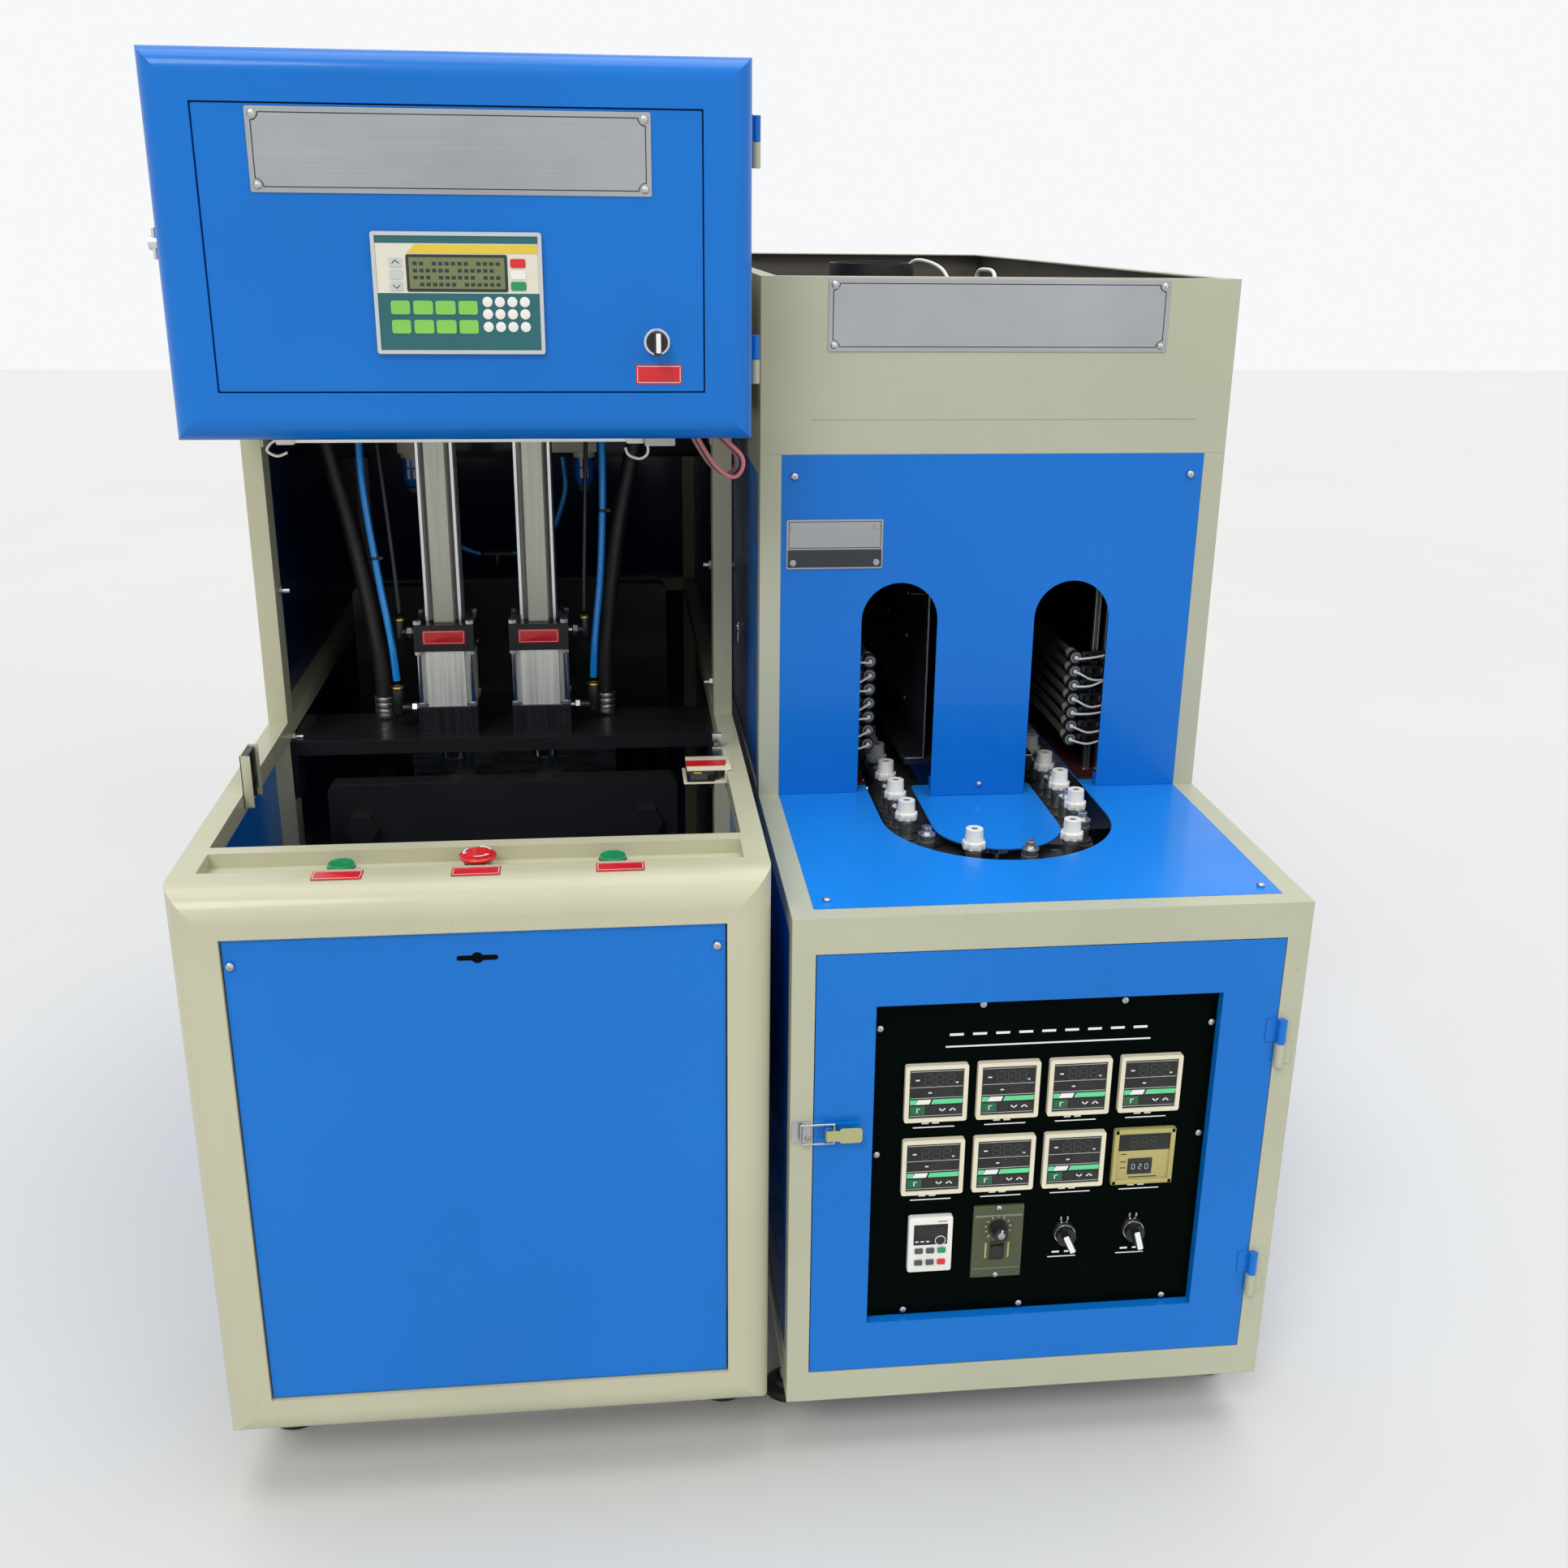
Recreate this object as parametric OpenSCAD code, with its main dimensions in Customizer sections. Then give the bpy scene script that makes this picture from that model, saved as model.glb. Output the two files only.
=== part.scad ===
// Semi-automatic blow moulding machine: a two-cavity stretch-blowing unit and its infrared
// preform heater, standing side by side. Millimetres, +X right, +Y to the back, +Z up.
// The origin is on the floor, in the middle of the footprint.

/* [Layout] */
// Height of the levelling feet under both cabinets
foot_h = 80; // [65:1:110]
// Gap between the two cabinets
cabinet_gap = 22; // [18:1:60]
// Thickness of the cabinet sheets
sheet = 2; // [1.5:0.5:3]

/* [Blowing unit] */
// Width of the blowing unit
blower_w = 622; // [600:1:680]
// Depth of the blowing unit
blower_d = 1500; // [1450:10:1600]
// Height of its base, without the feet
base_h = 681; // [660:1:720]
// How much higher the blowing unit's feet are than the heater's
blower_lift = 10; // [0:1:20]
// Radius of the rounded front edges of the base
base_edge_r = 35; // [20:1:45]
// Width of the square frame tubes
tube = 25; // [20:1:30]
// Distance from the base's front to the upright posts
post_setback = 581; // [560:1:600]
// Depth of the upright posts
post_d = 40; // [30:1:60]
// Width of the blue front panel
front_panel_w = 518; // [480:1:530]
// Height of the blue front panel
front_panel_h = 572; // [500:1:580]
// Height of the front panel above the cabinet's underside
front_panel_lift = 56; // [50:1:75]

/* [Button channel] */
// Length of the channel in the front rail
channel_l = 568; // [450:1:570]
// Width of the channel
channel_w = 54; // [46:1:58]
// Depth of the channel
channel_depth = 16.6; // [8:0.2:20]
// Distance of each start button from the emergency stop
button_spread = 143; // [90:1:220]
// Diameter of a start button
button_d = 28; // [22:1:34]
// Diameter of the emergency stop's head
stop_d = 40; // [30:1:46]

/* [Control box] */
// Height of the control box
box_h = 391; // [380:1:430]
// Height of the box's underside above the base's rim
box_lift = 411; // [400:1:440]
// Depth of the box behind its cover
box_d = 257; // [200:1:260]
// Depth of the swinging cover
cover_d = 55; // [50:1:65]
// Radius of the cover's front edges
cover_r = 25; // [12:1:30]
// Width of the panel set into the cover
inset_w = 518; // [500:1:540]
// Height of the panel set into the cover
inset_h = 287; // [280:1:310]

/* [Stretch and clamp] */
// Distance between the two cavities
cavity_pitch = 126; // [118:1:136]
// Distance of the cavities' middle to the left of the cabinet's
cavity_shift = 12; // [0:1:16]
// Width of an upper stretch barrel
upper_barrel = 50; // [44:1:56]
// Width of a lower sealing barrel
lower_barrel = 75; // [68:1:80]
// Diameter of a stretch rod
rod_d = 12; // [8:0.5:14]
// Travel of the sealing nozzles
nozzle_stroke = 30; // [15:1:32]
// Travel of the stretch rods
stretch_stroke = 250; // [180:5:260]
// Travel of the moving platen
clamp_stroke = 140; // [100:5:150]
// Height of the moulds
mould_h = 300; // [280:5:302]
// Width of the moulds
mould_w = 300; // [290:5:330]
// Diameter of the tie bars
tie_d = 30; // [22:1:40]

/* [Heater cabinet] */
// Width of the heater
heater_w = 580; // [570:1:640]
// Depth of the heater
heater_d = 1806; // [1790:1:1900]
// Height of the deck, without the feet
deck_h = 630; // [615:1:660]
// Height of the hood's top, without the feet
hood_top = 1272; // [1240:1:1320]
// Height of the hood's sheet front
hood_h = 206; // [190:1:240]
// Distance from the heater's front to the oven's front
oven_setback = 395; // [385:1:405]
// Width of the heater's frame tubes
side_tube = 26; // [22:1:30]
// Height of the heater's front rails
rail_h = 41; // [34:1:44]

/* [Oven] */
// Width of an arch in the oven's front
arch_w = 97; // [84:1:104]
// Height of an arch above the deck
arch_h = 277; // [220:1:300]
// Number of lamps in each bank
lamp_count = 7; // [4:1:8]
// Distance between lamps
lamp_pitch = 18.9; // [17:0.1:20]
// Length of a lamp
lamp_l = 1020; // [900:10:1050]
// Distance of the lamp banks from the oven's middle
lamp_offset = 138; // [134:1:146]

/* [Conveyor] */
// Chain pitch
chain_pitch = 38.1; // [37:0.1:38.4]
// Number of links on each straight run
straight_links = 32; // [28:1:33]
// Distance of a spindle from the chain's pitch line
carrier_reach = 50; // [46:0.5:53]
// Diameter of a preform cap
cap_d = 21.6; // [18:0.2:24]
// Height of a preform cap
cap_h = 25; // [18:0.5:30]

/* [Heater door] */
// Width of the door
door_w = 526; // [500:1:527]
// Width of the instrument panel's opening
meter_field_w = 393; // [390:1:398]
// Height of the instrument panel's opening
meter_field_h = 416; // [414:1:420]
// Depth at which the instrument panel sits behind the door
meter_recess = 13; // [10:1:20]
// Bezel size of the panel meters
meter_size = 72; // [64:1:76]

/* [Hidden] */
$fn = 48;

// Colours as the photograph shows them
blue = [0.17, 0.45, 0.80];
beige = [0.80, 0.79, 0.67];
grey_green = [0.70, 0.71, 0.61];
black = [0.05, 0.05, 0.055];
steel = [0.62, 0.63, 0.64];
chrome = [0.78, 0.79, 0.80];
white = [0.92, 0.92, 0.90];

eps = 0.01;
run_gap = 0.05;                 // radial running clearance of every shaft and pin
face_gap = 0.3;                 // clearance between faces that move past each other
panel_gap = 1.5;                // gap round a panel or door in its frame

// Cabinet corners; the pair's footprint is centred on the origin
blower_x0 = 2 - (blower_w + cabinet_gap + heater_w) / 2;
blower_x1 = blower_x0 + blower_w;
blower_mid = (blower_x0 + blower_x1) / 2;
blower_y0 = -910;
blower_y1 = blower_y0 + blower_d;
base_z = foot_h + blower_lift;
rim_z = base_z + base_h;
heater_x0 = blower_x1 + cabinet_gap;
heater_x1 = heater_x0 + heater_w;
heater_mid = (heater_x0 + heater_x1) / 2;
heater_y0 = -890;
heater_y1 = heater_y0 + heater_d;

// Blowing unit
post_y0 = blower_y0 + post_setback;
post_y1 = post_y0 + post_d;
box_z0 = rim_z + box_lift;
box_z1 = box_z0 + box_h;
box_y0 = post_y0 - box_d;
cover_y1 = box_y0 - 2;
cover_y0 = cover_y1 - cover_d - 1;
front_rail_d = 126;             // depth of the front rail, with its rear strip
front_post_d = 55;
hopper_y0 = blower_y0 + front_rail_d;
channel_y1 = hopper_y0 - 18.6;
channel_y = channel_y1 - channel_w / 2;
channel_z = rim_z - channel_depth;
inset_z0 = box_z0 + (box_h - inset_h) / 2;
floor_rail_h = 40;
bed_z = 370;                    // top of the machine bed
bed_h = 40;

// Clamp: the moulds close on the plane of the stretch cylinders
close_y = post_y0 + 54;
mould_half_d = 80;
platen_t = 30;
platen_w = 464;
front_platen_h = 330;
moving_platen_h = 525;
rear_mould_y = close_y + clamp_stroke;
moving_y = rear_mould_y + mould_half_d;
rear_platen_y = moving_y + platen_t + clamp_stroke + 205;
tie_x = platen_w / 2 - 42;
tie_z = [bed_z + 60, bed_z + 270];
mould_z1 = bed_z + mould_h;
cylinder_d = 125;
cylinder_l = clamp_stroke + 35;
clamp_rod_d = 35;
clamp_z = bed_z + 165;
piston_t = 20;

// Stretch units, bottom to top
bridge_z = rim_z - 47;
bridge_t = 20;
block_h = 40;
lower_h = 78;
mid_block_h = 36;
lower_block_z = bridge_z + bridge_t;
lower_z = lower_block_z + block_h;
mid_z = lower_z + lower_h;
upper_z = mid_z + mid_block_h;
upper_h = 402;
nozzle_d = 40;
nozzle_head_h = 21;
nozzle_z = mould_z1 + nozzle_stroke + 2;

// Heater
deck_z = foot_h + deck_h;
oven_y = heater_y0 + oven_setback;
oven_front_h = 436;
hood_z = foot_h + hood_top - hood_h;
hood_z1 = foot_h + hood_top;
front_rail_z = deck_z - rail_h - 1;
door_z0 = foot_h + rail_h;
door_h = deck_h - 2 * rail_h - 1;
door_x0 = heater_x0 + side_tube + 1;
door_x1 = door_x0 + door_w;
door_t = 22;
field_x0 = door_x0 + 67;
field_x1 = field_x0 + meter_field_w;
field_z0 = door_z0 + (door_h - meter_field_h) / 2 + 0.5;
field_z1 = field_z0 + meter_field_h;
meter_y = heater_y0 + meter_recess;
track_x = heater_mid - 2;       // middle of the conveyor loop
turn_y = oven_y - 102;          // centre of the loop's front turn
turn_links = 5;
pitch_r = chain_pitch / (2 * sin(90 / turn_links));
run_l = straight_links * chain_pitch;
loop_links = 2 * (straight_links + turn_links);
chain_phase = 0.27;
carrier_z = deck_z - 30;        // top of the carriers
carrier_t = 6;
chain_z = carrier_z - carrier_t - 12;
cap_z = deck_z - 2;
slot_r = 144;
tongue_r = 80;
tongue_z = deck_z - 8;
tongue_y1 = oven_y + 45;
lamp_z0 = deck_z + 48;
lamp_y0 = oven_y + 55;
tray_z = deck_z + 26;

// Shared building blocks
module block(x0, x1, y0, y1, z0, z1) {
    translate([x0, y0, z0]) cube([x1 - x0, y1 - y0, z1 - z0]);
}
module along_x(x0, x1) {        // the 2-D shape lies in the YZ plane
    translate([x0, 0, 0]) rotate([90, 0, 90]) linear_extrude(x1 - x0) children();
}
module along_y(y0, y1) {        // the 2-D shape lies in the XZ plane
    translate([0, y1, 0]) rotate([90, 0, 0]) linear_extrude(y1 - y0) children();
}
module along_z(z0, z1) {
    translate([0, 0, z0]) linear_extrude(z1 - z0) children();
}
module rod_x(y, z, x0, x1, d) { along_x(x0, x1) translate([y, z]) circle(d = d); }
module rod_y(x, z, y0, y1, d) { along_y(y0, y1) translate([x, z]) circle(d = d); }
module rod_z(x, y, z0, z1, d) { along_z(z0, z1) translate([x, y]) circle(d = d); }
module area(u0, u1, v0, v1) { translate([u0, v0]) square([u1 - u0, v1 - v0]); }
module round_area(u0, u1, v0, v1, r) {   // rectangle with true arcs at its corners
    area(u0 + r, u1 - r, v0, v1);
    area(u0, u1, v0 + r, v1 - r);
    for (u = [u0 + r, u1 - r], v = [v0 + r, v1 - r]) translate([u, v]) circle(r);
}
module front_round(u0, u1, v0, v1, r) {  // only the two corners at u0 are rounded
    area(u0 + r, u1, v0, v1);
    area(u0, u0 + r + eps, v0 + r, v1 - r);
    for (v = [v0 + r, v1 - r]) translate([u0 + r, v]) circle(r);
}
module sides_round(u0, u1, v0, v1, r) {  // only the two corners at v0 are rounded
    area(u0, u1, v0 + r, v1);
    area(u0 + r, u1 - r, v0, v0 + r + eps);
    for (u = [u0 + r, u1 - r]) translate([u, v0 + r]) circle(r);
}
module stadium(u, v, l, w) {             // slot of length l along the first axis
    area(u - l / 2 + w / 2, u + l / 2 - w / 2, v - w / 2, v + w / 2);
    for (s = [-1, 1]) translate([u + s * (l - w) / 2, v]) circle(d = w);
}
module frame_ring(u0, u1, v0, v1, w) {
    difference() {
        area(u0, u1, v0, v1);
        area(u0 + w, u1 - w, v0 + w, v1 - w);
    }
}
module lift_hinge(x, y, z, h, lower) {   // one barrel of a lift-off hinge with its leaf
    z0 = lower ? z : z + h / 2 + 0.2;
    difference() {
        rod_z(x, y, z0, z0 + h / 2 - 0.2, 10);
        if (!lower) rod_z(x, y, z0 - eps, z0 + h / 2 - 6, 5 + 2 * run_gap);
    }
    if (lower) rod_z(x, y, z0, z0 + h - 8, 5);
}

// A smooth tube through hand-picked points: a Catmull-Rom curve swept with a round section
function spline(p, i, t) =
    let (a = p[max(i - 1, 0)], b = p[i], c = p[i + 1], d = p[min(i + 2, len(p) - 1)])
    0.5 * (2 * b + (c - a) * t + (2 * a - 5 * b + 4 * c - d) * t * t
        + (3 * b - a - 3 * c + d) * t * t * t);
function curve_points(p, steps) = concat(
    [for (i = [0 : len(p) - 2], k = [0 : steps - 1]) spline(p, i, k / steps)], [p[len(p) - 1]]);
function unit(v) = v / norm(v);
function tangent(q, i) = unit(q[min(i + 1, len(q) - 1)] - q[max(i - 1, 0)]);
function side_vector(t, ref) = unit(cross(t, ref));
module tube_along(p, d, steps = 4, sides = 8, ref = [1, 0.02, 0.03]) {
    q = curve_points(p, steps);
    n = len(q);
    rings = [for (i = [0 : n - 1])
        let (t = tangent(q, i), u = side_vector(t, ref), v = cross(t, u))
        for (k = [0 : sides - 1])
            q[i] + d / 2 * (u * cos(360 * k / sides) + v * sin(360 * k / sides))];
    walls = [for (i = [0 : n - 2], k = [0 : sides - 1])
        let (a = i * sides + k, b = i * sides + (k + 1) % sides)
        [a, b, b + sides, a + sides]];
    ends = [[for (k = [sides - 1 : -1 : 0]) k], [for (k = [0 : sides - 1]) (n - 1) * sides + k]];
    polyhedron(rings, concat(walls, ends), convexity = 4);
}

// Blowing unit: frame, panels and feet
module front_frame_shape() {
    intersection() {
        along_x(blower_x0, blower_x1)
            front_round(blower_y0, hopper_y0, base_z, rim_z, base_edge_r);
        along_z(base_z, rim_z)
            sides_round(blower_x0, blower_x1, blower_y0, hopper_y0, base_edge_r);
    }
}
panel_mid = blower_mid + 3;
panel_z0 = base_z + front_panel_lift;
module front_frame() {
    inner_x0 = panel_mid - front_panel_w / 2;
    inner_x1 = panel_mid + front_panel_w / 2;
    panel_z1 = panel_z0 + front_panel_h;
    difference() {
        front_frame_shape();
        block(inner_x0, inner_x1, blower_y0 - 1, hopper_y0 + 1, panel_z0, panel_z1);
        block(blower_mid - channel_l / 2, blower_mid + channel_l / 2,
            channel_y - channel_w / 2, channel_y + channel_w / 2, channel_z, rim_z + 1);
        block(blower_x0 + tube, blower_x1 - tube, blower_y0 + front_post_d, hopper_y0 + 1,
            base_z + floor_rail_h, channel_z - 25);
        block(blower_x0 - 1, blower_x1 + 1, blower_y0 + front_post_d, hopper_y0 + 1,
            base_z + floor_rail_h, rim_z - tube);
        for (x = button_xs()) rod_z(x, channel_y, channel_z - 40, rim_z + 1, 22.4);
    }
    // lugs that the panel is screwed to
    for (x = [inner_x0 - 1, inner_x1 - 17], z = [panel_z0 + 40, panel_z1 - 43])
        block(x, x + 18, blower_y0 + 22.2, blower_y0 + 25, z, z + 30);
}
function button_xs() = [panel_mid - 1.6 - button_spread, panel_mid - 1.6, panel_mid - 1.6 + button_spread];
module blower_frame() color(beige) {
    side_x = [blower_x0, blower_x1 - tube];
    front_frame();
    for (x = side_x) {
        block(x, x + tube, hopper_y0 - 1, post_y0 + 1, rim_z - tube, rim_z);
        block(x, x + tube, blower_y0 + front_post_d - 1, blower_y1, base_z, base_z + floor_rail_h);
        block(x, x + tube, post_y0, post_y1, base_z, box_z1);
        block(x, x + tube, blower_y1 - tube, blower_y1, base_z, box_z1);
        block(x, x + tube, post_y1 - 1, blower_y1, box_z1 - tube, box_z1);
        block(x, x + tube, post_y1 - 1, blower_y1, rim_z - tube, rim_z);
    }
    for (y = [post_y0, blower_y1 - tube], z = [base_z, box_z1 - floor_rail_h])
        block(blower_x0 + 1, blower_x1 - 1, y, y + tube, z, z + floor_rail_h);
    block(blower_x0 + 1, blower_x1 - 1, blower_y1 - tube, blower_y1, rim_z - tube, rim_z);
    // pads over the front feet
    for (x = [blower_x0 + 1, blower_x1 - 76]) block(x, x + 75, foot_y - 35, foot_y + 35, base_z, base_z + 6);
    // machine bed: two channels on cross members
    for (s = [-1, 1]) block(blower_mid + s * tie_x - 20, blower_mid + s * tie_x + 20,
        post_y0 - 120, blower_y1 - 20, bed_z - bed_h, bed_z);
    for (y = [post_y0 - 120, post_y0, rear_platen_y])
        block(blower_x0 + 3.3, blower_x1 - 3.3, y, y + tube, bed_z - bed_h - tube, bed_z - bed_h + 1);
    for (x = [blower_x0 + 3.3, blower_x1 - tube], y = [post_y0 - 120, rear_platen_y])
        block(x, x + tube - 3.3, y, y + tube, base_z, bed_z - bed_h);
}
module vent_rows(u, v, n, l, step) {
    for (i = [0 : n - 1]) stadium(u, v + i * step, l, 6);
}
module blower_panels() color([0.08, 0.16, 0.42]) {
    lower_z0 = base_z + floor_rail_h;
    upper_z1 = box_z1 - tube;
    for (x = [blower_x0 + 1, blower_x1 - 1 - sheet]) {
        along_x(x, x + sheet) area(blower_y0 + front_post_d, post_y0, lower_z0, rim_z - tube);
        along_x(x, x + sheet) difference() {
            area(post_y1, blower_y1 - tube, lower_z0, rim_z - tube);
            vent_rows(blower_y1 - 300, lower_z0 + 120, 8, 120, 16);
        }
        along_x(x, x + sheet) area(post_y1, blower_y1 - tube, rim_z, upper_z1);
    }
    along_y(blower_y1 - 1 - sheet, blower_y1 - 1) difference() {
        union() {
            area(blower_x0 + tube, blower_x1 - tube, lower_z0, rim_z - tube);
            area(blower_x0 + tube, blower_x1 - tube, rim_z, box_z1 - floor_rail_h);
        }
        vent_rows(blower_mid, rim_z + 420, 9, 260, 18);
    }
    along_z(box_z1 - 1 - sheet, box_z1 - 1)
        area(blower_x0 + tube, blower_x1 - tube, post_y0 + tube, blower_y1 - tube);
}
module front_panel() color(blue) {
    panel_z1 = panel_z0 + front_panel_h;
    x0 = panel_mid - front_panel_w / 2 + panel_gap;
    x1 = panel_mid + front_panel_w / 2 - panel_gap;
    slot_z = panel_z1 - 31;
    along_y(blower_y0 + 4, blower_y0 + 4 + sheet) difference() {
        round_area(x0, x1, panel_z0 + panel_gap, panel_z1 - panel_gap, 2);
        stadium(panel_mid - 1, slot_z, 43, 6.5);
        translate([panel_mid - 1, slot_z]) circle(d = 13);
    }
    // folded edges and two mounting screws
    along_y(blower_y0 + 4 + sheet - eps, blower_y0 + 22)
        frame_ring(x0, x1, panel_z0 + panel_gap, panel_z1 - panel_gap, sheet);
    for (x = [x0 + 7, x1 - 9]) rod_y(x, panel_z1 - 28, blower_y0 + 2, blower_y0 + 5, 8);
}
module foot(x, y, h) {
    rod_z(x, y, 0, 12, 60);
    rod_z(x, y, 12 - eps, 20, 34);
    rod_z(x, y, 20 - eps, h, 16);
    along_z(h - 14, h - 4) translate([x, y]) circle(d = 27, $fn = 6);
}
inset = 45;
foot_y = blower_y0 + 150;
module levelling_feet() color(black) {
    for (x = [blower_x0 + inset, blower_x1 - inset], y = [foot_y, blower_y1 - 12]) foot(x, y, base_z);
    for (x = [heater_x0 + 16, heater_x1 - 16], y = [heater_y0 + 120, 0, heater_y1 - 40]) foot(x, y, foot_h);
}

// Control box: welded body, gear plate, work light
hinge_x = blower_x1 + 7;
hinge_y = cover_y1 - 2;
cover_hinge_z = [box_z0 + 57, box_z1 - 107];
cover_hinge_h = 53;
module control_box() color(beige) {
    difference() {
        block(blower_x0, blower_x1, box_y0, post_y0, box_z0, box_z1);
        block(blower_x0 + sheet, blower_x1 - sheet, box_y0 - 1, post_y0 - sheet,
            box_z0 + sheet, box_z1 - sheet);
        for (x = [blower_x0 + 90, blower_x1 - 60])
            block(x - 30, x + 30, post_y0 - 75, post_y0 - 35, box_z0 - 1, box_z0 + sheet + 1);
        for (p = lead_spots(), x = [p[0], p[0] + 30]) rod_z(x, p[1], box_z0 - 1, box_z0 + sheet + 1, 6.2);
    }
    along_y(box_y0, box_y0 + sheet) frame_ring(blower_x0 + 1, blower_x1 - 1, box_z0 + 1, box_z1 - 1, 20);
    for (z = cover_hinge_z) {
        lift_hinge(hinge_x, hinge_y, z, cover_hinge_h, true);
        block(blower_x1 - 1, hinge_x, box_y0, box_y0 + sheet, z, z + cover_hinge_h / 2 - 0.4);
        along_z(z, z + cover_hinge_h / 2 - 0.4)
            polygon([[hinge_x - 1, hinge_y], [hinge_x + 1, hinge_y], [hinge_x + 1, box_y0 + sheet],
                [hinge_x - 1, box_y0 + sheet]]);
    }
}
module control_gear() color([0.86, 0.86, 0.84]) {
    y1 = post_y0 - sheet;
    y0 = y1 - 3;
    mid_z = box_z0 + box_h / 2;
    block(blower_x0 + 30, blower_x1 - 30, y0, y1, box_z0 + 30, box_z1 - 30);
    for (z = [mid_z - 80, mid_z + 70]) block(blower_x0 + 50, blower_x1 - 50, y0 - 8, y0, z - 17, z + 17);
    // contactors and relays on the lower rail, supply and controller on the upper one
    for (i = [0 : 6]) block(blower_x0 + 70 + i * 48, blower_x0 + 112 + i * 48, y0 - 70, y0 - 8 + eps,
        mid_z - 120, mid_z - 44);
    block(blower_x0 + 80, blower_x0 + 190, y0 - 60, y0 - 8 + eps, mid_z + 22, mid_z + 118);
    block(blower_x0 + 230, blower_x0 + 370, y0 - 85, y0 - 8 + eps, mid_z + 26, mid_z + 114);
    for (i = [0 : 9]) block(blower_x1 - 215 + i * 14, blower_x1 - 203 + i * 14, y0 - 45, y0 - 8 + eps,
        mid_z + 45, mid_z + 95);
    // wiring ducts
    for (z = [box_z0 + 42, mid_z - 20]) block(blower_x0 + 50, blower_x1 - 50, y0 - 40, y0 + eps, z, z + 20);
}
light_z = box_z0 - 6;
light_y = box_y0 + 60;
module work_light() color(white) {
    rod_x(light_y, light_z, blower_x0 + 96, blower_x1 - 130, 9);
    for (x = [blower_x0 + 84, blower_x1 - 130]) block(x, x + 12, light_y - 8, light_y + 8, box_z0 - 14, box_z0);
    block(blower_x1 - 118 + eps, blower_x1 - 82, light_y - 15, light_y + 15, box_z0 - 16, box_z0);
}

// Button channel fittings and the rim's guard sensors
module button_bezels() color(steel) {
    for (x = button_xs()) difference() {
        union() {
            rod_z(x, channel_y, channel_z, channel_z + 8.5, button_d + 2);
            rod_z(x, channel_y, channel_z - 76, channel_z + eps, 22);
            along_z(channel_z - 46, channel_z - 36.4) translate([x, channel_y]) circle(d = 29, $fn = 6);
        }
        rod_z(x, channel_y, channel_z - 74, channel_z + 9, 17);
        rod_z(x, channel_y, channel_z + 5.6, channel_z + 9, button_d + 0.2);
    }
}
module start_button(x) color([0.05, 0.5, 0.25]) {
    top = channel_z + 13;
    stem_z = channel_z - 66.4;
    rod_z(x, channel_y, stem_z, top - 4 + eps, 17 - 2 * run_gap);
    translate([x, channel_y, top - 4]) rotate_extrude() difference() {
        union() {
            square([button_d / 2 - 1, 4]);
            square([button_d / 2, 3]);
            translate([button_d / 2 - 1, 3]) circle(1);
        }
        translate([0, 5 + 60]) circle(61.6);
        translate([-80, -10]) square([80, 100]);
    }
}
module start_button_left() start_button(button_xs()[0]);
module start_button_right() start_button(button_xs()[2]);
module emergency_stop() color([0.85, 0.06, 0.08]) {
    x = button_xs()[1];
    base = channel_z + 14;
    rod_z(x, channel_y, channel_z - 66.4, base + eps, 17 - 2 * run_gap);
    translate([x, channel_y, base]) rotate_extrude() {
        square([stop_d / 2 - 2.5, 5]);
        translate([0, 2.5]) square([stop_d / 2 - 2.5, 2.5]);
        translate([stop_d / 2 - 2.5, 2.5]) circle(2.5);
        square([9, 7.5]);
        translate([0, 5 - eps]) square([14, 1.6]);
    }
}
module guard_brackets() color(steel) {
    // left: channel on the rail's inner face, open to the middle, round a light receiver
    x = blower_x0 + tube;
    y = post_y0 - 285;
    difference() {
        block(x, x + 12, y, y + 48, rim_z - 17, rim_z + 47);
        block(x + 1.5, x + 13, y + 1.5, y + 46.5, rim_z - 18, rim_z + 48);
    }
    block(x + 1.5 - eps, x + 9, y + 4, y + 44, rim_z - 6, rim_z + 45);
    // right: flat sensor between two plates
    x1 = blower_x1 - tube;
    block(x1 - 53, x1, y + 35, y + 95, rim_z - 15, rim_z - 13);
    block(x1 - 49, x1 - 15, y + 37, y + 93, rim_z - 13 - eps, rim_z + 1);
    block(x1 - 48, x1 + 6, y + 41, y + 89, rim_z + 1 - eps, rim_z + 3);
    block(x1 - 2, x1, y + 35, y + 95, rim_z - 14, rim_z);
    block(x1 - 2, x1, y + 41, y + 89, rim_z - eps, rim_z + 3);
}

// Stretch cylinders over the closing plane, on a bridge between the posts
cavity_mid = blower_mid - cavity_shift;
cavity_xs = [cavity_mid - cavity_pitch / 2, cavity_mid + cavity_pitch / 2];
module cylinder_bridge() color(black) {
    difference() {
        block(blower_x0 + tube, blower_x1 - tube, post_y0, close_y + 75, bridge_z, bridge_z + bridge_t);
        for (x = cavity_xs) rod_z(x, close_y, bridge_z - 1, bridge_z + bridge_t + 1, nozzle_d + 2 * run_gap);
        for (x = cavity_xs, sx = [-1, 1], sy = [-1, 1])
            rod_z(x + sx * 29, close_y + sy * 29, bridge_z - 1, bridge_z + bridge_t + 1, 8);
    }
    for (x = [blower_x0 + tube, blower_x1 - tube - 8], s = [0])
        block(x, x + 8, post_y0, post_y1, bridge_z - 60, bridge_z + eps);
}
module tie_rods(x, w, z0, z1, d) {
    for (sx = [-1, 1], sy = [-1, 1]) rod_z(x + sx * (w / 2 - d / 2), close_y + sy * (w / 2 - d / 2), z0, z1, d);
}
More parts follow.
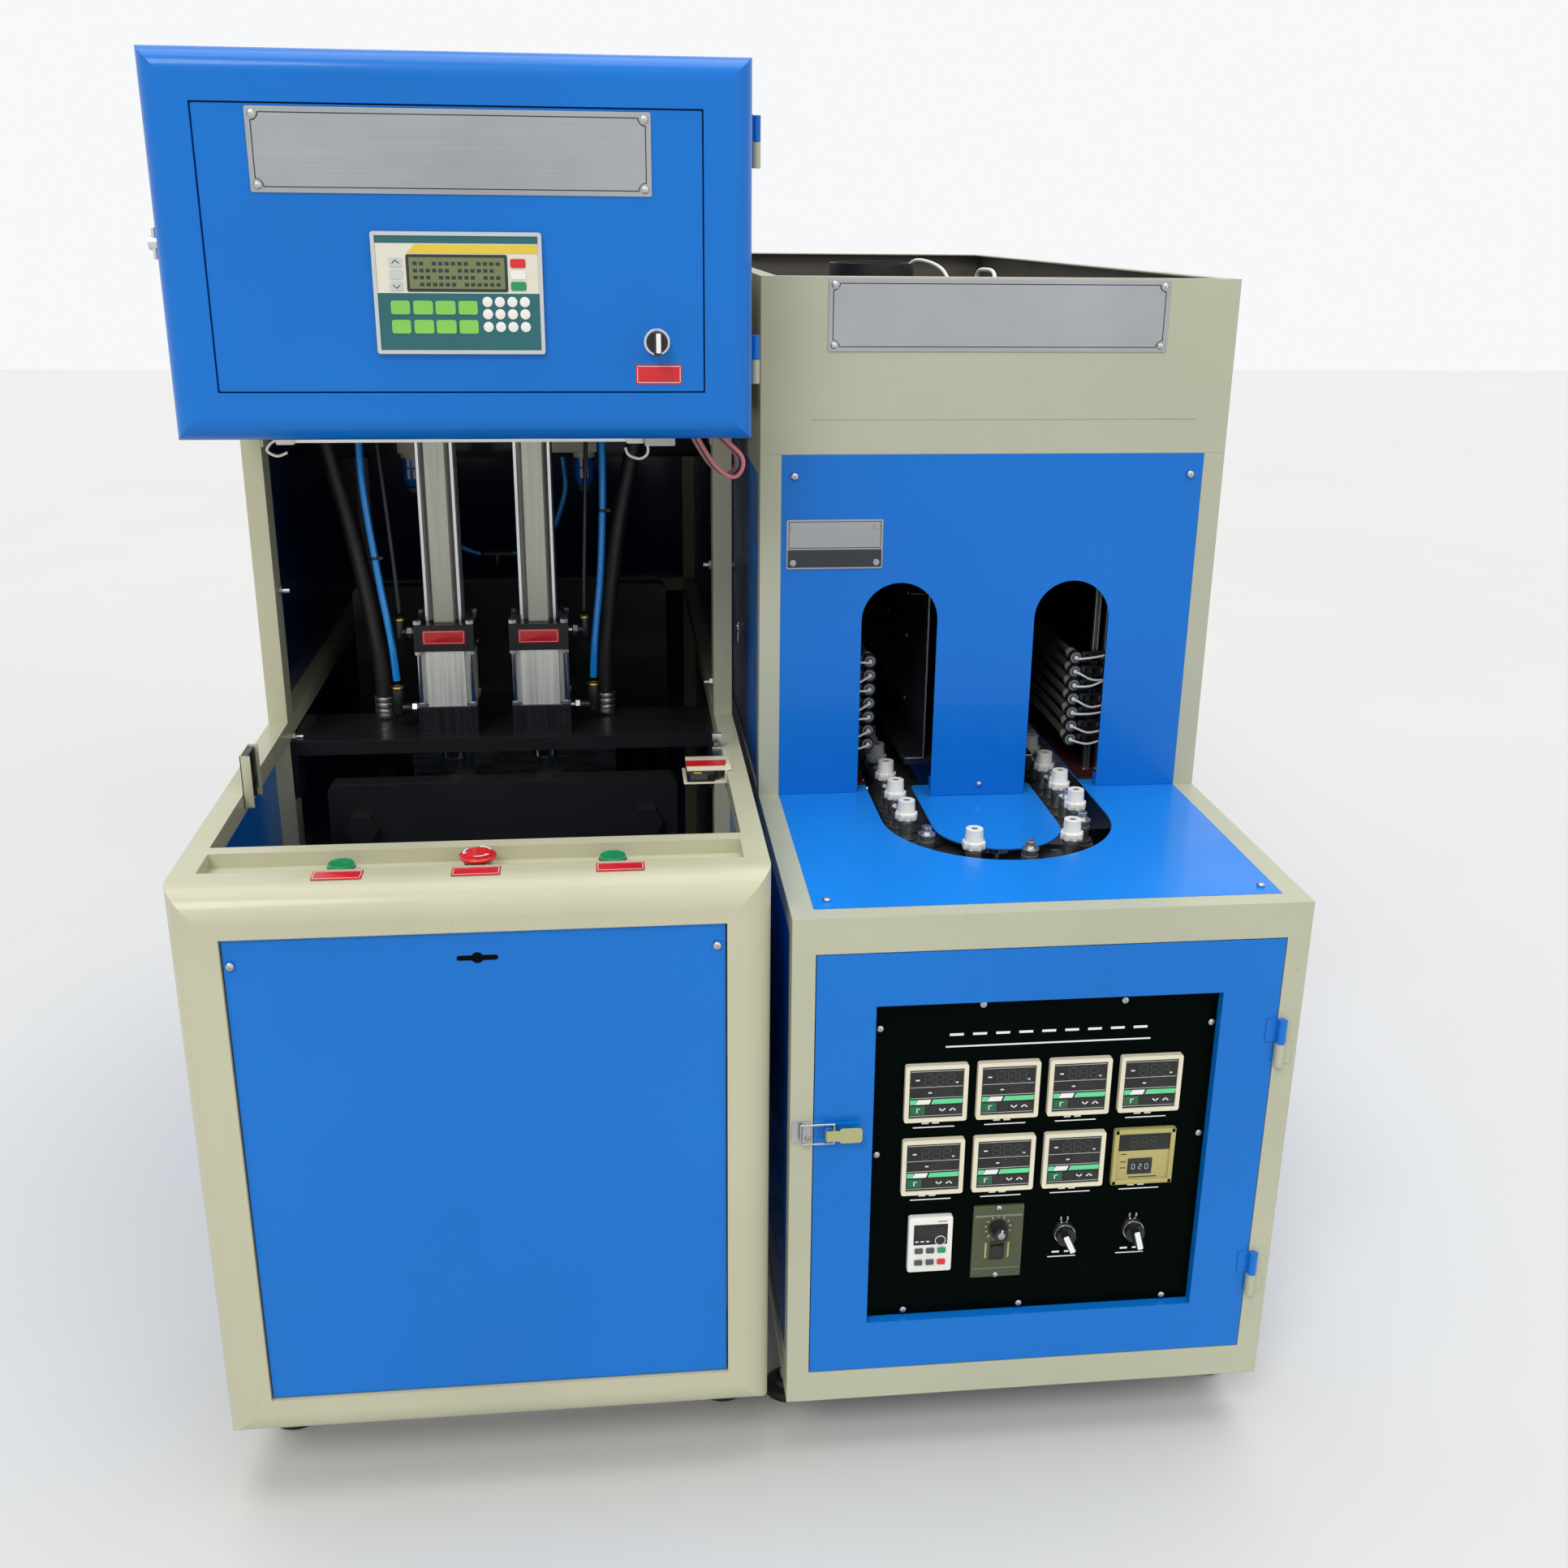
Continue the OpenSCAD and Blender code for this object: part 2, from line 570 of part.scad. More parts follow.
module barrel(x, w, z0, z1, bore) {
    // tube with flats between four tie rods
    r = 6;
    difference() {
        along_z(z0, z1) translate([x, close_y]) {
            circle(d = w - 2);
            square([w - 4 * r, w - 1], center = true);
            square([w - 1, w - 4 * r], center = true);
        }
        rod_z(x, close_y, z0 - 1, z1 + 1, bore);
    }
    tie_rods(x, w, z0, z1, r);
}
module stretch_cylinders() color(steel) {
    for (x = cavity_xs) {
        half = lower_barrel / 2 + 2;
        barrel(x, lower_barrel, lower_z, mid_z, lower_barrel - 18);
        barrel(x, upper_barrel, upper_z, upper_z + upper_h, upper_barrel - 14);
        difference() {
            union() {
                block(x - half, x + half, close_y - half, close_y + half, lower_block_z, lower_z + eps);
                block(x - half, x + half, close_y - half, close_y + half, mid_z - eps, upper_z + eps);
                block(x - upper_barrel / 2 - 1, x + upper_barrel / 2 + 1, close_y - upper_barrel / 2 - 1,
                    close_y + upper_barrel / 2 + 1, upper_z + upper_h - eps, upper_z + upper_h + 28);
            }
            rod_z(x, close_y, lower_block_z - 1, lower_z + 1, nozzle_d + 2 * run_gap);
            rod_z(x, close_y, mid_z - 1, upper_z + 1, rod_d + 2 * run_gap);
            rod_z(x, close_y, upper_z + upper_h - 1, upper_z + upper_h + 20, rod_d + 4);
        }
    }
}
// Sealing nozzle: piston tube that travels down onto the mould, with the stretch rod inside it
module nozzle(x) color(chrome) {
    difference() {
        union() {
            rod_z(x, close_y, nozzle_z, nozzle_z + nozzle_head_h, 34);
            rod_z(x, close_y, nozzle_z + nozzle_head_h - eps, lower_z + nozzle_stroke + 6, nozzle_d - 2 * run_gap);
            rod_z(x, close_y, lower_z + nozzle_stroke + 4, lower_z + nozzle_stroke + 14, lower_barrel - 18 - 2 * run_gap);
        }
        rod_z(x, close_y, nozzle_z - 1, lower_z + lower_h, rod_d + 2 * run_gap);
    }
}
module nozzle_left() nozzle(cavity_xs[0]);
module nozzle_right() nozzle(cavity_xs[1]);
module stretch_rod(x) color(chrome) {
    piston_z = upper_z + stretch_stroke + 20;
    rod_z(x, close_y, nozzle_z + 4, piston_z + 1, rod_d);
    rod_z(x, close_y, piston_z, piston_z + 14, upper_barrel - 14 - 2 * run_gap);
    translate([x, close_y, nozzle_z + 4]) sphere(d = rod_d);
}
module stretch_rod_left() stretch_rod(cavity_xs[0]);
module stretch_rod_right() stretch_rod(cavity_xs[1]);

// Clamp: fixed front platen, moving platen on four tie bars, rear platen with the cylinder
module platen(y, h, bores) {
    x0 = blower_mid - platen_w / 2;
    difference() {
        along_y(y, y + platen_t) round_area(x0, x0 + platen_w, bed_z, bed_z + h, 12);
        for (s = [-1, 1], z = tie_z) rod_y(blower_mid + s * tie_x, z, y - 1, y + platen_t + 1, bores);
        children();
    }
}
front_platen_y = close_y - mould_half_d - platen_t;
module clamp_frame() color([0.16, 0.16, 0.17]) {
    platen(front_platen_y, front_platen_h, tie_d);
    platen(rear_platen_y, front_platen_h, tie_d)
        rod_y(blower_mid, clamp_z, rear_platen_y - 1, rear_platen_y + platen_t + 1, clamp_rod_d + 2 * run_gap);
    for (s = [-1, 1], z = tie_z) {
        rod_y(blower_mid + s * tie_x, z, front_platen_y, rear_platen_y + platen_t, tie_d);
        for (y = [front_platen_y - 14, rear_platen_y + platen_t])
            along_y(y, y + 14 + eps) translate([blower_mid + s * tie_x, z]) circle(d = tie_d * 1.5, $fn = 6);
    }
}
module moving_platen() color([0.10, 0.10, 0.11]) {
    lift = face_gap;
    x0 = blower_mid - platen_w / 2;
    difference() {
        along_y(moving_y, moving_y + platen_t)
            round_area(x0, x0 + platen_w, bed_z + lift, bed_z + moving_platen_h, 12);
        for (s = [-1, 1], z = tie_z)
            rod_y(blower_mid + s * tie_x, z, moving_y - 1, moving_y + platen_t + 1, tie_d + 2 * run_gap);
    }
    rod_y(blower_mid, clamp_z, moving_y + platen_t - eps, piston_y() + 1, clamp_rod_d);
    rod_y(blower_mid, clamp_z, piston_y(), piston_y() + piston_t, cylinder_d - 20 - 2 * run_gap);
    rod_y(blower_mid, clamp_z, moving_y + platen_t - eps, moving_y + platen_t + 22, clamp_rod_d + 30);
}
function piston_y() = rear_platen_y + platen_t + clamp_stroke + 7;
module clamp_cylinder() color(steel) {
    y0 = rear_platen_y + platen_t;
    y1 = y0 + cylinder_l;
    difference() {
        union() {
            rod_y(blower_mid, clamp_z, y0, y1, cylinder_d);
            block(blower_mid - 68, blower_mid + 68, y0, y0 + 22 - 17, clamp_z - 68, clamp_z + 68);
            block(blower_mid - 68, blower_mid + 68, y1 - 4, y1 + 10, clamp_z - 68, clamp_z + 68);
        }
        rod_y(blower_mid, clamp_z, y0 + 4, y1 - 2, cylinder_d - 20);
        rod_y(blower_mid, clamp_z, y0 - 1, y0 + 5, clamp_rod_d + 2 * run_gap);
    }
    for (sx = [-1, 1], sz = [-1, 1]) rod_y(blower_mid + sx * 58, clamp_z + sz * 58, y0 + 5 - eps, y1 - 4 + eps, 10);
}
// Half of a round bottle: body, shoulder and neck turned about the cavity axis
module bottle(x) {
    body_r = 34;
    neck_r = 14;
    base_z = mould_z1 - 235;
    translate([x, close_y, 0]) rotate_extrude() union() {
        translate([0, base_z]) square([body_r - 6, 170]);
        translate([0, base_z + 6]) square([body_r, 158]);
        translate([body_r - 6, base_z + 6]) circle(6);
        difference() {
            translate([0, base_z + 164]) circle(body_r);
            translate([-body_r - 1, base_z + 100]) square([body_r + 1, 200]);
        }
        translate([0, base_z + 160]) square([neck_r, 80]);
    }
}
module mould_half(y) color([0.55, 0.56, 0.57]) {
    x0 = blower_mid - mould_w / 2;
    difference() {
        block(x0, x0 + mould_w, y, y + mould_half_d, bed_z + face_gap, mould_z1);
        translate([0, y < close_y - 1 ? 0 : clamp_stroke, 0]) for (x = cavity_xs) bottle(x);
        for (z = [bed_z + 60, bed_z + 150]) rod_x(y + mould_half_d / 2, z, x0 - 1, x0 + 18, 12);
    }
}
module front_mould() mould_half(close_y - mould_half_d);
module rear_mould() mould_half(rear_mould_y);

// Hoses: routes are round numbers, from the fittings up into the box or the rear
hose_y = close_y + 53;
hose_xs = [-470, -162];
module blow_hoses() color(black) {
    tube_along([[-470, -222, 756], [-470, -222, 790], [-474, -220, 850], [-486, -214, 930], [-503, -206, 1020],
        [-524, -196, 1110], [-541, -184, 1200], [-543, -160, 1300], [-520, -110, 1390], [-489, -48, 1425]], 24, 4, 12);
    tube_along([[-162, -222, 756], [-162, -222, 790], [-159, -221, 850], [-150, -218, 930], [-136, -212, 1020],
        [-115, -200, 1110], [-92, -186, 1200], [-84, -160, 1300], [-95, -110, 1390], [-117, -48, 1425]], 24, 4, 12);
}
module air_hoses() color([0.05, 0.35, 0.75]) {
    tube_along([[-445, -275, 812], [-449, -274, 870], [-462, -262, 960], [-476, -244, 1080], [-478, -214, 1200],
        [-474, -150, 1300], [-466, -43, 1343]], 10, 4, 8);
    tube_along([[-177, -275, 812], [-173, -274, 870], [-163, -264, 960], [-157, -246, 1080], [-158, -216, 1200],
        [-164, -150, 1300], [-168, -43, 1343]], 10, 4, 8);
    tube_along([[-435, -275, 907], [-438, -273, 965], [-446, -258, 1060], [-455, -236, 1160], [-461, -190, 1250],
        [-460, -120, 1310], [-456, -42, 1329]], 6, 3, 8);
    tube_along([[-187, -275, 907], [-185, -273, 965], [-181, -258, 1060], [-177, -236, 1160], [-175, -190, 1250],
        [-178, -120, 1310], [-181, -42, 1329]], 6, 3, 8);
}
module ferrule(x) {                      // crimped end of a blow hose on a pipe stub
    z = bridge_z + bridge_t;
    difference() {
        rod_z(x, hose_y, z + 4, z + 32, 30);
        rod_z(x, hose_y, z + 11.5, z + 33, 26.2);
    }
    rod_z(x, hose_y, z, z + 4 + eps, 22);
}
module air_fittings() color(black) {
    for (s = [-1, 1]) {
        x_block = cavity_mid + s * (cavity_pitch / 2 + lower_barrel / 2 + 2);
        for (p = [[mid_z + 18, 124, 907], [lower_block_z + 29, 134, 812]]) {
            x_end = cavity_mid + s * p[1];
            rod_x(close_y, p[0], min(x_block, x_end), max(x_block, x_end), 11);
            rod_z(x_end, close_y, p[0] - 8, p[2] - 0.4, 14);
        }
    }
    for (x = hose_xs) ferrule(x);
    air_units();
}
filter_y = 10;
manifold_y = -40;
module air_units() {
    rail_x0 = blower_x0 + 1 + sheet;
    rail_x1 = blower_x1 - 1 - sheet;
    // valve blocks with their filter bowls under the box's level, on a cross rail
    for (p = [[-158, 62, -140], [62, 72, 114]]) {
        x = blower_mid + p[0];
        block(x, x + p[1], filter_y - 20, filter_y + 22, box_z0 - 98, box_z0 - 66);
        rod_z(blower_mid + p[2], filter_y, box_z0 - 150, box_z0 - 98 + eps, 30);
        rod_z(blower_mid + p[2], filter_y, box_z0 - 160, box_z0 - 150 + eps, 18);
    }
    block(rail_x0, rail_x1, filter_y + 22 - eps, filter_y + 27, box_z0 - 110, box_z0 - 60);
    // blow air manifold on its own rail
    block(rail_x0, rail_x1, manifold_y + 50 - eps, manifold_y + 55, box_z0 + 130, box_z0 + 270);
    block(blower_mid - 220, blower_mid + 220, manifold_y, manifold_y + 50, box_z0 + 140, box_z0 + 262);
}
module wiring_loom() color([0.75, 0.35, 0.38]) {
    // control leads: a slack loop under the box beside the cover's hinges
    for (p = lead_spots()) {
        x = p[0];
        y = p[1];
        tube_along([[x, y, box_z0 + 5], [x, y, box_z0 - 1], [x, y, box_z0 - 8], [x + 20, y, box_z0 - 40], [x + 40, y, box_z0 - 53],
            [x + 51, y, box_z0 - 44], [x + 50, y, box_z0 - 28], [x + 30, y, box_z0 - 8], [x + 30, y, box_z0 - 1], [x + 30, y, box_z0 + 5]],
            5, 3, 8, [0, 1, 0]);
    }
}
function lead_spots() = [for (i = [0 : 3]) [blower_x1 - 56 - i * 2, box_y0 + 30 + i * 8]];

// Heater: frame, sheets and hood
hood_t = 27;                    // depth of the frame posts behind the oven front
module heater_frame() color(grey_green) {
    top_z = hood_z;
    corner_x = [heater_x0, heater_x1 - side_tube];
    for (x = corner_x) {
        block(x, x + side_tube, heater_y0, heater_y0 + side_tube, foot_h, deck_z);
        block(x, x + side_tube, heater_y0 + 1, oven_y + 1, deck_z - side_tube, deck_z);
        block(x, x + side_tube, oven_y, oven_y + hood_t, foot_h, top_z);
        block(x, x + side_tube, oven_y + 1, heater_y1, deck_z - side_tube, deck_z);
        block(x, x + side_tube, heater_y0 + 1, heater_y1, foot_h, foot_h + rail_h);
        block(x, x + side_tube, heater_y1 - side_tube, heater_y1, foot_h, top_z);
        block(x, x + side_tube, oven_y + 1, heater_y1, top_z - side_tube, top_z);
        block(x, x + side_tube, -side_tube / 2, side_tube / 2, foot_h, top_z);
    }
    for (y = [heater_y0, oven_y, heater_y1 - side_tube])
        block(heater_x0 + 1, heater_x1 - 1, y, y + side_tube, foot_h, foot_h + rail_h);
    block(heater_x0 + 1, heater_x1 - 1, heater_y0, heater_y0 + side_tube, deck_z - rail_h - 1, deck_z);
    for (y = [0, heater_y1 - side_tube])
        block(heater_x0 + 4.3, heater_x1 - 4.3, y, y + side_tube, deck_z - 120, deck_z - 120 + side_tube);
    block(heater_x0 + 1, heater_x1 - 1, heater_y1 - side_tube, heater_y1, top_z - side_tube, top_z);
    // rails inside the side sheets, and the conveyor's shaft bearers between them
    for (x = [heater_x0 + 4.3, heater_x1 - side_tube])
        block(x, x + side_tube - 4.3, heater_y0 + 1, heater_y1 - 1, chain_z - 68, chain_z - 38);
    for (y = [turn_y, turn_y + run_l]) {
        block(heater_x0 + 4.3, heater_x1 - 4.3, y - 20, y + 20, chain_z - 60, chain_z - 40);
        rod_z(track_x, y, chain_z - 60, chain_z - 24, 60);
    }
    for (z = hinge_zs()) {
        lift_hinge(door_hinge_x, door_hinge_y, z, door_hinge_h, true);
        block(door_hinge_x - 1, heater_x1 - 6, heater_y0 - 1.5, heater_y0 + eps, z, z + door_hinge_h / 2 - 0.4);
        block(door_hinge_x - 1, door_hinge_x + 1, door_hinge_y, heater_y0, z, z + door_hinge_h / 2 - 0.4);
    }
}
door_hinge_x = door_x1 + 5;
door_hinge_y = heater_y0 - 5.6;
door_hinge_h = 58;
function hinge_zs() = [door_z0 + 79, door_z0 + door_h - 158];
module heater_panels() color(blue) {
    low0 = foot_h + rail_h;
    low1 = deck_z - side_tube;
    up1 = hood_z - side_tube;
    for (x = [heater_x0 + 2, heater_x1 - 2 - sheet]) {
        along_x(x, x + sheet) difference() {
            union() {
                area(heater_y0 + side_tube, oven_y, low0, low1);
                area(oven_y + hood_t, -side_tube / 2, low0, low1);
                area(side_tube / 2, heater_y1 - side_tube, low0, low1);
            }
            for (y = [heater_y0 + 200, oven_y + 250]) vent_rows(y, low0 + 70, 10, 150, 16);
        }
        along_x(x, x + sheet) area(oven_y + hood_t, -side_tube / 2, deck_z, up1);
        along_x(x, x + sheet) area(side_tube / 2, heater_y1 - side_tube, deck_z, up1);
        s = x < heater_mid ? -1 : 1;
        face = x < heater_mid ? x : x + sheet;
        for (y = [oven_y + hood_t + 40, side_tube / 2 + 60])
            rod_x(y, deck_z + 300, min(face, face + s * 3), max(face, face + s * 3), 26);
    }
    along_y(heater_y1 - 2 - sheet, heater_y1 - 2) difference() {
        union() {
            area(heater_x0 + side_tube, heater_x1 - side_tube, low0, deck_z - 121);
            area(heater_x0 + side_tube, heater_x1 - side_tube, deck_z - 119 + side_tube, up1);
        }
        vent_rows(heater_mid, low0 + 90, 8, 240, 18);
        translate([heater_x1 - 110, low0 + 40]) circle(d = 32);
    }
}
arch_xs = [track_x - 110.5, track_x + 111.5];
module arch_hole(x) {
    top = deck_z + arch_h - arch_w / 2;
    area(x - arch_w / 2, x + arch_w / 2, deck_z - 30, top);
    translate([x, top]) circle(d = arch_w);
}
module oven_front() color(blue) {
    x0 = heater_x0 + side_tube;
    x1 = heater_x1 - side_tube;
    z1 = hood_z;
    along_y(oven_y, oven_y + sheet) difference() {
        union() {
            area(x0, x1, deck_z + 0.2, z1);
            area(arch_xs[0] + arch_w / 2, arch_xs[1] - arch_w / 2, tongue_z + face_gap, deck_z + 1);
        }
        for (x = arch_xs) arch_hole(x);
    }
    // folded feet beside the arches
    for (i = [0, 1], s = [-1, 1]) {
        x = arch_xs[i] + s * (arch_w / 2 + 1);
        along_y(oven_y + sheet - eps, oven_y + 16) area(x - 1, x + 1, deck_z + 0.2, deck_z + 15);
    }
    for (x = [x0 + 16, x1 - 16]) rod_y(x, z1 - 26, oven_y - 2, oven_y + 1, 9);
    rod_y(heater_mid, deck_z + 8, oven_y - 2, oven_y + 1, 6);
}
module loop_area(r, y0, y1) {            // U shape open to the back
    translate([track_x, y0]) circle(r);
    area(track_x - r, track_x + r, y0, y1);
}
module deck_plate() color(blue) {
    x0 = heater_x0 + side_tube;
    x1 = heater_x1 - side_tube;
    along_z(deck_z - sheet, deck_z) difference() {
        area(x0, x1, heater_y0 + side_tube + 1, oven_y + 120);
        loop_area(slot_r, turn_y - 1, oven_y + 200);
    }
    for (x = [x0 + 17, x1 - 17]) rod_z(x, heater_y0 + 48, deck_z - 1, deck_z + 2, 9);
    // inner floor beside the loop
    for (s = [-1, 1]) along_z(deck_z - sheet, deck_z)
        area(s < 0 ? x0 : track_x + slot_r, s < 0 ? track_x - slot_r : x1, oven_y + 120 - eps, heater_y1 - 60);
    along_z(deck_z - sheet - 25, deck_z - sheet + eps)
        area(x0, x1, heater_y0 + side_tube, heater_y0 + side_tube + 2);
}
module deck_tongue() color(blue) {
    nose_y = turn_y - 9;
    along_z(tongue_z - sheet, tongue_z) difference() {
        union() {
            translate([track_x, nose_y]) circle(tongue_r);
            round_area(track_x - tongue_r, track_x + tongue_r, nose_y - 4, tongue_y1, 8);
        }
    }
    // carried by a post plate on the inner bearers
    for (x = [track_x - 22, track_x + 20]) block(x, x + 2, turn_y + 70, tongue_y1 - 12, chain_z - 40, tongue_z - sheet + eps);
    block(track_x - 22, track_x + 22, turn_y + 60, tongue_y1 - 12, chain_z - 42, chain_z - 40 + eps);
    block(heater_x0 + side_tube, heater_x1 - side_tube, turn_y + 60, turn_y + 85, chain_z - 67, chain_z - 42 + eps);
}
tray_floor_z = hood_z1 - 60;
fan_x = heater_mid + 2;
fan_y = oven_y + 1015;
fan_d = 150;
module exhaust_hood() color(grey_green) {
    y1 = heater_y1;
    difference() {
        block(heater_x0, heater_x1, oven_y, y1, hood_z, hood_z1);
        block(heater_x0 + sheet, heater_x1 - sheet, oven_y + sheet, y1 - sheet, tray_floor_z, hood_z1 - sheet);
        block(heater_x0 + 20, heater_x1 - 20, oven_y + 20, y1 - 20, tray_floor_z, hood_z1 + 1);
        block(heater_x0 + sheet, heater_x1 - sheet, oven_y + sheet, y1 - sheet, hood_z - 1, tray_floor_z - sheet);
        rod_z(fan_x, fan_y, tray_floor_z - 5, tray_floor_z + 5, fan_d - 16);
    }
}
module fan_housing() color(black) {
    z0 = tray_floor_z;
    z1 = z0 + 52;
    difference() {
        union() {
            rod_z(fan_x, fan_y, z0, z1, fan_d);
            along_z(z0, z0 + 5) round_area(fan_x - 80, fan_x + 80, fan_y - 80, fan_y + 80, 12);
        }
        rod_z(fan_x, fan_y, z0 - 1, z1 + 1, fan_d - 10);
    }
    // motor on three arms
    difference() {
        rod_z(fan_x, fan_y, z0 + 4, z0 + 16, 56);
        rod_z(fan_x, fan_y, z0 + 8, z0 + 17, 8 + 2 * run_gap);
    }
    for (a = [30, 150, 270]) translate([fan_x, fan_y, 0]) rotate(a)
        block(27, fan_d / 2 - 4, -4, 4, z0 + 4, z0 + 10);
}
module fan_rotor() color(black) {
    z0 = tray_floor_z + 17;
    translate([fan_x, fan_y, 0]) {
        rod_z(0, 0, z0, z0 + 30, 62);
        rod_z(0, 0, z0 - 9, z0 + 1, 8);
        intersection() {
            for (a = [0 : 72 : 359]) rotate(a) translate([28, 0, z0 + 15]) rotate([34, 0, 0])
                translate([0, -19, -1]) cube([60, 38, 2]);
            rod_z(0, 0, z0, z0 + 30, fan_d - 14);
        }
    }
}

// Conveyor: a closed roller chain whose links each carry a spindle outboard
function loop_point(u) =            // u counts pitches from the front turn's left end
    let (v = (u + loop_links) % loop_links)
    v < turn_links ? turn_point(v, turn_y, 180) :
    v < turn_links + straight_links ? [track_x + pitch_r, turn_y + (v - turn_links) * chain_pitch] :
    v < 2 * turn_links + straight_links
        ? turn_point(v - turn_links - straight_links, turn_y + run_l, 0) :
    [track_x - pitch_r, turn_y + run_l - (v - 2 * turn_links - straight_links) * chain_pitch];
function turn_point(v, y, start) =
    [track_x + pitch_r * cos(start + 180 * v / turn_links), y + pitch_r * sin(start + 180 * v / turn_links)];
function link_ends(i) = [loop_point(i + chain_phase), loop_point(i + 1 + chain_phase)];
pin_d = 5.9;
plate_h = 17;
module on_link(i) {
    e = link_ends(i);
    m = (e[0] + e[1]) / 2;
    d = e[1] - e[0];
    translate([m[0], m[1], 0]) rotate(atan2(d[1], d[0])) children();
}
function link_l(i) = norm(link_ends(i)[1] - link_ends(i)[0]);
module carrier() {
    // plate that widens outboard and holds the spindle's seat
    along_z(carrier_z - carrier_t, carrier_z) difference() {
        polygon([[-14, 8], [14, 8], [14, -20], [17, -40], [17, -60], [12, -65],
            [-12, -65], [-17, -60], [-17, -40], [-14, -20]]);
        translate([0, -carrier_reach]) circle(d = 10);
    }
    along_z(carrier_z - eps, carrier_z + 4) difference() {
        translate([0, -carrier_reach]) circle(d = 27);
        translate([0, -carrier_reach]) circle(d = 20);
    }
    block(-7, 7, -8, 8, chain_z + 8, carrier_z - carrier_t + eps);
}
module inner_link(l) {
    for (z = [-8.7, 6.3]) along_z(chain_z + z, chain_z + z + 2.4) difference() {
        stadium(0, 0, l + plate_h, plate_h);
        for (s = [-1, 1]) translate([s * l / 2, 0]) circle(d = pin_d + 4 * run_gap);
    }
    for (s = [-1, 1]) along_z(chain_z - 6.3 - eps, chain_z + 6.3 + eps) translate([s * l / 2, 0])
        difference() {
            circle(d = 11.9);
            circle(d = pin_d + 4 * run_gap);
        }
}
module outer_link(l) {
    for (z = [-11.4, 9]) along_z(chain_z + z, chain_z + z + 2.4) stadium(0, 0, l + plate_h, plate_h);
    for (s = [-1, 1]) rod_z(s * l / 2, 0, chain_z - 13, chain_z + 11.4 + eps, pin_d);
}
module conveyor_chain() color(black) {
    for (i = [0 : loop_links - 1]) on_link(i) {
        if (i % 2 == 0) inner_link(link_l(i));
        else outer_link(link_l(i));
        carrier();
    }
}
module chain_sprockets() color(steel) {
    teeth = 2 * turn_links;
    for (e = [[turn_y, 180 - 360 * chain_phase / teeth * -1], [turn_y + run_l, 360 * chain_phase / teeth]])
        translate([track_x, e[0], 0]) {
            along_z(chain_z - 5.5, chain_z + 5.5) difference() {
                circle(pitch_r + 1);
                for (k = [0 : teeth - 1]) rotate(e[1] + 360 * k / teeth) translate([pitch_r, 0]) circle(d = 12.9);
            }
            rod_z(0, 0, chain_z - 24, chain_z - 5.5 + eps, 40);
            rod_z(0, 0, chain_z + 5.5 - eps, chain_z + 12, 40);
        }
    // gear motor under the rear sprocket
    y = turn_y + run_l;
    block(track_x - 55, track_x + 55, y - 55, y + 75, chain_z - 150, chain_z - 60);
    rod_y(track_x, chain_z - 105, y - 215, y - 55 + eps, 90);
}
function has_cap(i) = i % 2 == 1;
module spindles() color(steel) {
    for (i = [0 : loop_links - 1]) on_link(i) translate([0, -carrier_reach, 0]) {
        rod_z(0, 0, carrier_z - 12, carrier_z + eps, 9.6);
        rod_z(0, 0, carrier_z, cap_z - 1, 18);
        rod_z(0, 0, cap_z - 1 - eps, cap_z + (has_cap(i) ? 10 : 6), 9);
        if (!has_cap(i)) {
            rod_z(0, 0, cap_z - 1 - eps, cap_z + 2, 21);
            rod_z(0, 0, cap_z + 5, cap_z + 11, 11.6);
        }
    }
}
module preform_caps() color(white) {
    for (i = [0 : loop_links - 1]) if (has_cap(i)) on_link(i) translate([0, -carrier_reach, cap_z])
        difference() {
            union() {
                cylinder(d = cap_d, h = cap_h);
                cylinder(d = cap_d + 6.5, h = 7.5);
            }
            translate([0, 0, -1]) cylinder(d = 9 + 2 * run_gap, h = 11 + 1);
            translate([0, 0, cap_h - 8]) cylinder(d = 8, h = 9);
        }
}

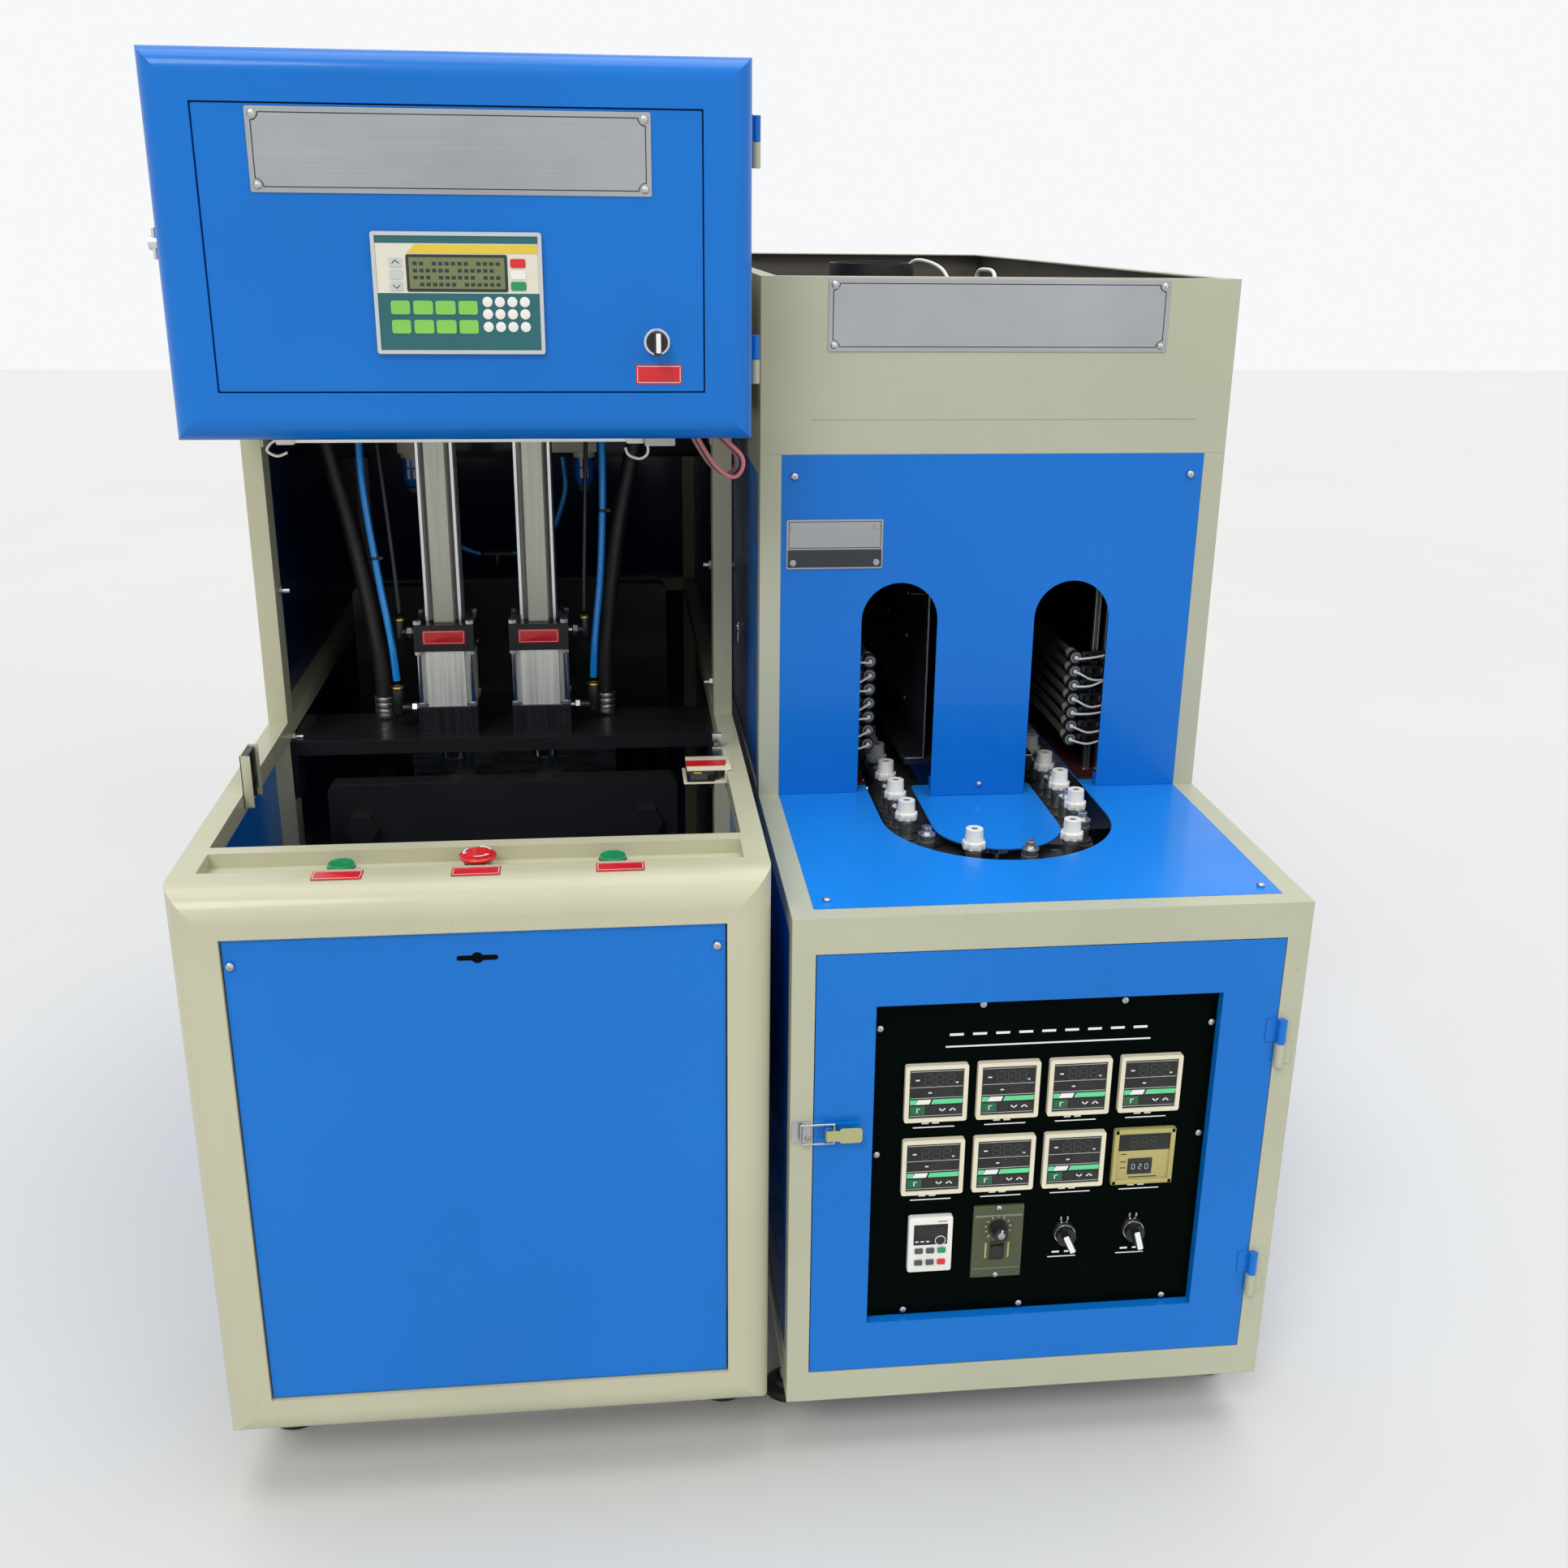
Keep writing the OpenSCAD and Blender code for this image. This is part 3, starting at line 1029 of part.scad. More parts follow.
// Oven: two lamp banks and the reflector box between the runs
function bank_xs() = [track_x - lamp_offset, track_x + lamp_offset];
module lamp_tubes() color([0.55, 0.55, 0.55]) {
    for (x = bank_xs(), i = [0 : lamp_count - 1]) {
        z = lamp_z0 + i * lamp_pitch;
        rod_y(x, z, lamp_y0 + 5, lamp_y0 + lamp_l - 5, 10);
        for (y = [lamp_y0, lamp_y0 + lamp_l - 30]) rod_y(x, z, y, y + 30, 14.4);
        rod_y(x, z, lamp_y0 - 4, lamp_y0 + eps, 6);
    }
}
module lamp_holders() color([0.18, 0.18, 0.19]) {
    for (s = [-1, 1]) {
        x = track_x + s * lamp_offset;
        top = lamp_z0 + lamp_count * lamp_pitch + 120;
        for (y = [lamp_y0 + 8, lamp_y0 + lamp_l - 20]) {
            // slotted uprights
            for (u = [24, 40]) difference() {
                block(min(x + s * u, x + s * (u + 8)), max(x + s * u, x + s * (u + 8)), y, y + 12, deck_z, top);
                block(x + s * (u + 4) - 1.5, x + s * (u + 4) + 1.5, y - 1, y + 13, lamp_z0 + 150, top - 12);
            }
            // one forked clip for each lamp
            for (i = [0 : lamp_count - 1]) {
                z = lamp_z0 + i * lamp_pitch;
                difference() {
                    block(min(x, x + s * 48), max(x, x + s * 48), y + 0.5, y + 11.5, z - 8.4, z + 8.4);
                    rod_y(x, z, y - 1, y + 13, 14.5);
                    block(x + s * 12 - 4, x + s * 12 + 4, y - 1, y + 13, z - 3, z + 3);
                }
                if (i % 2 == 1) rod_y(x + s * 36, z, y - 7, y + 1, 9);
            }
        }
        // polished reflector behind the bank
        block(min(x + s * 62, x + s * 64), max(x + s * 62, x + s * 64), lamp_y0, lamp_y0 + lamp_l, deck_z, top);
        for (y = [lamp_y0 + 8, lamp_y0 + lamp_l - 20])
            block(min(x + s * 47, x + s * 62), max(x + s * 47, x + s * 62) + 0, y + 1, y + 11, top - 30, top - 20);
    }
}
rear_support_y = turn_y + run_l - 122.2;      // ahead of the rear shaft bearer
module reflector_box() color(black) {
    half = 63;
    wall_z1 = tray_z + 225;
    y0 = oven_y + 55;
    y1 = oven_y + 55 + lamp_l;
    for (s = [-1, 1]) along_y(y0, y1) {
        // tray: upright wall with outward folded edges
        u0 = track_x + s * half;
        area(min(u0, u0 - s * 2), max(u0, u0 - s * 2), tray_z, wall_z1);
        area(min(u0 - s * 2, u0 + s * 24), max(u0 - s * 2, u0 + s * 24), tray_z, tray_z + 2);
        area(min(u0 - s * 2, u0 + s * 24), max(u0 - s * 2, u0 + s * 24), wall_z1 - 2, wall_z1);
    }
    // support plate under the trays, standing on the tongue's bearer
    block(track_x - half - 24, track_x + half + 24, y0, y1, tray_z - 2 - 6, tray_z + eps);
    for (y = [tongue_y1 + 4, rear_support_y]) block(track_x - 22, track_x + 22, y, y + 20, chain_z - 40, tray_z - 8 + eps);
    block(track_x - 22, track_x + 22, oven_y + 4, tongue_y1 + 5, tongue_z + 0.2, tray_z - 8 + eps);
    for (y = [tongue_y1 + 4, rear_support_y])
        block(heater_x0 + side_tube, heater_x1 - side_tube, y, y + 20, chain_z - 60, chain_z - 40 + eps);
}

// Plates and the door's keeper
module riveted_plate(x0, x1, z0, z1, y) {
    along_y(y - 1.2, y) round_area(x0, x1, z0, z1, 2);
    for (x = [x0 + 8, x1 - 8], z = [z0 + 8, z1 - 8]) rod_y(x, z, y - 2.6, y - 1.2 + eps, 8);
}
module name_plates() color(chrome) {
    riveted_plate(heater_x0 + 80, heater_x0 + 493, foot_h + 1187, foot_h + 1270, oven_y);
    riveted_plate(heater_x0 + 33, heater_x0 + 153, foot_h + 926, foot_h + 987, oven_y);
}
latch_z = door_z0 + door_h - 217;
hook_x = heater_x0 + 13;
module latch_keeper() color(chrome) {
    y = heater_y0;
    along_y(y - 1.5, y) round_area(hook_x - 11, hook_x + 11, latch_z - 13, latch_z + 13, 3);
    block(hook_x, hook_x + 2, y - 10.5, y - 1.5 + eps, latch_z - 9, latch_z + 9);
    for (z = [latch_z - 8, latch_z + 8]) rod_y(hook_x + 7, z, y - 3, y - 1.5 + eps, 5);
}

// Heater door with the instruments
module heater_door() color(blue) {
    x0 = door_x0;
    x1 = door_x1;
    z1 = door_z0 + door_h - 1;
    z0 = door_z0 + 1;
    along_y(heater_y0, heater_y0 + sheet) difference() {
        area(x0, x1, z0, z1);
        area(field_x0, field_x1, field_z0, field_z1);
    }
    along_y(heater_y0 + sheet - eps, heater_y0 + door_t) frame_ring(x0, x1, z0, z1, sheet);
    along_y(heater_y0 + sheet - eps, meter_y)
        frame_ring(field_x0 - sheet, field_x1 + sheet, field_z0 - sheet, field_z1 + sheet, sheet);
    for (z = hinge_zs()) {
        zc = z + door_hinge_h / 2 + 0.2;
        lift_hinge(door_hinge_x, door_hinge_y, z, door_hinge_h, false);
        block(x1 - 12, door_hinge_x, heater_y0 - 1.5, heater_y0 - 0.3, zc, z + door_hinge_h - 0.4);
        block(x1 - 12, x1 - 1, heater_y0 - 0.3 - eps, heater_y0 + eps, zc, z + door_hinge_h - 0.4);
        block(door_hinge_x - 5, door_hinge_x - 3.4, door_hinge_y, heater_y0 - 1, zc, z + door_hinge_h - 0.4);
    }
    // base plate of the toggle latch, with its two ears
    y = heater_y0;
    along_y(y - 1.5, y + eps) round_area(lever_x - 8, lever_x + 38, latch_z - 9, latch_z + 9, 3);
    for (s = [-1, 1]) along_z(latch_z + s * 7.9 - 0.9, latch_z + s * 7.9 + 0.9) difference() {
        union() {
            area(lever_x - 4, lever_x + 4, lever_y, y - 1);
            translate([lever_x, lever_y]) circle(4);
        }
        translate([lever_x, lever_y]) circle(d = 3);
    }
}
module instrument_panel() color(black) {
    lip = 12;
    along_y(meter_y + face_gap, meter_y + 2.3) difference() {
        area(field_x0 - lip, field_x1 + lip, field_z0 - lip, field_z1 + lip);
        for (m = meter_spots()) area(m[0] - meter_cut, m[0] + meter_cut, m[1] - meter_cut, m[1] + meter_cut);
        for (x = selector_xs()) translate([x, selector_z]) circle(d = 22.4);
        area(speed_x - 20, speed_x + 20, speed_z - 34, speed_z + 34);
        area(drive_x - 20, drive_x + 20, drive_z - 26, drive_z + 26);
    }
    w = field_x1 - field_x0;
    for (p = [[6.5, 383], [7, 222], [45, 8], [185, 7.5], [361, 7], [386, 230], [387, 374], [284, 406], [122, 408]])
        rod_y(field_x0 + p[0] * w / 393, field_z0 + p[1], meter_y - 2.4, meter_y + 1, 8);
}
meter_cut = meter_size / 2 - 2;
meter_step = 82.8;
row_z = [field_z0 + 300, field_z0 + 204];
function meter_spots() = [for (r = [0, 1], c = [0 : 3])
    [field_x0 + 72.5 + c * meter_step, row_z[r]]];
module panel_meters() color([0.85, 0.83, 0.74]) {
    y = meter_y + face_gap;
    for (m = meter_spots()) {
        half = meter_size / 2;
        along_y(y - 7, y) difference() {
            round_area(m[0] - half, m[0] + half, m[1] - half, m[1] + half, 3);
            area(m[0] - half + 5, m[0] + half - 5, m[1] - half + 5, m[1] + half - 5);
        }
        block(m[0] - half + 5, m[0] + half - 5, y - 5, y + eps, m[1] - half + 5, m[1] + half - 5);
        block(m[0] - meter_cut + 0.3, m[0] + meter_cut - 0.3, y, y + 62,
            m[1] - meter_cut + 0.3, m[1] + meter_cut - 0.3);
    }
}
drive_x = field_x0 + 73;
drive_z = field_z0 + 101;
speed_x = field_x0 + 154;
speed_z = field_z0 + 97;
selector_z = field_z0 + 104;
function selector_xs() = [field_x0 + 234, field_x0 + 317];
speed_knob_z = speed_z + 19;
rocker_z = speed_z - 12;
module speed_controller() color([0.30, 0.31, 0.24]) {
    y = meter_y + face_gap;
    // motor speed controller
    difference() {
        along_y(y - 4, y) area(speed_x - 30, speed_x + 30, speed_z - 50, speed_z + 50);
        rod_y(speed_x, speed_knob_z, y - 5, y + 5, 8 + 2 * run_gap);
        block(speed_x - 7, speed_x + 7, y - 5, y + 1, rocker_z - 10.5, rocker_z + 10.5);
        rod_x(y + 1, rocker_z, speed_x - 8, speed_x + 8, 3 + 2 * run_gap);
    }
    difference() {
        block(speed_x - 19.5, speed_x + 19.5, y - eps, y + 70, speed_z - 33.5, speed_z + 33.5);
        rod_y(speed_x, speed_knob_z, y - 1, y + 12, 8 + 2 * run_gap);
        block(speed_x - 7, speed_x + 7, y - 1, y + 14, rocker_z - 10.5, rocker_z + 10.5);
        rod_x(y + 1, rocker_z, speed_x - 8, speed_x + 8, 3 + 2 * run_gap);
    }
    // drive keypad
    along_y(y - 9, y) round_area(drive_x - 26, drive_x + 26, drive_z - 37, drive_z + 37, 4);
    block(drive_x - 19.5, drive_x + 19.5, y - eps, y + 30, drive_z - 25.5, drive_z + 25.5);
    for (c = [-1, 0, 1], r = [0, 1]) along_y(y - 11, y - 9 + eps)
        round_area(drive_x + c * 13.5 - 4.8, drive_x + c * 13.5 + 4.8, drive_z - 7 - r * 16 - 3.4, drive_z - 7 - r * 16 + 3.4, 1.5);
    // bezels of the two selector switches
    for (x = selector_xs()) difference() {
        union() {
            rod_y(x, selector_z, y - 8, y, 29);
            rod_y(x, selector_z, y - eps, y + 48, 22.2);
        }
        rod_y(x, selector_z, y - 9, y + 20, 17 + 2 * run_gap);
    }
}
module selector_knob(x, z, face_y, turn) {   // black knob with a handle bar, 17 mm stem
    rod_y(x, z, face_y - 1, face_y + 18, 17);
    rod_y(x, z, face_y - 7, face_y - 1 + eps, 23);
    translate([x, 0, z]) rotate([0, turn, 0]) along_y(face_y - 20, face_y - 7 + eps) round_area(-4.5, 4.5, -13, 11.4, 3.5);
}
module motor_knob() color(black)
    selector_knob(selector_xs()[0], selector_z, meter_y + face_gap - 8, -25);
module fan_knob() color(black)
    selector_knob(selector_xs()[1], selector_z, meter_y + face_gap - 8, -15);
module speed_knob() color(black) {
    y = meter_y + face_gap - 4;
    rod_y(speed_x, speed_knob_z, y - 4 - eps, y + 15, 8);
    rod_y(speed_x, speed_knob_z, y - 6, y - 1, 22);
    rod_y(speed_x, speed_knob_z, y - 17, y - 6 + eps, 17);
}
module rocker_switch() color(black) {
    y = meter_y + face_gap - 4;
    rod_x(y + 5, rocker_z, speed_x - 7.7, speed_x + 7.7, 3);
    translate([speed_x, y + 5, rocker_z]) rotate([8, 0, 0]) difference() {
        along_y(-7, 5) area(-6.6, 6.6, -9, 9);
        translate([0, -27, 0]) rotate([0, 90, 0]) cylinder(r = 21.5, h = 20, center = true);
    }
}
// Toggle latch: the lever turns in the ears and carries a wire bail behind the keeper's lip
lever_x = door_x0 + 15;
lever_y = heater_y0 - 9;
bail_x = lever_x + 7;
bail_y = lever_y + 0.8;
bail_d = 2.4;
module latch_lever() color(chrome) {
    difference() {
        along_z(latch_z - 6.6, latch_z + 6.6) {
            translate([lever_x, lever_y]) circle(3.6);
            area(lever_x, lever_x + 9.4, lever_y - 5, lever_y + 3);
            area(lever_x - 2, lever_x + 36, lever_y - 5, lever_y - 3);
        }
        rod_z(bail_x, bail_y, latch_z - 8, latch_z + 8, bail_d + 2 * run_gap);
    }
    rod_z(lever_x, lever_y, latch_z - 9, latch_z + 9, 3 - 2 * run_gap);
    along_y(lever_y - 5, lever_y - 3) round_area(lever_x + 12, lever_x + 38, latch_z - 9.4, latch_z + 9.4, 4);
}
module latch_bail() color(chrome) {
    reach = hook_x - bail_d / 2 - face_gap;
    for (x = [reach, bail_x]) rod_z(x, bail_y, latch_z - 12.2, latch_z + 12.2, bail_d);
    for (s = [-1, 1]) rod_x(bail_y, latch_z + s * 12.2, reach, bail_x, bail_d);
    for (x = [reach, bail_x], s = [-1, 1]) translate([x, bail_y, latch_z + s * 12.2]) sphere(d = bail_d);
}

// Swinging cover of the control box
inset_x0 = blower_mid - inset_w / 2 - 0.7;
inset_x1 = inset_x0 + inset_w;
module cover_solid(dx) {
    intersection() {
        along_x(blower_x0 + dx, blower_x1 - dx)
            front_round(cover_y0 + dx, cover_y1 + 2 * dx, box_z0 + dx, box_z1 - dx, cover_r - dx);
        along_z(box_z0 + dx, box_z1 - dx)
            sides_round(blower_x0 + dx, blower_x1 - dx, cover_y0 + dx, cover_y1 + 2 * dx, cover_r - dx);
    }
}
module control_cover() color(blue) {
    difference() {
        cover_solid(0);
        cover_solid(sheet);
        block(inset_x0, inset_x1, cover_y0 - 1, cover_y0 + sheet + 1, inset_z0, inset_z0 + inset_h);
    }
    along_y(cover_y0, cover_y0 + 18) frame_ring(inset_x0 - sheet, inset_x1 + sheet,
        inset_z0 - sheet, inset_z0 + inset_h + sheet, sheet);
    // ledge behind the inset panel
    along_y(cover_y0 + 16.7, cover_y0 + 18) frame_ring(inset_x0 - 1, inset_x1 + 1, inset_z0 - 1, inset_z0 + inset_h + 1, 7);
    for (z = cover_hinge_z) {
        zc = z + cover_hinge_h / 2 + 0.2;
        z1 = z + cover_hinge_h - 0.4;
        lift_hinge(hinge_x, hinge_y, z, cover_hinge_h, false);
        block(blower_x1 - 0.5, blower_x1 + 1.5, hinge_y - 24, hinge_y, zc, z1);
        block(blower_x1 - 0.5, hinge_x - 3.4, hinge_y - 3, hinge_y - 1, zc, z1);
    }
}
panel_face_y = cover_y0 + 1.5;
operator_x0 = inset_x0 + 170;
operator_z0 = inset_z0 + 41;
operator_w = 176.5;
operator_h = 123.5;
light_knob_x = inset_x1 - 52;
light_knob_z = inset_z0 + 54;
module cover_panel() color(blue) {
    along_y(panel_face_y, panel_face_y + sheet) difference() {
        round_area(inset_x0 + panel_gap, inset_x1 - panel_gap,
            inset_z0 + panel_gap, inset_z0 + inset_h - panel_gap, 2);
        area(operator_x0 + 8, operator_x0 + operator_w - 8, operator_z0 + 8, operator_z0 + operator_h - 8);
        translate([light_knob_x, light_knob_z]) circle(d = 22.4);
    }
    along_y(panel_face_y + sheet - eps, panel_face_y + 15) frame_ring(inset_x0 + panel_gap, inset_x1 - panel_gap,
        inset_z0 + panel_gap, inset_z0 + inset_h - panel_gap, sheet);
}
module operator_panel() color([0.80, 0.81, 0.80]) {
    x0 = operator_x0;
    z0 = operator_z0;
    along_y(panel_face_y - 5, panel_face_y) difference() {
        round_area(x0, x0 + operator_w, z0, z0 + operator_h, 3);
        area(x0 + 4, x0 + operator_w - 4, z0 + 4, z0 + operator_h - 4);
    }
    along_y(panel_face_y - 3.5, panel_face_y) area(x0 + 4 - eps, x0 + operator_w - 4 + eps, z0 + 4 - eps, z0 + operator_h - 4 + eps);
    along_y(panel_face_y - eps, panel_face_y + 32) area(x0 + 8.5, x0 + operator_w - 8.5, z0 + 8.5, z0 + operator_h - 8.5);
}
module cover_name_plate() color(chrome)
    riveted_plate(blower_x0 + 105, blower_x0 + 514.5, inset_z0 + 201, inset_z0 + 283, panel_face_y);
module cover_fittings() color(chrome) {
    y = panel_face_y;
    difference() {
        union() {
            rod_y(light_knob_x, light_knob_z, y - 7, y + eps, 28);
            rod_y(light_knob_x, light_knob_z, y, y + 48, 22.2);
        }
        rod_y(light_knob_x, light_knob_z, y - 8, y + 20, 17 + 2 * run_gap);
    }
    // quarter-turn latch on the cover's left side
    rod_x(cover_y0 + 34, box_z0 + 202, blower_x0 - 10, blower_x0, 14);
    block(blower_x0 - 6, blower_x0 - 3, cover_y0 + 29, cover_y0 + 39, box_z0 + 186, box_z0 + 218);
}
module light_knob() color(black) {
    selector_knob(light_knob_x, light_knob_z, panel_face_y - 7, 0);
}

blower_frame();
blower_panels();
front_panel();
levelling_feet();
control_box();
control_gear();
work_light();
guard_brackets();
button_bezels();
cylinder_bridge();
stretch_cylinders();
clamp_frame();
clamp_cylinder();
front_mould();
blow_hoses();
air_hoses();
air_fittings();
wiring_loom();
heater_frame();
heater_panels();
oven_front();
deck_plate();
deck_tongue();
exhaust_hood();
fan_housing();
conveyor_chain();
chain_sprockets();
spindles();
preform_caps();
lamp_tubes();
lamp_holders();
reflector_box();
name_plates();
latch_keeper();
control_cover();
cover_panel();
operator_panel();
cover_name_plate();
cover_fittings();
light_knob();
start_button_left();
start_button_right();
emergency_stop();
moving_platen();
rear_mould();
nozzle_left();
nozzle_right();
stretch_rod_left();
stretch_rod_right();
fan_rotor();
heater_door();
instrument_panel();
panel_meters();
speed_controller();
motor_knob();
fan_knob();
speed_knob();
rocker_switch();
latch_lever();
latch_bail();
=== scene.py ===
import math

import bmesh
import bpy
from mathutils import Matrix, Vector


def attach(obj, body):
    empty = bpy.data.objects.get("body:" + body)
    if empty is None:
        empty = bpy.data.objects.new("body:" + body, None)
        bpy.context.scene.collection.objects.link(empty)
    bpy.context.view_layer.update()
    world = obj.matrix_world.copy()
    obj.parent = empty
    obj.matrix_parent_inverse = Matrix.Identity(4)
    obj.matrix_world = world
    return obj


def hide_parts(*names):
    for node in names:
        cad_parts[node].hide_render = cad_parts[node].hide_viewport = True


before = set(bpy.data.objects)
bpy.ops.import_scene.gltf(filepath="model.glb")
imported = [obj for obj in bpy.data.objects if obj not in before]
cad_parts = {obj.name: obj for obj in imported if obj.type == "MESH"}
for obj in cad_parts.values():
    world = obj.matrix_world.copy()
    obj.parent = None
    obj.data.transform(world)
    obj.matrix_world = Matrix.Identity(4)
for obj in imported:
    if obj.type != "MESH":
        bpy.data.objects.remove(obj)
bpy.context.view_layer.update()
print("frame loaded:", len(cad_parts), "nodes")

# All lengths below are in millimetres in the machine's own frame: x to the right,
# y to the back, z up from the floor.
axisVectors = {"x": (1, 0, 0), "y": (0, 1, 0), "z": (0, 0, 1), "-x": (-1, 0, 0), "-y": (0, -1, 0), "-z": (0, 0, -1)}


def srgb(red, green, blue):
    def linear(value):
        value /= 255
        return value / 12.92 if value <= 0.04045 else ((value + 0.055) / 1.055) ** 2.4
    return (linear(red), linear(green), linear(blue), 1)


def shade(colour, factor):
    return tuple(min(1, part * factor) for part in colour[:3]) + (1,)


# Shapes: each function returns a small bmesh that finishPiece joins with the others
def facing(direction):
    return Vector((0, 0, 1)).rotation_difference(direction).to_matrix().to_4x4()


def putAt(bm, centre, axis):
    # moves a shape made at the origin to its centre and turns its z axis to the given one
    return placed(bm, Matrix.Translation(centre) @ facing(Vector(axisVectors[axis])))


def placed(bm, matrix):
    bmesh.ops.transform(bm, matrix=matrix, verts=bm.verts)
    return bm


def softened(bm, edges, offset, segments):
    bmesh.ops.bevel(bm, geom=edges, offset=offset, segments=segments, affect="EDGES", profile=0.5, material=-1)


def shift(x, y, z):
    return Matrix.Translation((x, y, z))


def spun(degrees, axis):
    return Matrix.Rotation(math.radians(degrees), 4, axis)


def slab(x0, x1, y0, y1, z0, z1, soft=0.0, corner=0.0, along="y", steps=2):
    bm = bmesh.new()
    size = (x1 - x0, y1 - y0, z1 - z0)
    middle = shift((x0 + x1) / 2, (y0 + y1) / 2, (z0 + z1) / 2)
    bmesh.ops.create_cube(bm, size=1, matrix=middle @ Matrix.Diagonal((*size, 1)))
    if corner:  # round the four edges that run along one axis
        index = "xyz".index(along)
        edges = [e for e in bm.edges if abs((e.verts[0].co - e.verts[1].co).normalized()[index]) > 0.99]
        softened(bm, edges, corner, 4)
    if soft:
        softened(bm, [e for e in bm.edges if e.calc_face_angle(0) > 0.9], soft, steps)
    return bm


def rod(axis, u, v, a0, a1, diameter, sides=24, soft=0.0, endDiameter=None):
    bm = bmesh.new()
    top = diameter if endDiameter is None else endDiameter
    bmesh.ops.create_cone(bm, cap_ends=True, segments=sides, radius1=diameter / 2, radius2=top / 2, depth=a1 - a0)
    if soft:
        softened(bm, [e for e in bm.edges if e.calc_face_angle(0) > 0.9], soft, 2)
    centre = {"x": ((a0 + a1) / 2, u, v), "y": (u, (a0 + a1) / 2, v), "z": (u, v, (a0 + a1) / 2)}[axis]
    return putAt(bm, centre, axis)


def turned(profile, centre, axis="z", sides=24):
    # profile: (radius, height) pairs; it is closed when its first and last points agree
    bm = bmesh.new()
    closed = profile[0] == profile[-1]
    points = profile[:-1] if closed else profile
    verts = [bm.verts.new((radius, 0, height)) for radius, height in points]
    edges = [bm.edges.new(pair) for pair in zip(verts, verts[1:])]
    if closed:
        edges.append(bm.edges.new((verts[-1], verts[0])))
    bmesh.ops.spin(bm, geom=verts + edges, cent=(0, 0, 0), axis=(0, 0, 1), angle=2 * math.pi, steps=sides,
                   use_merge=True)
    bmesh.ops.remove_doubles(bm, verts=bm.verts, dist=0.001)
    bmesh.ops.holes_fill(bm, edges=[e for e in bm.edges if e.is_boundary], sides=0)
    bmesh.ops.recalc_face_normals(bm, faces=bm.faces)
    return putAt(bm, centre, axis)


def ring(inner, outer, height, centre, axis="z", sides=24):
    return turned([(inner, 0), (outer, 0), (outer, height), (inner, height), (inner, 0)], centre, axis, sides)


def bentStrip(inner, outer, degrees, thickness):
    # a flat strip that follows an arc round the origin
    bm = bmesh.new()
    verts = [bm.verts.new((radius, 0, 0)) for radius in (inner, outer)]
    edge = bm.edges.new(verts)
    bmesh.ops.spin(bm, geom=verts + [edge], cent=(0, 0, 0), axis=(0, 0, 1), angle=math.radians(degrees), steps=8)
    bmesh.ops.solidify(bm, geom=bm.faces, thickness=thickness)
    return bm


def hexNut(centre, axis, width, height, bore=0.0):
    bm = bmesh.new()
    bmesh.ops.create_cone(bm, cap_ends=True, segments=6, radius1=width / 2, radius2=width / 2, depth=height)
    rims = [e for e in bm.edges if abs(e.verts[0].co.z - e.verts[1].co.z) < 0.01]
    softened(bm, rims, height * 0.12, 1)
    if bore:
        for side in (1, -1):
            cap = max(bm.faces, key=lambda f: f.calc_center_median().z * side)
            bmesh.ops.inset_region(bm, faces=[cap], thickness=width / 2 - bore / 2 - width * 0.06)
            bmesh.ops.translate(bm, verts=cap.verts, vec=(0, 0, -side * height * 0.3))
    return putAt(placed(bm, shift(0, 0, height / 2)), centre, axis)


def socketScrew(centre, axis, diameter, height):
    # cylinder head with a hexagon socket; centre is where the head sits
    bm = bmesh.new()
    bmesh.ops.create_cone(bm, cap_ends=True, segments=18, radius1=diameter / 2, radius2=diameter / 2, depth=height)
    rims = [e for e in bm.edges if e.calc_face_angle(0) > 0.9 and e.verts[0].co.z > 0 and e.verts[1].co.z > 0]
    softened(bm, rims, diameter * 0.06, 2)
    cap = max(bm.faces, key=lambda f: f.calc_center_median().z)
    bmesh.ops.inset_region(bm, faces=[cap], thickness=diameter * 0.17)
    bmesh.ops.translate(bm, verts=cap.verts, vec=(0, 0, -height * 0.55))
    return putAt(placed(bm, shift(0, 0, height / 2)), centre, axis)


def panHead(centre, axis, diameter, height, turn=0.3):
    # domed head with a cross recess
    r = diameter / 2
    bm = turned([(0, height), (r * 0.45, height * 0.95), (r * 0.8, height * 0.72), (r * 0.97, height * 0.35),
                 (r, 0), (0, 0)], (0, 0, 0), sides=20)
    for angle in (turn, turn + math.pi / 2):
        cutter = slab(-r * 0.58, r * 0.58, -r * 0.11, r * 0.11, height * 0.86, height * 1.03)
        placed(cutter, Matrix.Rotation(angle, 4, "Z"))
        append(bm, cutter)
    return putAt(bm, centre, axis)


def append(bm, other):
    scratch = bpy.data.meshes.new("scratch")
    other.to_mesh(scratch)
    other.free()
    bm.from_mesh(scratch)
    bpy.data.meshes.remove(scratch)
    return bm


def settle(name, data, finish, body, hides=()):
    # data is in metres, in the frame; the piece rides on its body
    data.materials.append(finishes[finish])
    piece = bpy.data.objects.new(name, data)
    bpy.context.scene.collection.objects.link(piece)
    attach(piece, body)
    if hides:
        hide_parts(*hides)
    return piece


def finishPiece(name, parts, finish, body="root", hides=()):
    whole = bmesh.new()
    for part in parts:
        append(whole, part)
    bmesh.ops.scale(whole, vec=(0.001, 0.001, 0.001), verts=whole.verts)
    mesh = bpy.data.meshes.new(name)
    whole.to_mesh(mesh)
    whole.free()
    for face in mesh.polygons:
        face.use_smooth = True
    mesh.set_sharp_from_angle(angle=math.radians(35))
    return settle(name, mesh, finish, body, hides)


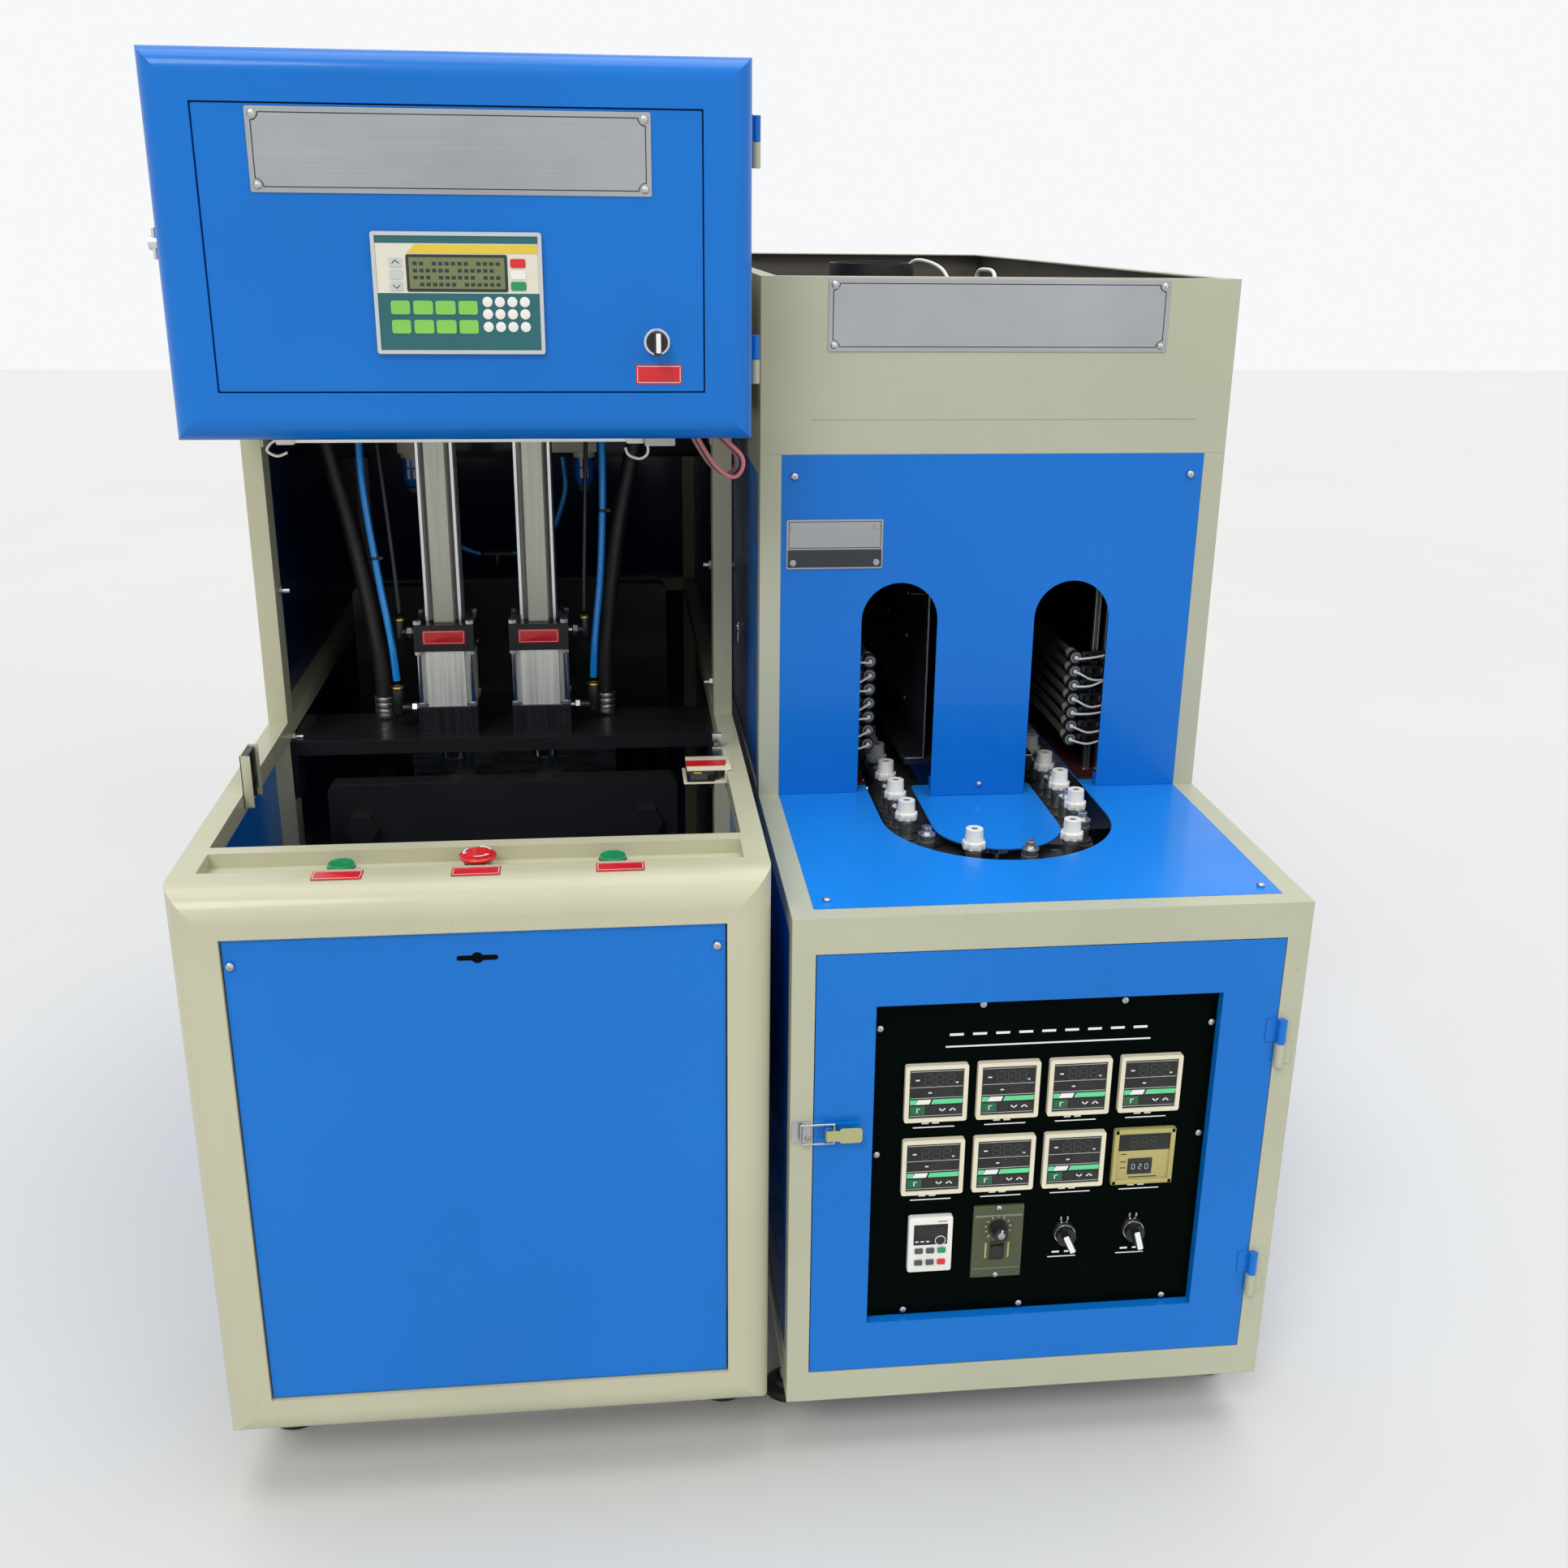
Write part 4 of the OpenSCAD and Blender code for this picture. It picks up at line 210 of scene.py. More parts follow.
def smoothRoute(points, steps=6):
    # the same Catmull-Rom curve as the frame's hoses follow
    route = []
    for i in range(len(points) - 1):
        a, b, c, d = (Vector(points[max(0, min(len(points) - 1, i + k))]) for k in (-1, 0, 1, 2))
        for k in range(steps):
            t = k / steps
            square, cube = 2 * a - 5 * b + 4 * c - d, 3 * b - a - 3 * c + d
            route.append(0.5 * (2 * b + (c - a) * t + square * t * t + cube * t ** 3))
    route.append(Vector(points[-1]))
    return route


def tubePiece(name, points, diameter, finish, steps=6, rounding=3):
    curve = bpy.data.curves.new(name, "CURVE")
    curve.dimensions = "3D"
    curve.bevel_depth = diameter / 2000
    curve.bevel_resolution = rounding
    curve.use_fill_caps = True
    spline = curve.splines.new("POLY")
    route = smoothRoute(points, steps)
    spline.points.add(len(route) - 1)
    for point, place in zip(spline.points, route):
        point.co = (*(place * 0.001), 1)
    return settle(name, curve, finish, "root")


# Materials
class Graph:
    def __init__(self):
        self.material = bpy.data.materials.new("finish")
        self.material.use_nodes = True
        self.nodes = self.material.node_tree.nodes
        self.links = self.material.node_tree.links
        self.surface = self.nodes["Principled BSDF"]
        self.place = self.add("ShaderNodeTexCoord").outputs["Object"]

    def add(self, kind, **values):
        node = self.nodes.new(kind)
        for key, value in values.items():
            setattr(node, key, value)
        return node

    def join(self, source, target):
        self.links.new(source, target)

    def feed(self, name, source):
        self.join(source, self.surface.inputs[name])

    def noise(self, scale, detail=3, rough=0.55, stretch=None):
        node = self.add("ShaderNodeTexNoise")
        node.inputs["Scale"].default_value = scale
        node.inputs["Detail"].default_value = detail
        node.inputs["Roughness"].default_value = rough
        source = self.place
        if stretch:
            mapping = self.add("ShaderNodeMapping")
            mapping.inputs["Scale"].default_value = stretch
            self.join(source, mapping.inputs["Vector"])
            source = mapping.outputs["Vector"]
        self.join(source, node.inputs["Vector"])
        return node.outputs["Fac"]

    def spread(self, source, low, high, newLow=0.0, newHigh=1.0):
        node = self.add("ShaderNodeMapRange")
        for key, value in zip(("From Min", "From Max", "To Min", "To Max"), (low, high, newLow, newHigh)):
            node.inputs[key].default_value = value
        self.join(source, node.inputs["Value"])
        return node.outputs["Result"]

    def blend(self, factor, first, second):
        node = self.add("ShaderNodeMix", data_type="RGBA")
        if isinstance(factor, float):
            node.inputs["Factor"].default_value = factor
        else:
            self.join(factor, node.inputs["Factor"])
        for socket, value in ((node.inputs["A"], first), (node.inputs["B"], second)):
            if isinstance(value, tuple):
                socket.default_value = value
            else:
                self.join(value, socket)
        return node.outputs["Result"]

    def near(self, source, middle, reach):
        # 1 where the source lies within reach of the middle, otherwise 0
        node = self.add("ShaderNodeMath", operation="COMPARE")
        self.join(source, node.inputs[0])
        node.inputs[1].default_value = middle
        node.inputs[2].default_value = reach
        return node.outputs["Value"]

    def combined(self, operation, first, second):
        node = self.add("ShaderNodeMath", operation=operation)
        self.join(first, node.inputs[0])
        self.join(second, node.inputs[1])
        return node.outputs["Value"]

    def bump(self, height, strength, distance, base=None):
        node = self.add("ShaderNodeBump")
        node.inputs["Strength"].default_value = strength
        node.inputs["Distance"].default_value = distance
        self.join(height, node.inputs["Height"])
        if base is not None:
            self.join(base, node.inputs["Normal"])
        return node.outputs["Normal"]

    def softEdges(self, radius):
        node = self.add("ShaderNodeBevel", samples=4)
        node.inputs["Radius"].default_value = radius
        return node.outputs["Normal"]

    def set(self, **values):
        names = {"metallic": "Metallic", "roughness": "Roughness", "ior": "IOR", "coat": "Coat Weight",
                 "coatRoughness": "Coat Roughness", "transmission": "Transmission Weight",
                 "emission": "Emission Strength", "specular": "Specular IOR Level", "alpha": "Alpha"}
        for key, value in values.items():
            self.surface.inputs[names[key]].default_value = value
        return self


def powderCoat(colour, roughness=0.38, grime=0.5, peel=0.10, lining=None):
    # lining: a dark colour painted on the sheets' inner faces as shade, and the box between the sheets' middle planes,
    # in metres
    g = Graph()
    cloud = g.spread(g.noise(2.3, 4), 0.35, 0.68)
    tone = g.blend(cloud, shade(colour, 0.94), shade(colour, 1.04))
    streaks = g.spread(g.noise(7, 5, 0.6, (1, 1, 0.16)), 0.56, 0.80, 0, 0.16 * grime)
    tone = g.blend(streaks, tone, shade(colour, 0.55))
    specks = g.spread(g.noise(160, 2), 0.70, 0.78, 0, 0.35 * grime)
    tone = g.blend(specks, tone, shade(colour, 0.42))
    # painted shade: inside the box the blue gives way to the dark lining colour
    if lining:
        inner, limits = lining
        parts = g.add("ShaderNodeSeparateXYZ")
        g.join(g.place, parts.inputs["Vector"])
        mask = None
        for axis, (low, high) in zip("XYZ", limits):
            inside = g.near(parts.outputs[axis], (low + high) / 2, (high - low) / 2)
            mask = g.combined("MINIMUM", mask, inside) if mask else inside
        tone = g.blend(mask, tone, inner)
    g.feed("Base Color", tone)
    g.feed("Roughness", g.spread(g.noise(11, 4), 0.3, 0.7, roughness - 0.05, roughness + 0.10))
    edges = g.softEdges(0.0014)
    g.feed("Normal", g.bump(g.noise(520, 2), peel, 0.0006, edges))
    return g.set(specular=0.16, coat=0.25, coatRoughness=0.1).material


def metal(colour, roughness=0.3, brush=None, grain=0.06, stain=0.3):
    # brush: how strongly the grain is drawn out along x, y and z
    g = Graph()
    cloud = g.spread(g.noise(5, 4), 0.35, 0.7)
    tone = g.blend(cloud, shade(colour, 0.88), shade(colour, 1.05))
    tone = g.blend(g.spread(g.noise(60, 4), 0.62, 0.8, 0, stain), tone, shade(colour, 0.45))
    g.feed("Base Color", tone)
    lines = g.noise(1, 2, 0.5, brush) if brush else g.noise(400, 3)
    g.feed("Roughness", g.spread(lines, 0.3, 0.7, roughness - 0.06, roughness + 0.10))
    g.feed("Normal", g.bump(lines, grain, 0.0003, g.softEdges(0.0007)))
    return g.set(metallic=1.0).material


def banded(low, high, split, dark, bands):
    # two tones below and above a height, with black anodised bands between pairs of heights, in metres; the darker
    # upper tone is painted shade from the box above, the paler lower tone partly the seal barrels' matte finish and
    # partly painted light
    g = Graph()
    parts = g.add("ShaderNodeSeparateXYZ")
    g.join(g.place, parts.inputs["Vector"])
    mask = None
    for bottom, top in bands:
        inside = g.near(parts.outputs["Z"], (bottom + top) / 2, (top - bottom) / 2)
        mask = g.combined("MAXIMUM", mask, inside) if mask else inside
    cloud = g.spread(g.noise(5, 4), 0.35, 0.7)
    # painted shade: above the split height the barrels take the darker tone
    bright = g.blend(g.spread(parts.outputs["Z"], split - 0.002, split + 0.002),
                     g.blend(cloud, shade(low, 0.95), low), g.blend(cloud, shade(high, 0.9), high))
    g.feed("Base Color", g.blend(mask, bright, dark))
    g.feed("Metallic", g.spread(mask, 0, 1, 0.7, 0))
    lines = g.noise(1, 2, 0.5, (300, 300, 6))
    g.feed("Roughness", g.spread(lines, 0.3, 0.7, 0.30, 0.46))
    g.feed("Normal", g.bump(lines, 0.05, 0.0003, g.softEdges(0.0007)))
    return g.material


def moulded(colour, roughness=0.4, texture=0.05, mottled=0.08, **extra):
    g = Graph()
    cloud = g.spread(g.noise(14, 3), 0.35, 0.7)
    g.feed("Base Color", g.blend(cloud, shade(colour, 1 - mottled), shade(colour, 1 + mottled)))
    g.feed("Roughness", g.spread(g.noise(30, 3), 0.3, 0.7, roughness - 0.05, roughness + 0.08))
    g.feed("Normal", g.bump(g.noise(1100, 2), texture, 0.0002, g.softEdges(0.0005)))
    return g.set(**extra).material


def clearStuff(colour, roughness=0.05, transmission=0.9, ior=1.46):
    g = Graph()
    streak = g.spread(g.noise(40, 3), 0.4, 0.7)
    g.feed("Base Color", g.blend(streak, colour, shade(colour, 0.9)))
    g.feed("Roughness", g.spread(g.noise(90, 2), 0.3, 0.7, roughness, roughness + 0.06))
    return g.set(transmission=transmission, ior=ior).material


def glowing(colour, strength):
    g = Graph()
    g.feed("Base Color", g.blend(g.spread(g.noise(8, 2), 0.3, 0.7), colour, shade(colour, 0.96)))
    g.surface.inputs["Emission Color"].default_value = colour
    return g.set(emission=strength, roughness=0.4).material


blue = srgb(8, 112, 202)
beige = srgb(192, 190, 162)
greyGreen = srgb(183, 184, 160)
# painted shade: dark navy on the inner faces of the blower's side sheets, which carry the same blue paint as outside
sheetPaintedShade = (srgb(20, 40, 84), ((-0.608, 0.010), (-0.32, 0.588), (0, 1.571)))
blackBands = ((0.742, 0.7845), (0.8615, 0.8985), (1.2995, 1.33))
finishes = {
    "bluePaint": powderCoat(blue, 0.30, 0.45),
    # the blue paint made lighter for the face-up deck and tongue: painted light
    "deckBluePaintedLight": powderCoat(srgb(24, 128, 222), 0.34, 0.5),
    # the blower's blue sheets, with painted shade on their inner faces
    "blueSheetPaintedShadeInside": powderCoat(blue, 0.30, 0.45, lining=sheetPaintedShade),
    "beigePaint": powderCoat(beige, 0.32, 0.6),
    "greyGreenPaint": powderCoat(greyGreen, 0.42, 0.7),
    "blackPaint": powderCoat(srgb(30, 30, 32), 0.42, 0.5, 0.06),
    "panelBlack": moulded(srgb(2, 8, 6), 0.42, 0.04, 0.1, specular=0.02),
    "chainSteel": powderCoat(srgb(64, 64, 65), 0.42, 0.8, 0.06),
    "spindleSteel": metal(srgb(226, 226, 222), 0.34, None, 0.03, 0.2),
    "yellowZinc": metal(srgb(196, 194, 142), 0.30, None, 0.05, 0.3),
    # darker above 0.88 m as painted shade under the box, paler below partly as painted light
    "stretchMetal": banded(srgb(250, 250, 240), srgb(186, 185, 174), 0.88, srgb(20, 21, 24), blackBands),
    "aluminium": metal(srgb(186, 186, 182), 0.34, (30, 30, 900), 0.05, 0.15),
    "machined": metal(srgb(176, 178, 180), 0.28, (20, 900, 900), 0.05),
    "plate": metal(srgb(170, 172, 174), 0.36, (12, 1200, 1200), 0.05, 0.08),
    "chrome": metal(srgb(214, 215, 217), 0.13, None, 0.02, 0.12),
    "zinc": metal(srgb(186, 188, 188), 0.32, None, 0.06, 0.35),
    "brass": metal(srgb(198, 164, 88), 0.3, None, 0.05, 0.3),
    "mirror": metal(srgb(205, 196, 176), 0.16, (900, 20, 900), 0.03, 0.25),
    "blackPlastic": moulded(srgb(26, 26, 28), 0.38, 0.08),
    "glossBlack": moulded(srgb(12, 14, 14), 0.16, 0.01, 0.05),
    "whitePlastic": moulded(srgb(234, 233, 226), 0.36, 0.04, 0.03),
    "creamPlastic": moulded(srgb(228, 221, 196), 0.36, 0.05, 0.04),
    "greyPlastic": moulded(srgb(196, 199, 198), 0.42, 0.06, 0.04),
    "darkGrey": moulded(srgb(72, 76, 78), 0.45, 0.07),
    "greenPlastic": moulded(srgb(20, 140, 84), 0.25, 0.03, 0.06, coat=0.3),
    "redPlastic": moulded(srgb(214, 28, 34), 0.28, 0.03, 0.06, coat=0.3),
    "olivePlastic": moulded(srgb(70, 76, 50), 0.5, 0.08),
    "oliveLight": moulded(srgb(122, 128, 100), 0.5, 0.08),
    "limeFilm": moulded(srgb(158, 176, 98), 0.45, 0.03),
    "redLabel": moulded(srgb(206, 30, 42), 0.3, 0.02, 0.04),
    "whiteInk": moulded(srgb(238, 238, 234), 0.45, 0.02, 0.02),
    "darkInk": moulded(srgb(36, 40, 46), 0.45, 0.02, 0.05),
    "tealFilm": moulded(srgb(28, 96, 102), 0.4, 0.03, 0.05),
    "yellowFilm": moulded(srgb(226, 196, 62), 0.4, 0.03, 0.04),
    "creamFilm": moulded(srgb(222, 219, 200), 0.42, 0.03, 0.03),
    "displayOlive": moulded(srgb(112, 124, 78), 0.18, 0.01, 0.05),
    "bandGreen": moulded(srgb(98, 214, 148), 0.35, 0.02, 0.05),
    "deepGreen": moulded(srgb(22, 98, 62), 0.35, 0.02, 0.05),
    "goldFilm": moulded(srgb(178, 168, 104), 0.36, 0.03, 0.04),
    "paleGreen": moulded(srgb(130, 200, 84), 0.4, 0.03, 0.05),
    "dimDigit": moulded(srgb(58, 62, 56), 0.3, 0.01, 0.05),
    "blueHose": moulded(srgb(6, 150, 246), 0.22, 0.02, 0.06, coat=0.4),
    "blackRubber": moulded(srgb(28, 28, 29), 0.5, 0.16, 0.1),
    "pinkWire": moulded(srgb(206, 120, 124), 0.4, 0.03),
    "greyWire": moulded(srgb(150, 152, 154), 0.4, 0.03),
    "ceramic": moulded(srgb(172, 172, 166), 0.5, 0.06, 0.05),
    "boardBrown": moulded(srgb(58, 22, 24), 0.6, 0.1, 0.2, specular=0.2),
    # dark grey for the hood tray's inside: partly bare steel, partly painted shade
    "trayShadeSteel": powderCoat(srgb(92, 88, 82), 0.5, 0.8),
    "quartz": clearStuff((0.92, 0.93, 0.95, 1)),
    "blueBowl": moulded(srgb(16, 108, 220), 0.24, 0.03, 0.06, coat=0.4),
    "lampWhite": glowing(srgb(242, 242, 238), 0.12),
}
for name, material in finishes.items():
    material.name = name
# The record's material slots, each with the finishes that belong to it unless a piece says otherwise
print("finishes made:", len(finishes))

nodeFinishes = {
    "beigePaint": "blower_frame control_box",
    "blueSheetPaintedShadeInside": "blower_panels",
    "bluePaint": "front_panel heater_panels oven_front control_cover cover_panel heater_door",
    "greyPlastic": "control_gear operator_panel",
    "chrome": "button_bezels cover_fittings nozzle_left nozzle_right stretch_rod_left "
              "stretch_rod_right",
    "blackPaint": "cylinder_bridge clamp_frame reflector_box moving_platen",
    "stretchMetal": "stretch_cylinders",
    "aluminium": "clamp_cylinder",
    "machined": "front_mould chain_sprockets rear_mould",
    "greyGreenPaint": "heater_frame exhaust_hood",
    "deckBluePaintedLight": "deck_plate deck_tongue",
    "blackPlastic": "fan_housing light_knob fan_rotor motor_knob fan_knob speed_knob "
                    "rocker_switch",
    "chainSteel": "conveyor_chain",
    "spindleSteel": "spindles",
    "plate": "name_plates cover_name_plate",
    "zinc": "latch_keeper latch_bail",
    "greenPlastic": "start_button_left start_button_right",
    "redPlastic": "emergency_stop",
    "panelBlack": "instrument_panel",
    "creamPlastic": "panel_meters",
    "yellowZinc": "latch_lever",
    "whitePlastic": "preform_caps",
}
for finish, names in nodeFinishes.items():
    for name in names.split():
        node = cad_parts[name]
        if not node.material_slots:
            node.data.materials.append(finishes[finish])
        for materialSlot in node.material_slots:
            materialSlot.material = finishes[finish]
print("frame nodes dressed")

# Camera, where the photograph was taken from
view = {"at": (-0.1477, -2.4396, 1.4128), "yaw": 6.3008, "pitch": 19.386, "roll": -0.5955, "lens": 36.75}


def makeCamera():
    yaw, pitch, roll = (math.radians(view[key]) for key in ("yaw", "pitch", "roll"))
    forward = Vector((math.sin(yaw) * math.cos(pitch), math.cos(yaw) * math.cos(pitch), -math.sin(pitch)))
    right = Vector((math.cos(yaw), -math.sin(yaw), 0))
    down = forward.cross(right)
    turnedRight = math.cos(roll) * right + math.sin(roll) * down
    turnedDown = -math.sin(roll) * right + math.cos(roll) * down
    data = bpy.data.cameras.new("camera")
    data.lens = view["lens"]
    data.sensor_width = 36
    data.clip_start, data.clip_end = 0.05, 60
    camera = bpy.data.objects.new("camera", data)
    axes = Matrix((turnedRight, -turnedDown, -forward)).transposed().to_4x4()
    camera.matrix_world = Matrix.Translation(view["at"]) @ axes
    bpy.context.scene.collection.objects.link(camera)
    bpy.context.scene.camera = camera


makeCamera()

# Hoses, tubes and leads of the blowing unit, on the routes that their solids have in the frame
blowHose = {"diameter": 24,
            "left": [(-470, -222, 756), (-470, -222, 790), (-474, -220, 850), (-486, -214, 930),
                     (-503, -206, 1020), (-524, -196, 1110), (-541, -184, 1200), (-543, -160, 1300),
                     (-520, -110, 1390), (-489, -48, 1425)],
            "right": [(-162, -222, 756), (-162, -222, 790), (-159, -221, 850), (-150, -218, 930),
                      (-136, -212, 1020), (-115, -200, 1110), (-92, -186, 1200), (-84, -160, 1300),
                      (-95, -110, 1390), (-117, -48, 1425)]}
blueHose = {"diameter": 10,
            "left": [(-445, -275, 812), (-449, -274, 870), (-462, -262, 960), (-476, -244, 1080),
                     (-478, -214, 1200), (-474, -150, 1300), (-466, -43, 1343)],
            "right": [(-177, -275, 812), (-173, -274, 870), (-163, -264, 960), (-157, -246, 1080),
                      (-158, -216, 1200), (-164, -150, 1300), (-168, -43, 1343)]}
thinTube = {"diameter": 6,
            "left": [(-435, -275, 907), (-438, -273, 965), (-446, -258, 1060), (-455, -236, 1160),
                     (-461, -190, 1250), (-460, -120, 1310), (-456, -42, 1329)],
            "right": [(-187, -275, 907), (-185, -273, 965), (-181, -258, 1060), (-177, -236, 1160),
                      (-175, -190, 1250), (-178, -120, 1310), (-181, -42, 1329)]}
controlLead = {"diameter": 5, "colours": ("pinkWire", "blackRubber", "greyWire", "pinkWire"), "x": -44, "y": -556,
               "z": 1182, "route": ((0, 5), (0, -1), (0, -8), (20, -40), (40, -53), (51, -44), (50, -28), (30, -8),
                                    (30, -1), (30, 5))}


def makeHoses():
    kinds = (("blowHose_", blowHose, "blackRubber", "blow_hoses", 6),
             ("blueHose_", blueHose, "blueHose", "air_hoses", 4),
             ("thinTube_", thinTube, "blackPlastic", None, 4))
    for side in ("left", "right"):
        for kind, hose, finish, hides, rounding in kinds:
            piece = tubePiece(kind + side, hose[side], hose["diameter"], finish, rounding=rounding)
            if side == "left" and hides:
                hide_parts(hides)
    for i, colour in enumerate(controlLead["colours"]):
        x, y, z = controlLead["x"] - 2 * i, controlLead["y"] + 8 * i, controlLead["z"]
        route = [(x + u, y, z + w) for u, w in controlLead["route"]]
        piece = tubePiece("controlLead_%d" % i, route, controlLead["diameter"], colour)
        if i == 0:
            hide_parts("wiring_loom")


makeHoses()
print("hoses and leads made")

# Levelling feet: rubber plates on zinc-plated studs
foot = {"stud": 16, "nut": 27, "blower": [(-565, -760), (-33, -760), (-565, 578), (-33, 578)],
        "heater": [(50, -770), (598, -770), (50, 0), (598, 0), (50, 876), (598, 876)], "heights": (90, 80)}


def makeFeet():
    pads, studs = [], []
    for x, y in foot["blower"] + foot["heater"]:
        height = foot["heights"][0 if x < 0 else 1]
        pads.append(turned([(0, 0), (28, 0), (30, 2), (30, 9), (27, 12), (19, 14), (17, 20), (0, 20)], (x, y, 0),
                           sides=32))
        studs.append(rod("z", x, y, 19, height, foot["stud"] - 1.4, 16))
        for k in range(13):  # thread crests
            studs.append(turned([(7.2, 0), (8, 1), (7.2, 2), (7.2, 0)], (x, y, 22 + 3.2 * k), sides=16))
        studs.append(hexNut((x, y, height - 14), "z", foot["nut"], 10))
        studs.append(hexNut((x, y, 20), "z", 24, 6))
    finishPiece("footPads", pads, "blackRubber", hides=("levelling_feet",))
    finishPiece("footStuds", studs, "zinc")


makeFeet()
print("feet made")

# Front rail: gaskets, label plates and marks, screws of the blue panel
rail = {"topZ": 771, "floorZ": 754.4, "channelY": -829.7, "buttons": (-440.6, -297.6, -154.6),
        "labels": ((-463.5, -412), (-321.5, -271), (-172, -121.5)), "labelY": (-884, -861.5), "screwY": -907.9,
        "screws": ((-546.5, 688, 0.4), (-47.5, 692, 0.9))}


def outline(x0, x1, v0, v1, width, top, along="z", height=0.2):
    # a thin printed frame on a flat face: four strips
    strips = []
    for a0, a1, b0, b1 in ((x0, x1, v0, v0 + width), (x0, x1, v1 - width, v1), (x0, x0 + width, v0, v1),
                           (x1 - width, x1, v0, v1)):
        if along == "z":
            strips.append(slab(a0, a1, b0, b1, top, top + height))
        else:
            strips.append(slab(a0, a1, top - height, top, b0, b1))
    return strips


def makeFrontRail():
    gaskets, collars, labels, marks = [], [], [], []
    for x in rail["buttons"]:
        centre = (x, rail["channelY"], rail["floorZ"])
        gaskets.append(turned([(15.1, 0), (18, 0), (18, 1.2), (17, 2), (15.1, 2), (15.1, 0)], centre, sides=40))
        collars.append(turned([(14.2, 6), (15.3, 6), (15.6, 7.4), (15.2, 8.8), (14.3, 8.9), (14.2, 6)], centre,
                              sides=40))
    (y0, y1), z = rail["labelY"], rail["topZ"]
    for x0, x1 in rail["labels"]:
        labels.append(slab(x0, x1, y0, y1, z, z + 0.6, soft=0.15, corner=1.5, along="z"))
        marks += outline(x0 + 1.6, x1 - 1.6, y0 + 1.6, y1 - 1.6, 0.6, z + 0.6)
    finishPiece("buttonGaskets", gaskets, "blackRubber")
    finishPiece("buttonCollars", collars, "chrome")
    finishPiece("railLabels", labels, "redLabel")
    finishPiece("railLabelFrames", marks, "whiteInk")
    screws = [panHead((x, rail["screwY"], z), "-y", 9.5, 2.4, turn) for x, z, turn in rail["screws"]]
    finishPiece("panelScrews", screws, "zinc")


makeFrontRail()

# Emergency stop: grip ring and three white turning arrows on the head
stop = {"x": -297.6, "y": -829.7, "gripZ": 775, "topZ": 776}


def makeStopMarks():
    arrows = []
    for k in range(3):
        arc = bentStrip(13.4, 15.2, 52, 0.3)
        tip = bmesh.new()
        bmesh.ops.create_cone(tip, cap_ends=True, segments=3, radius1=3, radius2=3, depth=0.3)
        placed(tip, spun(56, "Z") @ shift(14.3, 0, 0) @ spun(90, "Z"))
        append(arc, tip)
        placed(arc, shift(stop["x"], stop["y"], stop["topZ"] + 0.1) @ spun(120 * k + 20, "Z"))
        arrows.append(arc)
    finishPiece("stopArrows", arrows, "whiteInk", "emergency_stop")
    grip = turned([(8.6, 0), (13.6, 0), (13.2, 0.7), (9, 0.7), (8.6, 0)], (stop["x"], stop["y"], stop["gripZ"]),
                  sides=36)
    finishPiece("stopCap", [grip], "redPlastic", "emergency_stop")


makeStopMarks()
print("front rail made")

# Light guard: painted channel with its receiver on the left rail, flat sensor on the right rail
guard = {"left": (-585, -614, 754, 818), "right": (-66, -13, -577, -519), "railZ": 756}


def makeGuards():
    x, y, z0, z1 = guard["left"]
    channel = [slab(x, x + 1.5, y, y + 48, z0, z1, soft=0.3), slab(x, x + 12, y, y + 1.5, z0, z1, soft=0.3),
               slab(x, x + 12, y + 46.5, y + 48, z0, z1, soft=0.3)]
    finishPiece("guardChannel", channel, "beigePaint", hides=("guard_brackets",))
    receiver = [slab(x + 1.6, x + 9, y + 4, y + 44, z0 + 11, z1 - 2, soft=0.8),
                rod("x", y + 24, z0 + 26, x + 9, x + 10.5, 14, 24, 0.4),
                slab(x + 9, x + 9.6, y + 10, y + 38, z0 + 36, z0 + 54, soft=0.2),
                rod("z", x + 5, y + 40, z0 + 2, z0 + 11, 5, 12)]
    finishPiece("guardReceiver", receiver, "blackPlastic")
    finishPiece("guardReceiverTop", [slab(x + 2, x + 8.6, y + 6, y + 42, z1 - 2.2, z1 - 1.2, soft=0.3)],
                "darkGrey")
    (x0, x1, y0, y1), z = guard["right"], guard["railZ"]
    plates = [slab(x0, x1, y0, y1, z, z + 2, soft=0.4),
              slab(x0 + 4, x1 + 6, y0 + 3, y1 - 3, z + 16, z + 18, soft=0.4),
              slab(x1 - 2, x1, y0, y1, z + 1, z + 17, soft=0.3),
              rod("z", x1 + 2.5, y0 + 14, z + 18, z + 20.5, 8, 16, 0.5)]
    finishPiece("guardPlates", plates, "creamPlastic")
    body = [slab(x0 + 4, x1 - 15, y0 + 2, y1 - 2, z + 2, z + 16, soft=1),
            slab(x1 - 15, x1 - 9, y0 + 8, y0 + 22, z + 4, z + 14, soft=0.8)]
    finishPiece("guardSensor", body, "blackPlastic")
    finishPiece("guardStripe", [slab(x0 + 4, x1 + 1, y0 + 16, y0 + 38, z + 18, z + 18.4)], "redLabel")
    finishPiece("guardRating", [slab(x0 + 8, x1 - 24, y0 + 1.4, y0 + 2, z + 5, z + 13)], "darkGrey")
    finishPiece("guardStatus", [slab(x0 + 12, x0 + 22, y0 + 1, y0 + 1.6, z + 13.4, z + 15)], "yellowFilm")


makeGuards()
print("light guard made")

# Stretch units: labels, tie-rod nuts, socket screws, scraper rings
stretch = {"xs": (-374, -248), "y": -275, "half": 39.5, "bridgeTop": 744, "lowerTop": 784, "middle": (862, 898),
           "top": 1300, "labels": ((-402, -346), (-275, -221))}


